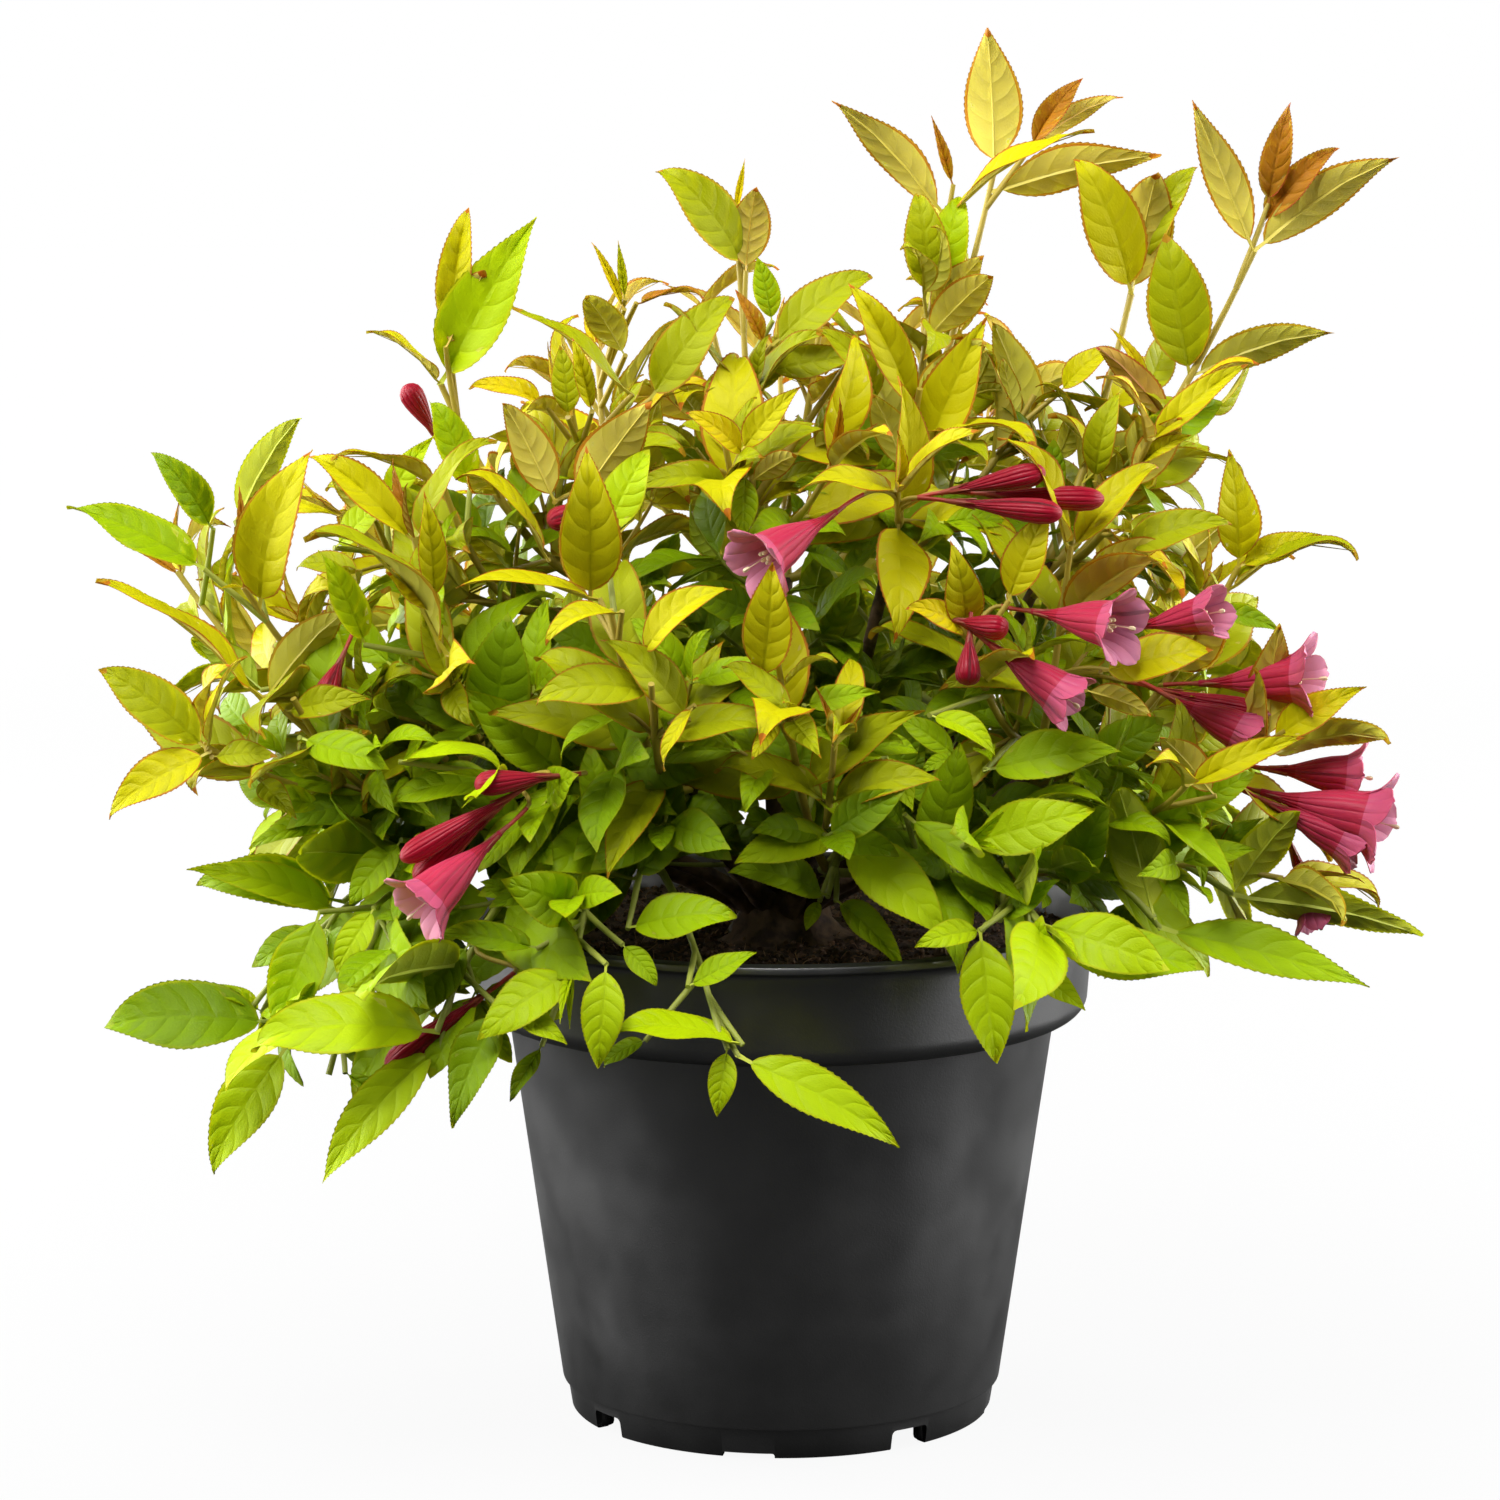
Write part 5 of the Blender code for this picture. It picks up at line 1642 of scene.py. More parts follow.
@dataclass
class Stem:
    """A grown shoot."""

    plan: ShootPlan
    way: Way


def finder_of(stems: Sequence[Stem], skipped: int) -> tuple[KDTree, list[Stem]]:
    """A search tree over the stems' places.

    Args:
        stems: The stems.
        skipped: How many places at each stem's foot are left out.

    Returns:
        The tree, and the stem that each of its places is on.
    """
    points = [(place, stem) for stem in stems for place in stem.way[skipped:]]
    finder = KDTree(len(points))
    for index, (place, _) in enumerate(points):
        finder.insert(place, index)
    finder.balance()
    return finder, [stem for _, stem in points]


@dataclass
class Crown:
    """Stems, side twigs and leaves that grow on from the boughs by one rule."""

    seed: int = 11
    nodes: tuple[float, ...] = (2.0, 27.0, 54.0, 80.0, 106.0, 132.0)
    tall_nodes: tuple[float, ...] = (2.0, 44.0, 76.0, 102.0, 126.0, 148.0)
    angles: tuple[float, ...] = (38.0, 48.0, 58.0, 64.0, 68.0, 70.0)
    lengths: tuple[float, ...] = (0.96, 1.06, 1.0, 0.88, 0.78, 0.70)
    bare_foot: float = 16.0
    stem_base: float = 1.75
    stem_tip: float = 0.95
    side_length: Span = (16.0, 34.0)
    side_leaf: Span = (26.0, 40.0)
    side_shares: tuple[float, ...] = (0.0, 0.35, 0.75, 0.9, 0.9, 0.9)
    side_foot: float = 6.0
    side_angles: Span = (34.0, 58.0)
    side_leaf_angles: Span = (40.0, 60.0)
    side_low_angles: Span = (50.0, 70.0)
    side_two_pairs: float = 22.0
    node_swell: float = 0.25
    leaf_shares: Span = (0.90, 1.06)
    leaf_swing: float = 8.0
    spears: tuple[Span, ...] = ((0, 0.58), (1, 0.46))
    neighbours: Span = (0.18, 0.80)
    tries: tuple[Place, ...] = (
        (0, 0, 1.0), (0.35, 0.1, 0.95), (-0.35, 0.15, 0.92), (0.1, 0.4, 0.86), (0, -0.25, 0.78)
    )
    tilt: float = 0.30
    seen_clearance: float = 13.0
    seen_reach: float = 5.0
    seen_stalk: float = 14.0
    inside_step: float = 15.0
    inside_margin: float = 30.0
    inside_angles: Span = (48.0, 75.0)
    twigs: list[Twig] = field(default_factory=list)
    leaves: list[LeafPlace] = field(default_factory=list)
    stems: list[Stem] = field(default_factory=list)
    seen: list[tuple[Vector, Vector]] = field(default_factory=list)

    def __post_init__(self) -> None:
        """Make the store, the room and the dice."""
        self.store = LeafStore(5)
        self.room = Room()
        self.skyline = Skyline()
        self.dice = random.Random(self.seed)
        self.dropped = 0

    def grow(self, boughs: dict[str, Way]) -> None:
        """Grow all stems, then leaves a node at a time, then side twigs.

        Args:
            boughs: The boughs' ways by name.
        """
        plans = list(SHOOTS)
        for tier in TIERS:
            plans += tier.shoots()
        self.grow_stems(plans, boughs)
        self.grow_seen()
        for level in range(len(self.nodes)):
            for stem in self.stems:
                self.grow_pair(stem, level)
        for level in range(1, len(self.nodes)):
            for stem in self.stems:
                self.grow_sides(stem, level)
        for name, way in boughs.items():
            self.grow_inside(name, way)
        LOG.info("%d leaves, %d left out, %d twigs", len(self.leaves), self.dropped, len(self.twigs))

    def grow_stems(self, plans: Sequence[ShootPlan], boughs: dict[str, Way]) -> None:
        """The main stems from their boughs and the forks from the main stems.

        Args:
            plans: The shoots' plans.
            boughs: The boughs' ways by name.
        """
        main: dict[str, Way] = {}
        used: dict[str, int] = {}
        forks: dict[str, int] = {}
        for plan in plans:
            tip = place_of(plan.azimuth, plan.reach, plan.height)
            if plan.mass in main:
                joint = main[plan.mass][5 + 3 * (forks.get(plan.mass, 0) % 3)]
                forks[plan.mass] = forks.get(plan.mass, 0) + 1
                base = self.stem_base * 0.85
            else:
                order = used.get(plan.bough, 0)
                used[plan.bough] = order + 1
                joint, _ = from_tip(boughs[plan.bough], 7 * order * MM)
                base = self.stem_base
            sway = self.dice.uniform(-3, 3) * MM
            way = arc(joint, tip, plan.bend, 18, sway)
            main.setdefault(plan.mass, way)
            self.stems.append(Stem(plan, way))
            age = Age.GREEN if plan.dress.low else Age.SHOOT
            self.twigs.append(Twig(way, self.swollen(way, base, self.stem_tip, self.nodes_on(plan)), age))

    def nodes_on(self, plan: ShootPlan) -> tuple[float, ...]:
        """How far back from the tip a shoot's nodes lie: further apart on the tallest."""
        return self.tall_nodes if plan.dress is Dress.CREST else self.nodes

    def swollen(self, way: Way, base: float, tip: float, nodes: tuple[float, ...]) -> list[float]:
        """Radii that taper and swell a little at each node.

        Args:
            way: The stem's way.
            base: The radius at its foot.
            tip: The radius at its tip.
            nodes: The nodes' distances back from the tip.

        Returns:
            A radius for each place of the way.
        """
        length = way_length(way)
        radii = []
        run = 0.0
        for index, place in enumerate(way):
            if index:
                run += (place - way[index - 1]).length
            share = run / length
            back = (length - run) / MM
            swell = max(exp(-(((back - node) / 3.0) ** 2)) for node in nodes)
            radii.append((base + (tip - base) * share) * (1.0 + self.node_swell * swell) * MM)
        return radii

    def grow_pair(self, stem: Stem, level: int) -> None:
        """Opposite leaves at one node, turned a quarter round from node to node.

        Args:
            stem: The stem.
            level: The node's number from the tip.
        """
        plan = stem.plan
        distance = self.nodes_on(plan)[level] * MM
        if way_length(stem.way) - distance < self.bare_foot * MM and level > 0:
            return
        place, along = from_tip(stem.way, distance)
        turn = radians(plan.spin + 90 * level)
        tone = plan.dress.value[level]
        broad = plan.dress.low
        kind = (LeafKind.YOUNG, LeafKind.BLADE)[min(level, 1)] if not broad else LeafKind.BROAD
        taken = [way for root, way in self.seen if (root - place).length < self.seen_clearance * MM]
        for half in (0, 1):
            azimuth = turn + pi * half + self.dice.uniform(-0.15, 0.15)
            angle = radians(self.angles[level] + self.dice.uniform(-self.leaf_swing, self.leaf_swing))
            length = plan.leaf * self.lengths[level] * self.dice.uniform(*self.leaf_shares)
            tint = self.near_tone(tone, plan.dress, level)
            if len(taken) > 1:
                continue
            self.try_leaf(region_of(plan.mass), place, along, azimuth, angle, length, tint, kind)
        if level == 0 and not taken:
            spear_tone = Tone.LIME if broad else (Tone.BRONZE, Tone.AMBER)[self.dice.random() > 0.6]
            for half, share in self.spears:
                azimuth = turn + pi / 2 + pi * half
                angle = radians(12 + 8 * half)
                region = region_of(plan.mass)
                size = plan.leaf * share
                self.try_leaf(region, place, along, azimuth, angle, size, spear_tone, LeafKind.SPEAR)

    def grow_seen(self) -> None:
        """The leaves that the photograph shows best, each from the nearest stem or twig."""
        lens = Lens()
        finder, owners = finder_of(self.stems, 2)
        for row in SEEN_LEAVES:
            wanted = lens.place(row.base, row.depth)
            near, index, distance = finder.find(wanted)
            stem = owners[index]
            far = distance > self.seen_reach * MM
            root = wanted if far else near
            tip = lens.place(row.tip, row.depth + row.nearer)
            if far:
                start, _ = self.behind(stem.way, near, self.seen_stalk * MM)
                along = (wanted - start).normalized()
                way = arc(start, wanted + along * (0.5 * MM), 0.0, 7, self.dice.uniform(-1, 1) * MM)
                radii = [(1.15 - 0.04 * step) * MM for step in range(7)]
                age = Age.GREEN if row.tone in (Tone.LIME, Tone.FRESH, Tone.GREEN, Tone.DEEP) else Age.SHOOT
                self.twigs.append(Twig(way, radii, age))
            self.seen.append((root, (tip - root).normalized()))
            self.lay_leaf(region_of(stem.plan.mass), root, tip, row, lens)

    @staticmethod
    def behind(way: Way, place: Vector, distance: float) -> tuple[Vector, Vector]:
        """A stem's place a little way back from another place on it.

        Args:
            way: The stem's way.
            place: The place on it.
            distance: How far back to go.

        Returns:
            The place further back and the direction there.
        """
        nearest = min(range(len(way)), key=lambda index: (way[index] - place).length)
        kept = way[: nearest + 1] if nearest else way[:2]
        return from_tip(kept, min(distance, way_length(kept) * 0.9))

    def lay_leaf(self, region: str, root: Vector, tip: Vector, row: SeenLeaf, lens: Lens) -> None:
        """Lay one leaf from its root to its tip, its shown side towards the photograph.

        Args:
            region: The piece's name.
            root: The leaf's foot.
            tip: Its tip.
            row: The leaf's row.
            lens: The photograph's view.
        """
        chord = tip - root
        direction = chord.normalized()
        back = (lens.eye - root).normalized()
        share, lift = row.face.value
        wish = back * share + UP * lift
        normal = wish - direction * wish.dot(direction)
        normal = normal.normalized() if normal.length > 0.05 else direction.orthogonal().normalized()
        form = self.store.pick(row.kind, self.dice)
        own = self.store.chords[form]
        own_way = own.normalized()
        own_side = own_way.cross(UP).normalized()
        own_up = own_side.cross(own_way)
        side = direction.cross(normal).normalized()
        to = Matrix((side, direction, normal)).transposed()
        fro = Matrix((own_side, own_way, own_up))
        turn = (to @ fro).to_quaternion()
        size = chord.length / own.length
        corners = Room.shape(root, direction, normal, chord.length)
        self.room.add(corners, chord.length)
        self.leaves.append(LeafPlace(region, row.tone, form, root, tuple(turn), size))

    def near_tone(self, tone: Tone, dress: Dress, level: int) -> Tone:
        """The node's tone, or now and then its neighbour's.

        Args:
            tone: The node's tone.
            dress: The stem's tones.
            level: The node's number from the tip.

        Returns:
            The leaf's tone.
        """
        roll = self.dice.random()
        tones = dress.value
        low, high = self.neighbours
        if roll < low and level > 0:
            return tones[level - 1]
        if roll > high and level + 1 < len(tones):
            return tones[level + 1]
        return tone

    def try_leaf(
        self, region: str, place: Vector, along: Vector, azimuth: float, angle: float, length: float,
        tone: Tone, kind: LeafKind,
    ) -> bool:
        """Grow a leaf, turned or shortened a little where its first place is taken.

        Args:
            region: The crown's region that it belongs to.
            place: The node that it grows from.
            along: The stem's direction there.
            azimuth: Its turn round the stem.
            angle: Its angle to the stem.
            length: Its length in millimetres.
            tone: Its tone.
            kind: Its kind.

        Returns:
            Whether it found room.
        """
        for turn, opening, share in self.tries:
            direction = spread(along, azimuth + turn, angle + opening)
            normal = upper_side(place, along, direction)
            roll = self.dice.uniform(-self.tilt, self.tilt)
            normal = (Matrix.Rotation(roll, 3, direction) @ normal).normalized()
            size = length * share * MM
            corners = Room.shape(place, direction, normal, size)
            seen = all(self.skyline.holds(corner) for corner in (*corners[1:4], place))
            if seen and (kind is LeafKind.SPEAR or self.room.clear(corners, size)):
                self.room.add(corners, size)
                side = direction.cross(normal).normalized()
                matrix = Matrix((side, direction, normal)).transposed()
                turn_way = tuple(matrix.to_quaternion())
                form = self.store.pick(kind, self.dice)
                self.leaves.append(LeafPlace(region, tone, form, place, turn_way, size))
                return True
        self.dropped += 1
        return False

    def grow_sides(self, stem: Stem, level: int) -> None:
        """Short leafy side twigs in the axils of one node.

        Args:
            stem: The stem.
            level: The node's number from the tip.
        """
        plan = stem.plan
        distance = self.nodes_on(plan)[level] * MM
        if way_length(stem.way) - distance < self.side_foot * MM:
            return
        place, along = from_tip(stem.way, distance)
        turn = radians(plan.spin + 90 * level)
        for half in (0, 1):
            if self.dice.random() > self.side_shares[level]:
                continue
            azimuth = turn + pi * half + self.dice.uniform(-0.3, 0.3)
            angle = radians(self.dice.uniform(*self.side_angles))
            tones = plan.dress.value[min(level + 1, 5) :] or (Tone.DEEP,)
            self.side_twig(region_of(plan.mass), place, along, azimuth, angle, level, tones[0], plan.dress)

    def side_twig(
        self, region: str, place: Vector, along: Vector, azimuth: float, angle: float, level: int,
        tone: Tone, dress: Dress,
    ) -> None:
        """One side twig with a pair or two of small leaves and its last leaf.

        Args:
            region: The piece's name.
            place: The twig's foot.
            along: The stem's direction.
            azimuth: The turn round the stem.
            angle: The angle off the stem.
            level: The node's number from the tip.
            tone: The leaves' tone.
            dress: The stem's tones.
        """
        length = self.dice.uniform(*self.side_length) * (0.5 if level == 1 else 1.0) * MM
        direction = spread(along, azimuth, angle)
        tip = place + direction * length + UP * (0.12 * length)
        way = arc(place, tip, self.dice.uniform(-1.5, 1.5), 6, self.dice.uniform(-2, 2) * MM)
        size = self.dice.uniform(*self.side_leaf)
        heading = (way[-1] - way[-2]).normalized()
        spin = self.dice.uniform(0, tau)
        grown = 0
        kind = LeafKind.SMALL if dress.low or level > 2 else LeafKind.BLADE
        for half in (0, 1):
            turn = spin + pi * half
            opening = radians(self.dice.uniform(*self.side_leaf_angles))
            grown += self.try_leaf(region, tip, heading, turn, opening, size, tone, kind)
        grown += self.try_leaf(region, tip, heading, spin + pi / 2, radians(14), size * 0.8, tone, kind)
        if length > self.side_two_pairs * MM:
            middle = way[3]
            for half in (0, 1):
                turn = spin + pi / 2 + pi * half
                opening = radians(self.dice.uniform(*self.side_low_angles))
                grown += self.try_leaf(region, middle, heading, turn, opening, size * 0.85, tone, kind)
        if grown:
            age = Age.GREEN if dress.low or level > 2 else Age.SHOOT
            radii = [(0.95 - 0.35 * index / 5) * MM for index in range(6)]
            self.twigs.append(Twig(way, radii, age))

    def grow_inside(self, name: str, way: Way) -> None:
        """Leafy twigs along a bough, which fill the crown's inside.

        Args:
            name: The bough's name.
            way: The bough's way.
        """
        length = way_length(way)
        region = {"left": "left", "front": "front", "centre": "top", "tall": "top", "right": "right"}
        home = region.get(name.split("_")[1], "back_low")
        distance = 6 * MM
        turn = self.dice.uniform(0, tau)
        while distance < length - self.inside_margin * MM:
            place, along = from_tip(way, distance)
            for half in (0, 1):
                azimuth = turn + pi * half
                angle = radians(self.dice.uniform(*self.inside_angles))
                self.side_twig(home, place, along, azimuth, angle, 4, Tone.GREEN, Dress.SHADE)
            turn += pi / 2 + 0.3
            distance += self.inside_step * MM

    def build(self) -> None:
        """The leaves as one piece for each region, and the twigs as one piece."""
        for region, starts in REGIONS.items():
            meshes = []
            for tone in Tone:
                chosen = [leaf for leaf in self.leaves if leaf.region == region and leaf.tone is tone]
                if chosen:
                    meshes.append(spray_mesh(chosen, tone, self.store))
            piece = joined(f"leaves_{region}", meshes)
            finish_piece(piece, nodes_named(*(f"foliage_{start}" for start in starts)))
        self.store.clear()
        meshes = []
        for age in Age:
            chosen = [twig for twig in self.twigs if twig.age is age]
            if chosen:
                meshes.append(twig_mesh(chosen, age, 8))
        piece = joined("twigs", meshes)
        finish_piece(piece, nodes_named("foliage_"))


# Woody crown and boughs


@dataclass
class Wood:
    """The root crown and boughs as one mesh with bark relief."""

    base_radius: float = 3.1
    tip_radius: float = 1.9
    soil_height: float = 168.0
    crown_radius: float = 19.0
    crown_height: float = 17.0
    foot_rise: float = 0.45
    ring_step: float = 1.6
    sides: int = 18
    flare: Span = (1.6, 9.0)
    ridge: float = 0.16
    knot: float = 0.10
    crown_sides: int = 36
    crown_rings: tuple[Span, ...] = (
        (-0.12, 1.30), (0.0, 1.12), (0.14, 0.96), (0.35, 0.82), (0.6, 0.74), (0.85, 0.58), (1.0, 0.30)
    )
    finish: MottledFinish = MottledFinish(
        "bark_brown", (0.06, 0.032, 0.016), (0.7, 0.92), 520.0, 140.0, 0.6 * MM, second=(0.19, 0.115, 0.06)
    )

    def ways(self) -> dict[str, Way]:
        """Each bough's way from the root crown to its tip.

        Returns:
            The ways by the bough's name.
        """
        centre = Vector((0.0, 0.0, (self.soil_height + self.crown_height * 0.5) * MM))
        made = {}
        for index, plan in enumerate(BOUGHS):
            tip = place_of(plan.azimuth, plan.reach, plan.height)
            reach = tip - centre
            aim = Vector((reach.x, reach.y, reach.z * self.foot_rise)).normalized()
            foot = centre + aim * (self.crown_radius * 0.55 * MM)
            side = 2.0 * sin(2.3 * index) * MM
            made[plan.name] = arc(foot, tip, plan.bend, 40, side)
        return made

    def build(self, ways: dict[str, Way]) -> Thing:
        """The whole woody framework as one piece.

        Args:
            ways: The boughs' ways.

        Returns:
            The finished piece.
        """
        meshes = [self.root_crown()]
        for index, way in enumerate(ways.values()):
            meshes.append(self.bark_tube(way, index))
        for mesh in meshes:
            mesh.materials.append(self.finish.made())
        piece = joined("woody_frame", meshes)
        return finish_piece(piece, ["root_crown", *ways])

    def bark_tube(self, way: Way, index: int) -> Mesh:
        """A tapering limb with furrows and knots.

        Args:
            way: The limb's way.
            index: The limb's number, which moves its furrows.

        Returns:
            The limb as a mesh.
        """
        length = way_length(way)
        count = max(12, round(length / (self.ring_step * MM)))
        rows = []
        for ring in range(count + 1):
            back = length * (1 - ring / count)
            place, along = from_tip(way, back)
            side = along.cross(Vector((0.3, 0.9, 0.1))).normalized()
            over = along.cross(side)
            share = ring / count
            radius = self.base_radius + (self.tip_radius - self.base_radius) * share
            radius += self.flare[0] * exp(-((length - back) / (self.flare[1] * MM)))
            row = []
            for angle in turns(self.sides):
                out = side * cos(angle) + over * sin(angle)
                ridge = noise.noise(Vector((cos(angle) * 2.6, sin(angle) * 2.6, share * 5 + 9 * index)))
                knot = noise.noise(Vector((angle * 0.5, share * 14 + 3 * index, 0.0)))
                row.append(place + out * (radius * (1 + self.ridge * ridge + self.knot * knot) * MM))
            rows.append(row)
        return smooth(tube_of("bough", rows), 60)

    def root_crown(self) -> Mesh:
        """The low knotted crown that all boughs leave.

        Returns:
            The root crown as a mesh.
        """
        rows = []
        for rise, share in self.crown_rings:
            row = []
            for angle in turns(self.crown_sides):
                lobe = 1 + 0.14 * cos(3 * angle + 0.6) * (1 - rise) + 0.07 * cos(7 * angle)
                rough = 1 + 0.22 * noise.noise(Vector((cos(angle) * 3, sin(angle) * 3, rise * 4)))
                radius = self.crown_radius * share * lobe * rough
                height = self.soil_height + rise * self.crown_height
                row.append(Vector((radius * cos(angle), radius * sin(angle), height)) * MM)
            rows.append(row)
        return smooth(tube_of("root_crown", rows), 60)


def tube_of(name: str, rows: Sequence[Sequence[Vector]]) -> Mesh:
    """A closed tube through rings of points, capped at both ends.

    Args:
        name: The mesh's name.
        rows: The rings, each of as many points.

    Returns:
        The mesh with its faces outward.
    """
    sides = len(rows[0])
    places = [place for row in rows for place in row]
    faces = []
    for ring in range(len(rows) - 1):
        for corner in range(sides):
            low, after = ring * sides + corner, ring * sides + (corner + 1) % sides
            faces.append([low, after, after + sides, low + sides])
    foot = list(range(sides))
    faces += [foot[::-1], [(len(rows) - 1) * sides + corner for corner in foot]]
    return outward(mesh_of(name, places, faces))


# Flowers


class FlowerKind(Enum):
    """How far a flower has opened."""

    BUD = "bud"
    HALF = "half"
    OPEN = "open"


@dataclass(frozen=True)
class FlowerPlan:
    """A flower's calyx and mouth in millimetres, and how far it has opened."""

    kind: FlowerKind
    calyx: Place
    mouth: Place
    stalk: float = 12.0


def flower_rows(
    length: float, profile: Sequence[Span], sides: int, lobes: int, lobe_depth: float
) -> list[list[Vector]]:
    """Rings of a flower tube along +Z.

    Args:
        length: The tube's length in metres.
        profile: For each ring, its share of the length and its radius in millimetres.
        sides: How many points a ring has.
        lobes: How many folds run along it.
        lobe_depth: How deep they are, as a share of the radius.

    Returns:
        The rings.
    """
    rows = []
    for share, radius in profile:
        sizes = [(angle, radius * (1 + lobe_depth * share * cos(lobes * angle))) for angle in turns(sides)]
        rows.append([Vector((size * cos(a) * MM, size * sin(a) * MM, share * length)) for a, size in sizes])
    return rows


def petal(name: str, colour: Colour, roughness: Span, subsurface: float, sheen: float) -> VeinedFinish:
    """A petal's finish with fine streaks along it."""
    streaks = dict(veins=14.0, specular=0.25)
    grain = (1800.0, 160.0, 0.02 * MM)
    return VeinedFinish(f"petal_{name}", colour, roughness, *grain, subsurface, sheen, **streaks)


BUD_PROFILE = (
    (0.0, 0.9), (0.1, 1.0), (0.22, 1.5), (0.38, 2.5), (0.54, 3.4), (0.68, 4.0), (0.80, 4.2), (0.90, 3.7),
    (0.96, 2.6), (0.99, 1.4), (1.0, 0.5)
)
THROAT = 0.66
THROAT_RADIUS = 6.9
FUNNEL_PROFILE = (
    (0.0, 1.0), (0.08, 1.1), (0.17, 1.6), (0.26, 2.6), (0.36, 4.0), (0.46, 5.3), (0.56, 6.3),
    (THROAT, THROAT_RADIUS)
)
FUNNEL_LENGTH = 40 * MM
OVARY_PROFILE = ((-0.5, 0.6), (-0.2, 0.85), (0.0, 1.0), (0.3, 1.05), (0.5, 1.15))
SEPAL_PROFILE = ((0.0, 0.55), (0.35, 0.50), (0.7, 0.32), (1.0, 0.08))
SEPAL_CORNERS = ((-1, 0), (0, -0.3), (1, 0), (0, 0.25))
STAMEN_PROFILE = ((0.45, 0.22), (0.7, 0.22), (0.93, 0.22), (0.95, 0.7), (0.98, 0.85), (1.0, 0.45))


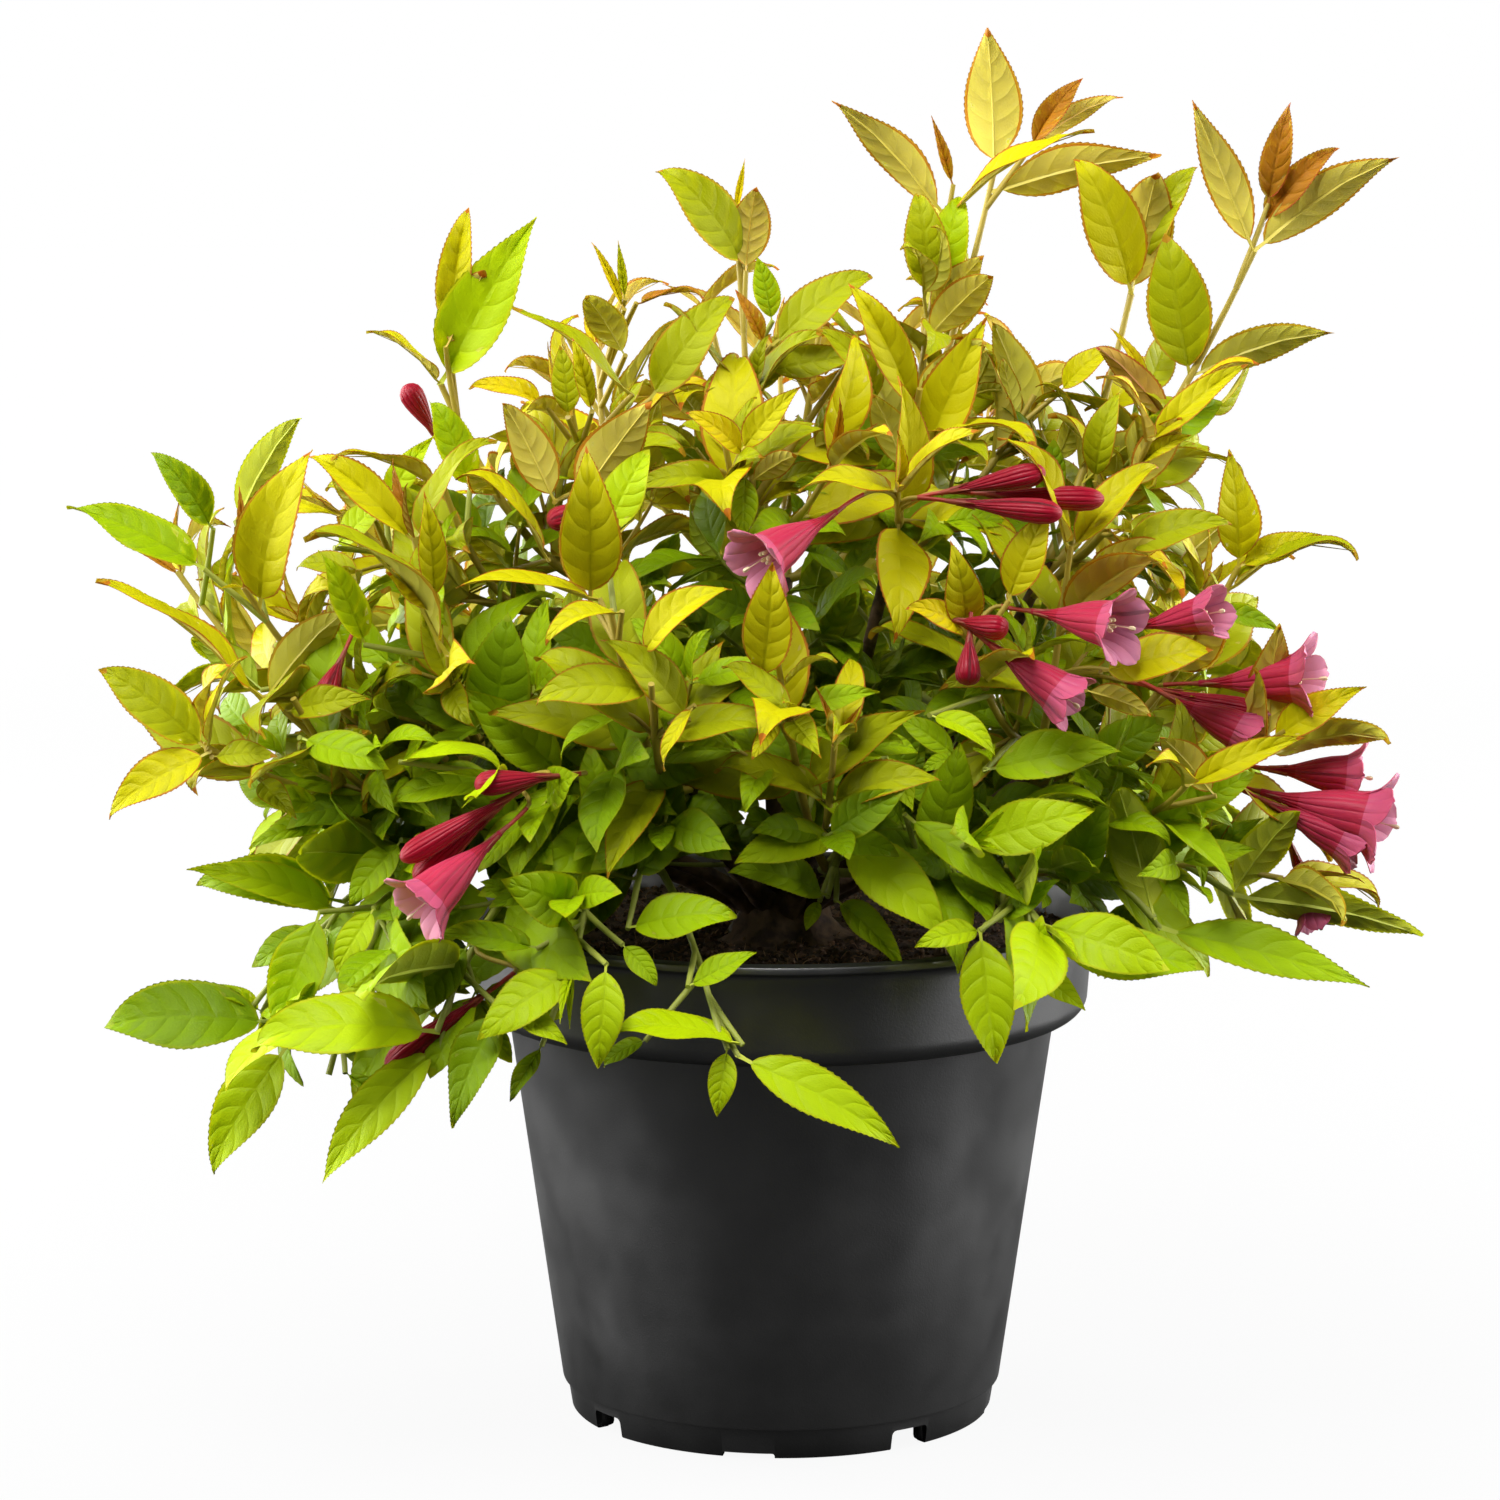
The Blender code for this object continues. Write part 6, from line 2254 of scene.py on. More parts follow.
@dataclass
class Blossom:
    """Buds and open flowers on their red stalks, with calyx, lobes, style and stamens."""

    seed: int = 3
    finish_base: VeinedFinish = petal("red", (0.420, 0.005, 0.030), (0.40, 0.58), 0.12, 0.05)
    finish_tube: VeinedFinish = petal("rose", (0.470, 0.018, 0.062), (0.42, 0.60), 0.15, 0.08)
    finish_lobe: VeinedFinish = petal("pink", (0.560, 0.080, 0.175), (0.42, 0.60), 0.15, 0.08)
    finish_inside: VeinedFinish = petal("pale", (0.640, 0.220, 0.340), (0.45, 0.62), 0.18, 0.08)
    finish_bud: VeinedFinish = petal("crimson", (0.330, 0.002, 0.018), (0.32, 0.48), 0.06, 0.05)
    finish_calyx: Finish = Finish("calyx_red", (0.30, 0.045, 0.020), (0.45, 0.60), 1200.0, 120.0, 0.05 * MM)
    finish_style: Finish = Finish("stamen_cream", (0.72, 0.62, 0.36), (0.45, 0.60), 1200.0, 120.0, 0.05 * MM)

    def build(self, plans: Sequence[FlowerPlan], stems: Sequence[Stem]) -> tuple[list[Mesh], list[Twig]]:
        """All flowers and the twigs that carry them.

        Args:
            plans: The flowers.
            stems: The stems that they grow from.

        Returns:
            The flowers' meshes and their stalks.
        """
        dice = random.Random(self.seed)
        finder, owners = finder_of(stems, 3)
        meshes: list[Mesh] = []
        stalks: list[Twig] = []
        for plan in plans:
            calyx = Vector(plan.calyx) * MM
            mouth = Vector(plan.mouth) * MM
            direction = (mouth - calyx).normalized()
            back = calyx - direction * (plan.stalk * MM)
            root, index, _ = finder.find(back)
            start, lead = Crown.behind(owners[index].way, root, 10 * MM)
            way = self.stalk_way(start, start + lead * ((back - start).length * 0.5), back, direction)
            stalks.append(Twig(way, [(0.95 - 0.02 * step) * MM for step in range(len(way))], Age.SHOOT))
            overlap = direction * (0.4 * MM)
            way = arc(back - overlap, calyx + overlap, dice.uniform(-0.5, 0.5), 5)
            stalks.append(Twig(way, [(0.80 - 0.04 * step) * MM for step in range(5)], Age.STALK))
            turn = direction.to_track_quat("Z", "Y").to_matrix().to_4x4()
            turn = Matrix.Translation(calyx) @ turn @ Matrix.Rotation(dice.uniform(0, tau), 4, "Z")
            for mesh in self.flower(plan.kind, (mouth - calyx).length, dice):
                mesh.transform(turn)
                meshes.append(mesh)
        return meshes, stalks

    @staticmethod
    def stalk_way(root: Vector, lead: Vector, end: Vector, direction: Vector) -> Way:
        """A twig that leaves the stem along it and turns into the flower's direction.

        Args:
            root: The twig's foot on the stem.
            lead: The stem's direction there.
            end: The flower's foot.
            direction: The flower's direction.

        Returns:
            The twig's way.
        """
        shares = [index / 9 for index in range(10)]
        before = end - direction * ((end - root).length * 0.35)
        return [
            root * (1 - s) ** 3 + lead * (3 * s * (1 - s) ** 2) + before * (3 * s * s * (1 - s)) + end * s**3
            for s in shares
        ]

    def flower(self, kind: FlowerKind, length: float, dice: random.Random) -> list[Mesh]:
        """One flower along +Z from its calyx.

        Args:
            kind: How far it has opened.
            length: Its length in metres.
            dice: The dice for its small differences.

        Returns:
            Its meshes in their materials.
        """
        made = [self.calyx()]
        if kind is FlowerKind.BUD:
            tube = smooth(tube_of("bud", flower_rows(length, BUD_PROFILE, 25, 5, 0.05)), 60)
            self.map_along(tube, length)
            tube.materials.append(self.finish_bud.made())
            made.append(tube)
            return made
        opening = 1.0 if kind is FlowerKind.OPEN else 0.55
        made.append(self.corolla(length, opening, dice))
        made += self.inner_parts(length, opening)
        return made

    def corolla(self, length: float, opening: float, dice: random.Random) -> Mesh:
        """A funnel with five round overlapping lobes at its mouth, as a thin closed wall.

        Args:
            length: The flower's length in metres.
            opening: How far its lobes are spread, from 0 to 1.
            dice: The dice for its small differences.

        Returns:
            The corolla in its four tones.
        """
        share = length / FUNNEL_LENGTH
        columns, rows = 8, 7
        sides = 5 * columns
        places: list[Vector] = []
        faces: list[list[int]] = []
        tones: list[int] = []
        for height, radius in FUNNEL_PROFILE:
            for angle in turns(sides):
                fold = 1 - 0.07 * height * cos(5 * angle)
                size = radius * fold * share
                places.append(Vector((size * cos(angle) * MM, size * sin(angle) * MM, height * length)))
        rings = len(FUNNEL_PROFILE) - 1
        for ring in range(rings):
            for corner in range(sides):
                low, after = ring * sides + corner, ring * sides + (corner + 1) % sides
                faces.append([low, after, after + sides, low + sides])
                tones.append(0 if ring < 3 else 1)
        mouth = rings * sides
        for lobe in range(5):
            middle = (lobe + 0.5) * columns
            lean = dice.uniform(0.8, 1.15)
            last = [mouth + (lobe * columns + column) % sides for column in range(columns + 1)]
            for row in range(1, rows + 1):
                v = row / rows
                radius = (THROAT_RADIUS + opening * lean * 6.4 * v**1.2) * share
                height = THROAT + (1 - THROAT) * (v - opening * lean * 0.42 * v * v)
                half = (4.35 + 2.0 * sin(pi * min(1.0, 0.72 * v))) * share
                half *= max(0.06, 1 - v**3.6) ** 0.5
                line = []
                for column in range(columns + 1):
                    a = 2 * column / columns - 1
                    angle = tau * middle / sides
                    inward = (half * a) ** 2 / (2 * max(radius, 1.0))
                    ruffle = 0.35 * v * sin(5 * a + 2 * lobe + 3 * lean)
                    out = radius - inward * (1 - 0.6 * v)
                    across = half * a
                    x = out * cos(angle) - across * sin(angle)
                    y = out * sin(angle) + across * cos(angle)
                    rise = height * length + (ruffle - 0.5 * v * a * a * opening) * MM
                    rise += 0.25 * MM * v * (1 if lobe % 2 else -1)
                    line.append(len(places))
                    places.append(Vector((x * MM, y * MM, rise)))
                for column in range(columns):
                    faces.append([last[column], last[column + 1], line[column + 1], line[column]])
                    tones.append(2 if row > 1 else 1)
                last = line
        sheet = mesh_of("corolla", places, faces)
        sheet.polygons.foreach_set("material_index", tones)
        inside = self.finish_inside.made()
        outside = (self.finish_base.made(), self.finish_tube.made(), self.finish_lobe.made())
        skins = (*outside, inside, inside, inside)
        holder = link_piece("corolla", sheet, skins)
        wall = holder.modifiers.new("Wall", "SOLIDIFY")
        wall.thickness = 0.32 * MM
        wall.offset = -1.0
        wall.material_offset = 3
        wall.material_offset_rim = 0
        mesh = baked(holder)
        self.map_along(mesh, length)
        return smooth(mesh, 70)

    @staticmethod
    def map_along(mesh: Mesh, length: float) -> None:
        """Lay the map's rows round the flower, so that its streaks run along it.

        Args:
            mesh: The flower's mesh.
            length: The flower's length.
        """
        chart = mesh.uv_layers.new(name="leaf_map")
        spots = []
        for loop in mesh.loops:
            place = mesh.vertices[loop.vertex_index].co
            spots += [place.z / length * 0.5, atan2(place.y, place.x) / tau + 0.5]
        chart.data.foreach_set("uv", spots)

    def calyx(self) -> Mesh:
        """The slim ovary and five narrow sepals.

        Returns:
            The calyx as a mesh.
        """
        meshes = [tube_of("ovary", flower_rows(8 * MM, OVARY_PROFILE, 10, 5, 0.05))]
        for angle in turns(5):
            rows = []
            for share, width in SEPAL_PROFILE:
                out = 1.0 + 0.9 * share**1.3
                ring = []
                for across, deep in SEPAL_CORNERS:
                    place = Vector(((out + deep) * MM, across * width * MM, (1.0 + 6.5 * share) * MM))
                    ring.append(Matrix.Rotation(angle, 3, "Z") @ place)
                rows.append(ring)
            meshes.append(tube_of("sepal", rows))
        holder = joined("calyx", meshes)
        mesh = holder.data.copy()
        bpy.data.objects.remove(holder)
        mesh.materials.append(self.finish_calyx.made())
        return smooth(mesh, 50)

    def inner_parts(self, length: float, opening: float) -> list[Mesh]:
        """The style with its round stigma and five stamens.

        Args:
            length: The flower's length.
            opening: How far it is open; not used.

        Returns:
            The meshes.
        """
        meshes = []
        for index in range(6):
            lean = 0.0 if index == 5 else 1.9
            angle = tau * index / 5
            out = Vector((cos(angle), sin(angle), 0.0)) * (lean * MM)
            top = length * (0.94 if index == 5 else 0.74)
            rows = []
            for share, radius in STAMEN_PROFILE:
                centre = out * share + UP * (top * share)
                rows.append([centre + Vector((cos(a), sin(a), 0.0)) * (radius * MM) for a in turns(6)])
            mesh = smooth(tube_of("stamen", rows), 50)
            mesh.materials.append(self.finish_style.made())
            meshes.append(mesh)
        return meshes


BUD, HALF, OPEN = FlowerKind

# For each flower how far it has opened, its calyx and its mouth, and its stalk where that is short
FLOWER_ROWS = (
    (OPEN, (82, -86, 292), (116, -112, 289)), (HALF, (116, -80, 286), (146, -98, 294)),
    (BUD, (54, -80, 331), (86, -84, 338)), (BUD, (56, -84, 328), (91, -94, 325)),
    (BUD, (66, -76, 330), (106, -76, 328)), (HALF, (67, -98, 283), (98, -110, 262)),
    (BUD, (61, -96, 286), (60, -104, 270), 8), (BUD, (56, -94, 290), (73, -102, 288), 8),
    (OPEN, (17, -98, 326), (-15, -122, 308)), (BUD, (-119, -8, 343), (-129, -10, 361)),
    (BUD, (126, -66, 263), (162, -72, 255)), (OPEN, (140, -56, 264), (184, -72, 268)),
    (HALF, (128, -72, 262), (160, -82, 247)), (OPEN, (162, -62, 236), (200, -66, 233)),
    (OPEN, (160, -68, 229), (208, -80, 218)), (HALF, (162, -72, 226), (196, -78, 210)),
    (HALF, (171, -60, 210), (182, -68, 180)), (BUD, (-74, -118, 242), (-100, -124, 240), 8),
    (BUD, (-88, -120, 236), (-124, -126, 216)), (OPEN, (-92, -122, 224), (-123, -140, 197)),
    (BUD, (-94, -116, 230), (-120, -120, 208)), (BUD, (-98, -114, 169), (-130, -120, 146)),
    (BUD, (-146, -78, 276), (-152, -86, 262)), (BUD, (-58, -64, 326), (-78, -72, 320)),
    (OPEN, (96, 128, 240), (122, 150, 236)), (HALF, (-20, 120, 300), (-26, 148, 296)),
    (BUD, (-84, 104, 300), (-98, 124, 304)), (OPEN, (-112, 96, 236), (-138, 112, 222)),
)
FLOWERS = tuple(FlowerPlan(*row) for row in FLOWER_ROWS)


# Pot and soil


@dataclass
class Pot:
    """The thin round pot with its lip, collar, notched foot ring and drain holes, in millimetres."""

    height: float = 178.0
    wall: float = 1.8
    lip_radius: float = 114.0
    lip_height: float = 2.8
    collar_top: float = 108.8
    collar_low: float = 107.2
    collar_height: float = 36.0
    collar_round: float = 7.0
    wall_top: float = 95.7
    wall_low: float = 77.3
    foot_height: float = 10.7
    foot_top: float = 75.6
    foot_low: float = 74.0
    foot_inner: float = 69.5
    floor_underside: float = 8.0
    pad_radius: float = 13.0
    notch_turn: float = 36.0
    deep_notch: Span = (15.0, 7.0)
    shallow_notch: Span = (18.0, 1.8)
    drain_radius: float = 5.0
    drain_ring: float = 55.0
    steps: int = 180
    finish: MottledFinish = MottledFinish(
        "pot_plastic", (0.0009, 0.0009, 0.0010), (0.34, 0.44), 1500.0, 38.0, 0.05 * MM, specular=0.95,
        ior=2.0, second=(0.0022, 0.0022, 0.0023),
    )

    def wall_radius(self, height: float) -> float:
        """The tapering wall's outer radius at a height."""
        share = (height - self.foot_height) / (self.height - self.collar_height - self.foot_height)
        return self.wall_low + share * (self.wall_top - self.wall_low)

    def rounded(self, outer: float, inset: float) -> list[Span]:
        """The collar's rounded lower edge, from its side to its underside.

        Args:
            outer: The collar's radius.
            inset: How far the wall stands back.

        Returns:
            Radius and height of each point.
        """
        low = self.height - self.collar_height
        radius = self.collar_round - inset
        centre = (outer - self.collar_round, low + self.collar_round)
        turns = [radians(angle) for angle in range(0, 91, 9)]
        return [(centre[0] + radius * cos(a), centre[1] - radius * sin(a)) for a in turns]

    def outside(self) -> list[Span]:
        """Down the outside from the lip to the foot, and in to the axis.

        Returns:
            Radius and height of each point.
        """
        top = self.height
        low = top - self.collar_height
        lip_low = top - self.lip_height
        return [
            (self.lip_radius - 3.0, top), (self.lip_radius - 1.0, top - 0.05),
            (self.lip_radius - 0.35, top - 0.30), (self.lip_radius, top - 0.9),
            (self.lip_radius, lip_low + 0.5), (self.lip_radius - 0.35, lip_low + 0.1),
            (self.lip_radius - 1.0, lip_low - 0.1), (self.collar_top + 1.4, lip_low - 0.9),
            (self.collar_top + 0.5, lip_low - 1.8), (self.collar_top + 0.1, lip_low - 3.0),
            (self.collar_top, lip_low - 4.6), *self.rounded(self.collar_low, 0.0),
            (self.wall_top + 0.8, low), (self.wall_top + 0.15, low - 0.25),
            (self.wall_top - 0.05, low - 1.0), (self.wall_radius(90.0), 90.0),
            (self.wall_radius(45.0), 45.0), (self.wall_low + 0.05, self.foot_height + 0.7),
            (self.wall_low - 0.15, self.foot_height + 0.15), (self.wall_low - 0.6, self.foot_height),
            (self.foot_top + 0.2, self.foot_height - 0.2), (self.foot_top, self.foot_height - 0.8),
            (self.foot_low + 0.1, 0.6), (self.foot_low - 0.3, 0.12), (self.foot_low - 0.8, 0.0),
            (self.foot_inner, 0.0), (self.foot_inner, self.floor_underside),
            (self.pad_radius, self.floor_underside), (self.pad_radius, 0.0), (0.0, 0.0),
        ]

    def inside(self, inset: float) -> list[Span]:
        """From the floor's centre up to the lip, drawn in by the inset.

        Args:
            inset: How far the line is drawn in.

        Returns:
            Radius and height of each point.
        """
        floor = self.floor_underside + self.wall + inset
        low = self.height - self.collar_height + self.wall
        wall = self.wall + inset
        return [
            (0.0, floor), (self.wall_radius(floor) - wall - 2.0, floor),
            (self.wall_radius(floor) - wall, floor + 2.0), (self.wall_top - wall, low + inset),
            *reversed(self.rounded(self.collar_low, wall)),
            (self.collar_top - wall, self.height - self.lip_height - 1.5),
            (self.collar_top - wall + 0.4, self.height - 0.5), (self.collar_top - wall + 1.0, self.height),
        ]

    def build(self) -> Thing:
        """The pot with its notches and holes cut, as one piece.

        Returns:
            The pot.
        """
        profile = self.outside() + self.inside(0.0)
        shell = link_piece("pot_shell", lathe("pot_shell", profile, self.steps))
        cutters = []
        for index in range(8):
            width, height = (self.deep_notch, self.shallow_notch)[index % 2]
            turn = self.notch_turn - 90.0 + 45.0 * index
            cutters.append(self.notch(width, height, turn))
        for index in range(4):
            turn = Matrix.Rotation(radians(45.0 + 90.0 * index), 4, "Z")
            ring, size = self.drain_ring, self.drain_radius
            outline = [(ring + size * cos(angle), size * sin(angle)) for angle in turns(32)]
            rows = [[Vector((*spot, height)) * MM for spot in outline] for height in (-2.0, 16.0)]
            mesh = tube_of("drain", rows)
            mesh.transform(turn)
            cutters.append(link_piece("drain", mesh))
        for cutter in cutters:
            cut = shell.modifiers.new("Cut", "BOOLEAN")
            cut.operation = "DIFFERENCE"
            cut.solver = "EXACT"
            cut.object = cutter
        body = baked(shell)
        for cutter in cutters:
            bpy.data.objects.remove(cutter)
        body.materials.clear()
        meshes = [body, *self.posts()]
        for mesh in meshes:
            smooth(mesh, 38)
            mesh.materials.append(self.finish.made())
        piece = joined("pot_body", meshes)
        return finish_piece(piece, ["pot"])

    def notch(self, width: float, height: float, turn: float) -> Thing:
        """A cutter with rounded upper corners for one notch of the foot ring.

        Args:
            width: The notch's width.
            height: Its height.
            turn: Its turn round the pot.

        Returns:
            The cutter.
        """
        corner = min(1.6, height * 0.5)
        outline = [(-width / 2, -2.0), (width / 2, -2.0), (width / 2, height - corner)]
        for edge, angles in ((width / 2 - corner, (30, 60, 90)), (-width / 2 + corner, (90, 120, 150, 180))):
            for a in map(radians, angles):
                outline.append((edge + corner * cos(a), height - corner + corner * sin(a)))
        rows = [[Vector((reach, across, high)) * MM for across, high in outline] for reach in (64.0, 82.0)]
        mesh = tube_of("notch", rows)
        mesh.transform(Matrix.Rotation(radians(turn), 4, "Z"))
        return link_piece("notch", mesh)

    def posts(self) -> list[Mesh]:
        """The rounded inner webs on both sides of each deep notch.

        Returns:
            The webs.
        """
        meshes = []
        width, _ = self.deep_notch
        for index in range(0, 8, 2):
            turn = self.notch_turn - 90.0 + 45.0 * index
            for side in (-1, 1):
                middle = side * (width / 2 + 1.3)
                rows = []
                top = self.floor_underside + 0.6
                for height, share in ((0.35, 0.80), (0.6, 0.93), (1.4, 1.0), (top, 1.0)):
                    spots = [(3.4 * share * cos(angle), 2.0 * share * sin(angle)) for angle in turns(20)]
                    rows.append([Vector((69.4 + out, middle + across, height)) * MM for out, across in spots])
                mesh = tube_of("post", rows)
                mesh.transform(Matrix.Rotation(radians(turn), 4, "Z"))
                meshes.append(mesh)
        return meshes


def lathe(name: str, profile: Sequence[Span], steps: int) -> Mesh:
    """A profile in millimetres turned about the Z axis, closed on itself or on the axis.

    Args:
        name: The mesh's name.
        profile: Radius and height at each point.
        steps: How many steps a turn has.

    Returns:
        The mesh with its faces outward.
    """
    places: list[Place] = []
    numbers: list[list[int]] = []
    for radius, height in profile:
        if radius <= 0:
            places.append((0.0, 0.0, height * MM))
            numbers.append([len(places) - 1] * steps)
            continue
        numbers.append(list(range(len(places), len(places) + steps)))
        high = height * MM
        places += [(radius * cos(angle) * MM, radius * sin(angle) * MM, high) for angle in turns(steps)]
    faces = []
    for low, high in zip(numbers, numbers[1:] + numbers[:1]):
        for step in range(steps):
            after = (step + 1) % steps
            faces.append(single((low[step], low[after], high[after], high[step])))
    faces = [face for face in faces if face]
    return outward(mesh_of(name, places, faces))


@dataclass
class Soil:
    """The plug of potting soil with its crumbs and fibres, in millimetres."""

    height: float = 168.0
    swell: float = 2.6
    rings: int = 56
    steps: int = 168
    clear: float = 0.3
    crumb_density: float = 52000.0
    fibre_density: float = 9000.0
    bed_finish: MottledFinish = MottledFinish(
        "soil_dark", (0.052, 0.030, 0.018), (0.85, 1.0), 900.0, 180.0, 0.6 * MM, second=(0.165, 0.098, 0.058)
    )
    crumb_finishes: tuple[Finish, ...] = (
        Finish("soil_crumb_dark", (0.085, 0.048, 0.028), (0.85, 1.0), 1400.0, 300.0, 0.25 * MM),
        Finish("soil_crumb_brown", (0.250, 0.145, 0.085), (0.85, 1.0), 1400.0, 300.0, 0.25 * MM),
    )
    fibre_finish: Finish = Finish("soil_fibre", (0.400, 0.250, 0.140), (0.80, 0.95), 1400.0, 300.0, 0.15 * MM)

    def top(self, radius: float, angle: float) -> float:
        """The crumbled surface's height.

        Args:
            radius: The distance from the axis.
            angle: The turn round it.

        Returns:
            The height in millimetres.
        """
        place = Vector((radius * cos(angle), radius * sin(angle), 0.0))
        broad = noise.noise(place / 26.0) * 0.6
        lumps = noise.noise(place / 7.0 + Vector((5, 3, 1))) * 0.75
        grit = noise.noise(place / 2.6 + Vector((1, 9, 4))) * 0.45
        return self.height + self.swell * (broad + lumps + grit) - 0.6

    def build(self, pot: Pot) -> Thing:
        """The bed, its crumbs and its fibres as one piece.

        Args:
            pot: The pot that holds it.

        Returns:
            The finished piece.
        """
        inner = [(r, h) for r, h in pot.inside(self.clear) if h < self.height - 4]
        rim = pot.collar_low - pot.wall - self.clear
        profile = inner + [(rim * (1 - ring / self.rings), self.height) for ring in range(self.rings + 1)]
        bed = lathe("soil_bed", profile[:-1] + [(0.0, self.height)], self.steps)
        for vertex in bed.vertices:
            radius = hypot(vertex.co.x, vertex.co.y) / MM
            if abs(vertex.co.z / MM - self.height) < 0.01:
                edge = min(1.0, max(0.0, (rim - radius) / 3.0))
                height = self.top(radius, atan2(vertex.co.y, vertex.co.x))
                vertex.co.z = (height * edge + (self.height - 1.5) * (1 - edge)) * MM
        smooth(bed, 80)
        bed.materials.append(self.bed_finish.made())
        ground = self.ground(bed)
        meshes = [bed]
        for index, finish in enumerate(self.crumb_finishes):
            crumbs, seed = self.crumbs(), 21 + index
            meshes.append(self.scatter(ground, crumbs, self.crumb_density, seed, finish, (0.5, 1.5)))
        fibres = self.fibres()
        meshes.append(self.scatter(ground, fibres, self.fibre_density, 31, self.fibre_finish, (0.6, 1.5)))
        piece = joined("soil_plug", meshes)
        return finish_piece(piece, ["soil"])

    def ground(self, bed: Mesh) -> Mesh:
        """The bed's top faces alone, to scatter on.

        Args:
            bed: The soil's bed.

        Returns:
            The faces as an own mesh.
        """
        copy = bed.copy()
        shape = bmesh.new()
        shape.from_mesh(copy)
        lowest = (self.height - 3.5) * MM
        low = [face for face in shape.faces if face.calc_center_median().z < lowest or face.normal.z < 0.2]
        bmesh.ops.delete(shape, geom=low, context="FACES")
        shape.to_mesh(copy)
        shape.free()
        return copy

    def crumbs(self) -> list[Mesh]:
        """A few angular crumbs about a millimetre across.

        Returns:
            The crumbs.
        """
        made = []
        for index in range(5):
            shape = bmesh.new()
            bmesh.ops.create_icosphere(shape, subdivisions=1, radius=0.9 * MM)
            for vertex in shape.verts:
                push = noise.noise(vertex.co * 900 + Vector((index * 3.1, 1.7, 0.4)))
                vertex.co *= 1.0 + 0.75 * push
                vertex.co.z *= 0.75
            mesh = bpy.data.meshes.new("crumb")
            shape.to_mesh(mesh)
            shape.free()
            made.append(mesh)
        return made

    def fibres(self) -> list[Mesh]:
        """A few short bent fibres.

        Returns:
            The fibres.
        """
        made = []
        for index in range(4):
            dice = random.Random(70 + index)
            foot, tip = Vector((-2.6, 0, 0)) * MM, Vector((2.6, 0.6, 0.4)) * MM
            way = arc(foot, tip, dice.uniform(-0.5, 0.5), 5, dice.uniform(-1.6, 1.6) * MM)
            rows = []
            for place in way:
                rows.append([place + Vector((0.0, cos(a), sin(a))) * (0.17 * MM) for a in (0.0, 2.1, 4.2)])
            made.append(tube_of("fibre", rows))
        return made

    def scatter(
        self, ground: Mesh, bits: Sequence[Mesh], density: float, seed: int, finish: Finish,
        sizes: Span,
    ) -> Mesh:
        """Bits strewn over the ground by a Geometry Nodes tree.

        Args:
            ground: The faces to strew on.
            bits: The bits to pick from.
            density: How many lie on a square metre.
            seed: The tree's fixed seed.
            finish: Their finish.
            sizes: Their least and greatest scale.

        Returns:
            A plain mesh.
        """
        box = bpy.data.collections.new("bits")
        for index, bit in enumerate(bits):
            box.objects.link(bpy.data.objects.new(f"bit_{index}", bit))
        holder = link_piece("strewn", ground.copy())
        strew = holder.modifiers.new("Strew", "NODES")
        strew.node_group = strew_tree()
        for label, value in (
            ("Bits", box), ("Density", density), ("Seed", seed), ("Least", sizes[0]), ("Most", sizes[1]),
            ("Finish", finish.made()),
        ):
            set_input(strew, label, value)
        mesh = baked(holder)
        for bit in list(box.objects):
            bpy.data.objects.remove(bit)
        bpy.data.collections.remove(box)
        return smooth(mesh, 25)


@cache
def strew_tree() -> Tree:
    """Bits on faces at random turns and sizes.

    Returns:
        The Geometry Nodes tree.
    """
    inputs = {"Geometry": "Geometry", "Bits": "Collection", "Density": "Float", "Seed": "Int"}
    inputs |= {"Least": "Float", "Most": "Float", "Finish": "Material"}
    net = new_group("strew", "Geometry", inputs, {"Geometry": "Geometry"})
    source, target = net.ends
    given = source.outputs
    points = net.node("GeometryNodeDistributePointsOnFaces")
    net.fill(points, {"Mesh": given["Geometry"], "Density": given["Density"], "Seed": given["Seed"]})
    turn = net.node("FunctionNodeRandomValue", data_type="FLOAT_VECTOR")
    live(turn.inputs, "Max").default_value = (tau, tau, tau)
    net.wire(given["Seed"], turn.inputs["Seed"])
    size = net.node("FunctionNodeRandomValue", data_type="FLOAT")
    net.wire(given["Least"], live(size.inputs, "Min"))
    net.wire(given["Most"], live(size.inputs, "Max"))
    place = net.instances(points.outputs["Points"], given["Bits"])
    net.fill(place, {"Rotation": live(turn.outputs), "Scale": live(size.outputs)})
    paint = net.painted(net.realised(place.outputs[0]), given["Finish"])
    net.wire(paint.outputs[0], target.inputs["Geometry"])
    return net.tree


# Studio


@dataclass(frozen=True)
class Softbox:
    """A soft light: its place, what it looks at, its sides and its power."""

    name: str
    place: Place
    aim: Place
    sides: Span
    power: float


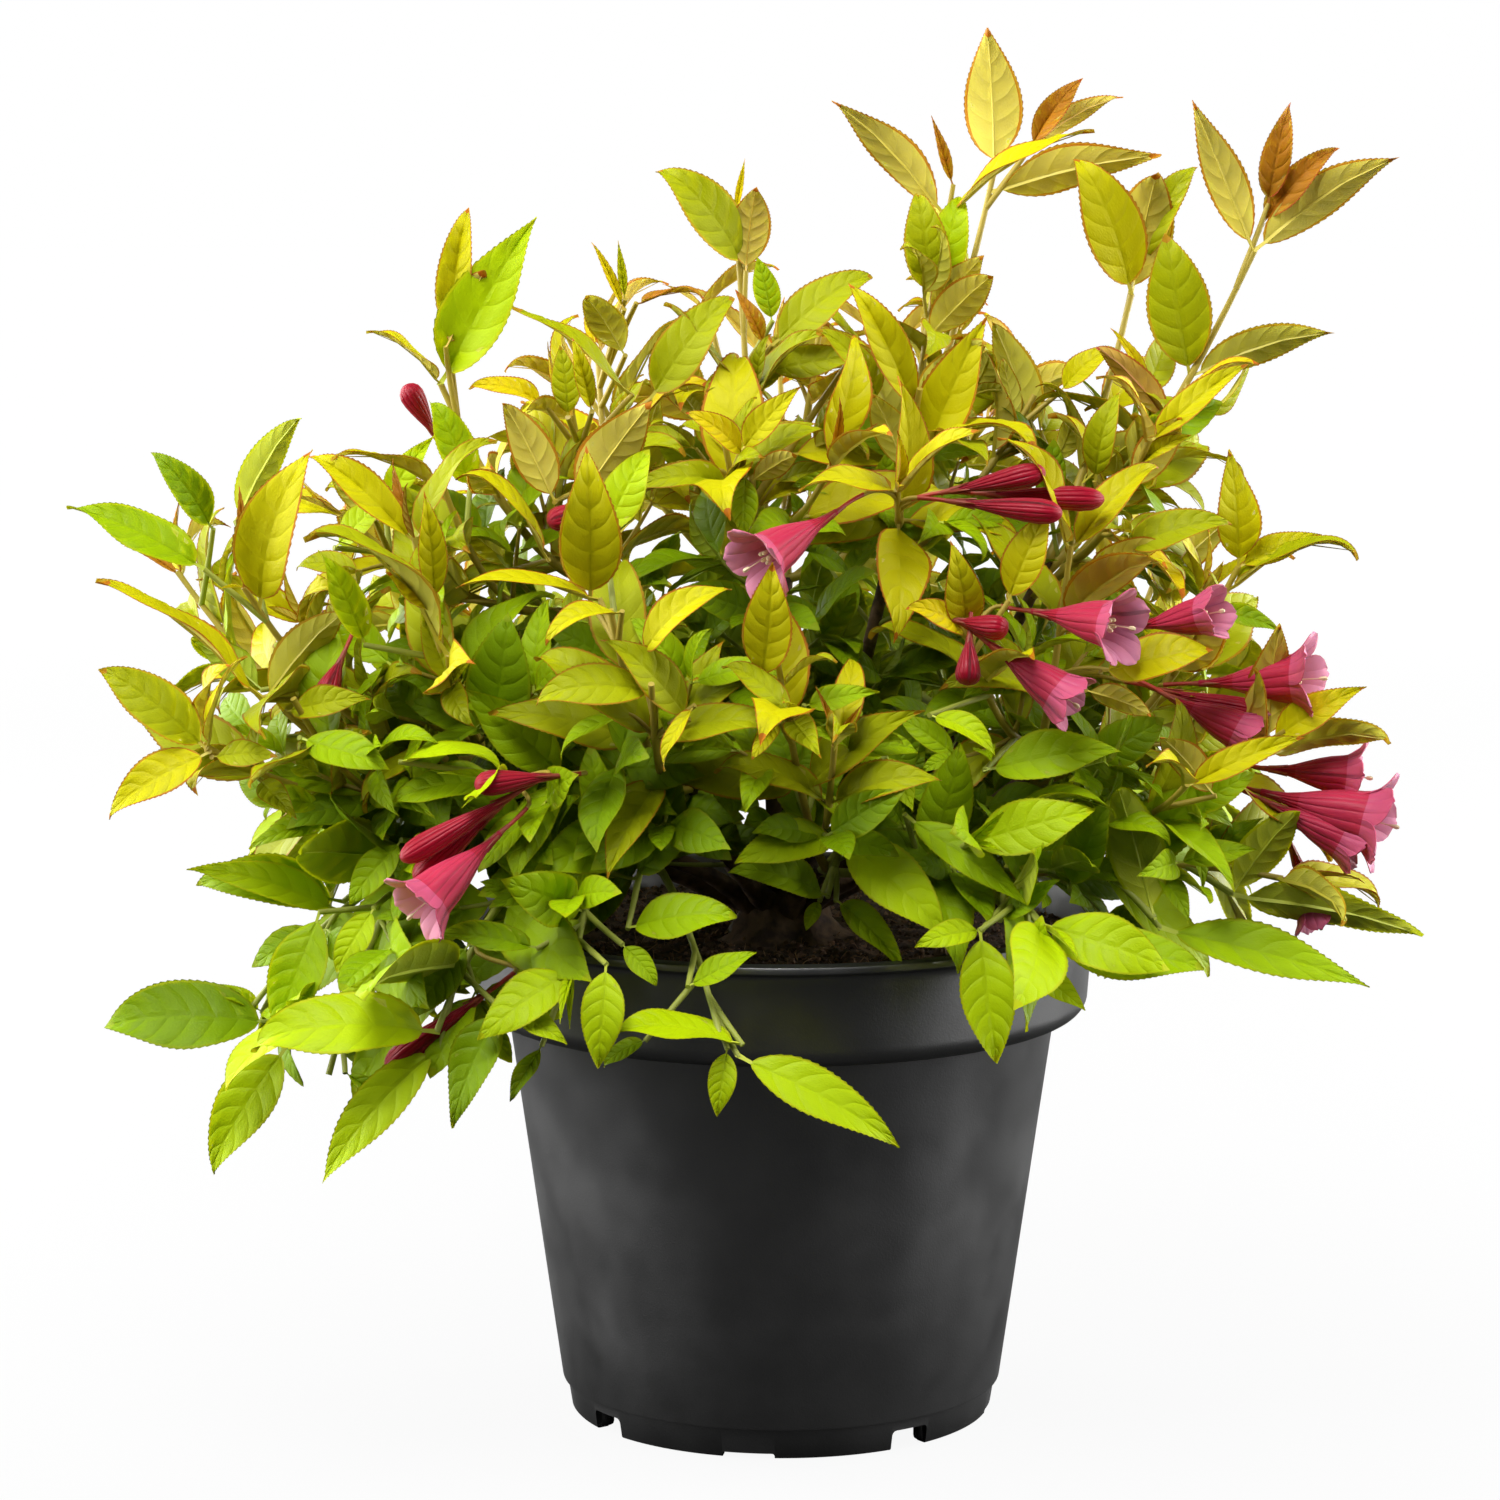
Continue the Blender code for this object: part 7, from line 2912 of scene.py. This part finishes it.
@dataclass
class Studio:
    """The camera at the photograph's angle, a pale floor and soft light from both sides and above."""

    camera_place: Place = (-0.011, -1.68, 0.484)
    camera_aim: Place = (-0.011, 0.0, 0.233)
    lens: float = 117.0
    sensor: float = 36.0
    floor_radius: float = 9.0
    floor_colour: Colour = (0.02, 0.02, 0.02)
    glow_reach: Span = (0.1, 2.4)
    glow: Span = (0.92, 1.0)
    world_strength: float = 0.025
    lights: tuple[Softbox, ...] = (
        Softbox("softbox_left", (-1.45, 0.00, 0.60), (0.0, 0.0, 0.22), (1.9, 1.5), 48.0),
        Softbox("softbox_right", (1.45, 0.00, 0.60), (0.0, 0.0, 0.22), (1.9, 1.5), 42.0),
        Softbox("softbox_top", (-0.30, -0.70, 1.60), (0.0, 0.0, 0.30), (0.9, 0.7), 27.0),
        Softbox("softbox_rim_left", (-1.15, 0.95, 0.45), (0.0, 0.0, 0.20), (1.1, 1.2), 20.0),
        Softbox("softbox_rim_right", (1.15, 0.95, 0.45), (0.0, 0.0, 0.20), (1.1, 1.2), 18.0),
    )

    def build(self) -> None:
        """Make the camera, the lights, the floor and the world."""
        data = bpy.data.cameras.new("camera")
        data.lens = self.lens
        data.sensor_width = self.sensor
        data.clip_start = 0.05
        data.clip_end = 50.0
        camera = bpy.data.objects.new("camera", data)
        camera.location = self.camera_place
        aim = Vector(self.camera_aim) - Vector(self.camera_place)
        camera.rotation_euler = aim.to_track_quat("-Z", "Y").to_euler()
        bpy.context.scene.collection.objects.link(camera)
        bpy.context.scene.camera = camera
        for box in self.lights:
            self.light(box)
        self.floor()
        self.world()
        bpy.context.scene.view_settings.view_transform = "Standard"
        bpy.context.scene.view_settings.look = "None"

    @staticmethod
    def light(box: Softbox) -> None:
        """Hang one soft light.

        Args:
            box: The light's size, place, aim and power.
        """
        data = bpy.data.lights.new(box.name, "AREA")
        data.shape = "RECTANGLE"
        data.size, data.size_y = box.sides
        data.energy = box.power
        lamp = bpy.data.objects.new(box.name, data)
        lamp.location = box.place
        lamp.rotation_euler = (Vector(box.aim) - Vector(box.place)).to_track_quat("-Z", "Y").to_euler()
        bpy.context.scene.collection.objects.link(lamp)

    def floor(self) -> None:
        """Lay a plain pale floor, which stays pale far off for the camera."""
        shape = bmesh.new()
        bmesh.ops.create_circle(shape, cap_ends=True, segments=96, radius=self.floor_radius)
        mesh = bpy.data.meshes.new("floor")
        shape.to_mesh(mesh)
        shape.free()
        material = bpy.data.materials.new("floor_pale")
        material.use_nodes = True
        net = Net(material.node_tree)
        shader = material.node_tree.nodes["Principled BSDF"]
        net.fill(shader, {"Base Color": (*self.floor_colour, 1.0), "Roughness": 0.95})
        net.fill(shader, {"Specular IOR Level": 0.1, "Emission Color": (1.0, 1.0, 1.0, 1.0)})
        reach = net.node("ShaderNodeVectorMath", operation="LENGTH")
        net.wire(net.node("ShaderNodeTexCoord").outputs["Object"], reach.inputs[0])
        near, far = self.glow_reach
        low, high = self.glow
        paling = {"From Min": near, "From Max": far, "To Min": low, "To Max": high}
        paling["Value"] = reach.outputs["Value"]
        glow = net.fill(net.node("ShaderNodeMapRange"), paling)
        rays = net.node("ShaderNodeLightPath")
        strength = net.math("MULTIPLY", rays.outputs["Is Camera Ray"], glow.outputs["Result"])
        net.wire(strength, shader.inputs["Emission Strength"])
        link_piece("floor", mesh, (material,))

    def world(self) -> None:
        """Light the scene evenly and weakly from all round."""
        world = bpy.data.worlds.new("studio")
        world.use_nodes = True
        bpy.context.scene.world = world
        net = Net(world.node_tree)
        back = world.node_tree.nodes["Background"]
        back.inputs["Color"].default_value = (1.0, 1.0, 1.0, 1.0)
        rays = net.node("ShaderNodeLightPath")
        strength = net.math("MULTIPLY", rays.outputs["Is Camera Ray"], 1.0 - self.world_strength)
        net.wire(net.math("ADD", strength, self.world_strength), back.inputs["Strength"])


def main() -> None:
    """Build every sub-assembly in order and report each piece."""
    logging.basicConfig(level=logging.INFO, format="%(name)s: %(message)s")
    pot = Pot()
    pot.build()
    Soil().build(pot)
    wood = Wood()
    ways = wood.ways()
    wood.build(ways)
    crown = Crown()
    crown.grow(ways)
    meshes, stalks = Blossom().build(FLOWERS, crown.stems)
    crown.twigs += stalks
    finish_piece(joined("blossom", meshes), nodes_named("foliage_"))
    crown.build()
    Studio().build()
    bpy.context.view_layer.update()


if __name__ == "__main__":
    main()
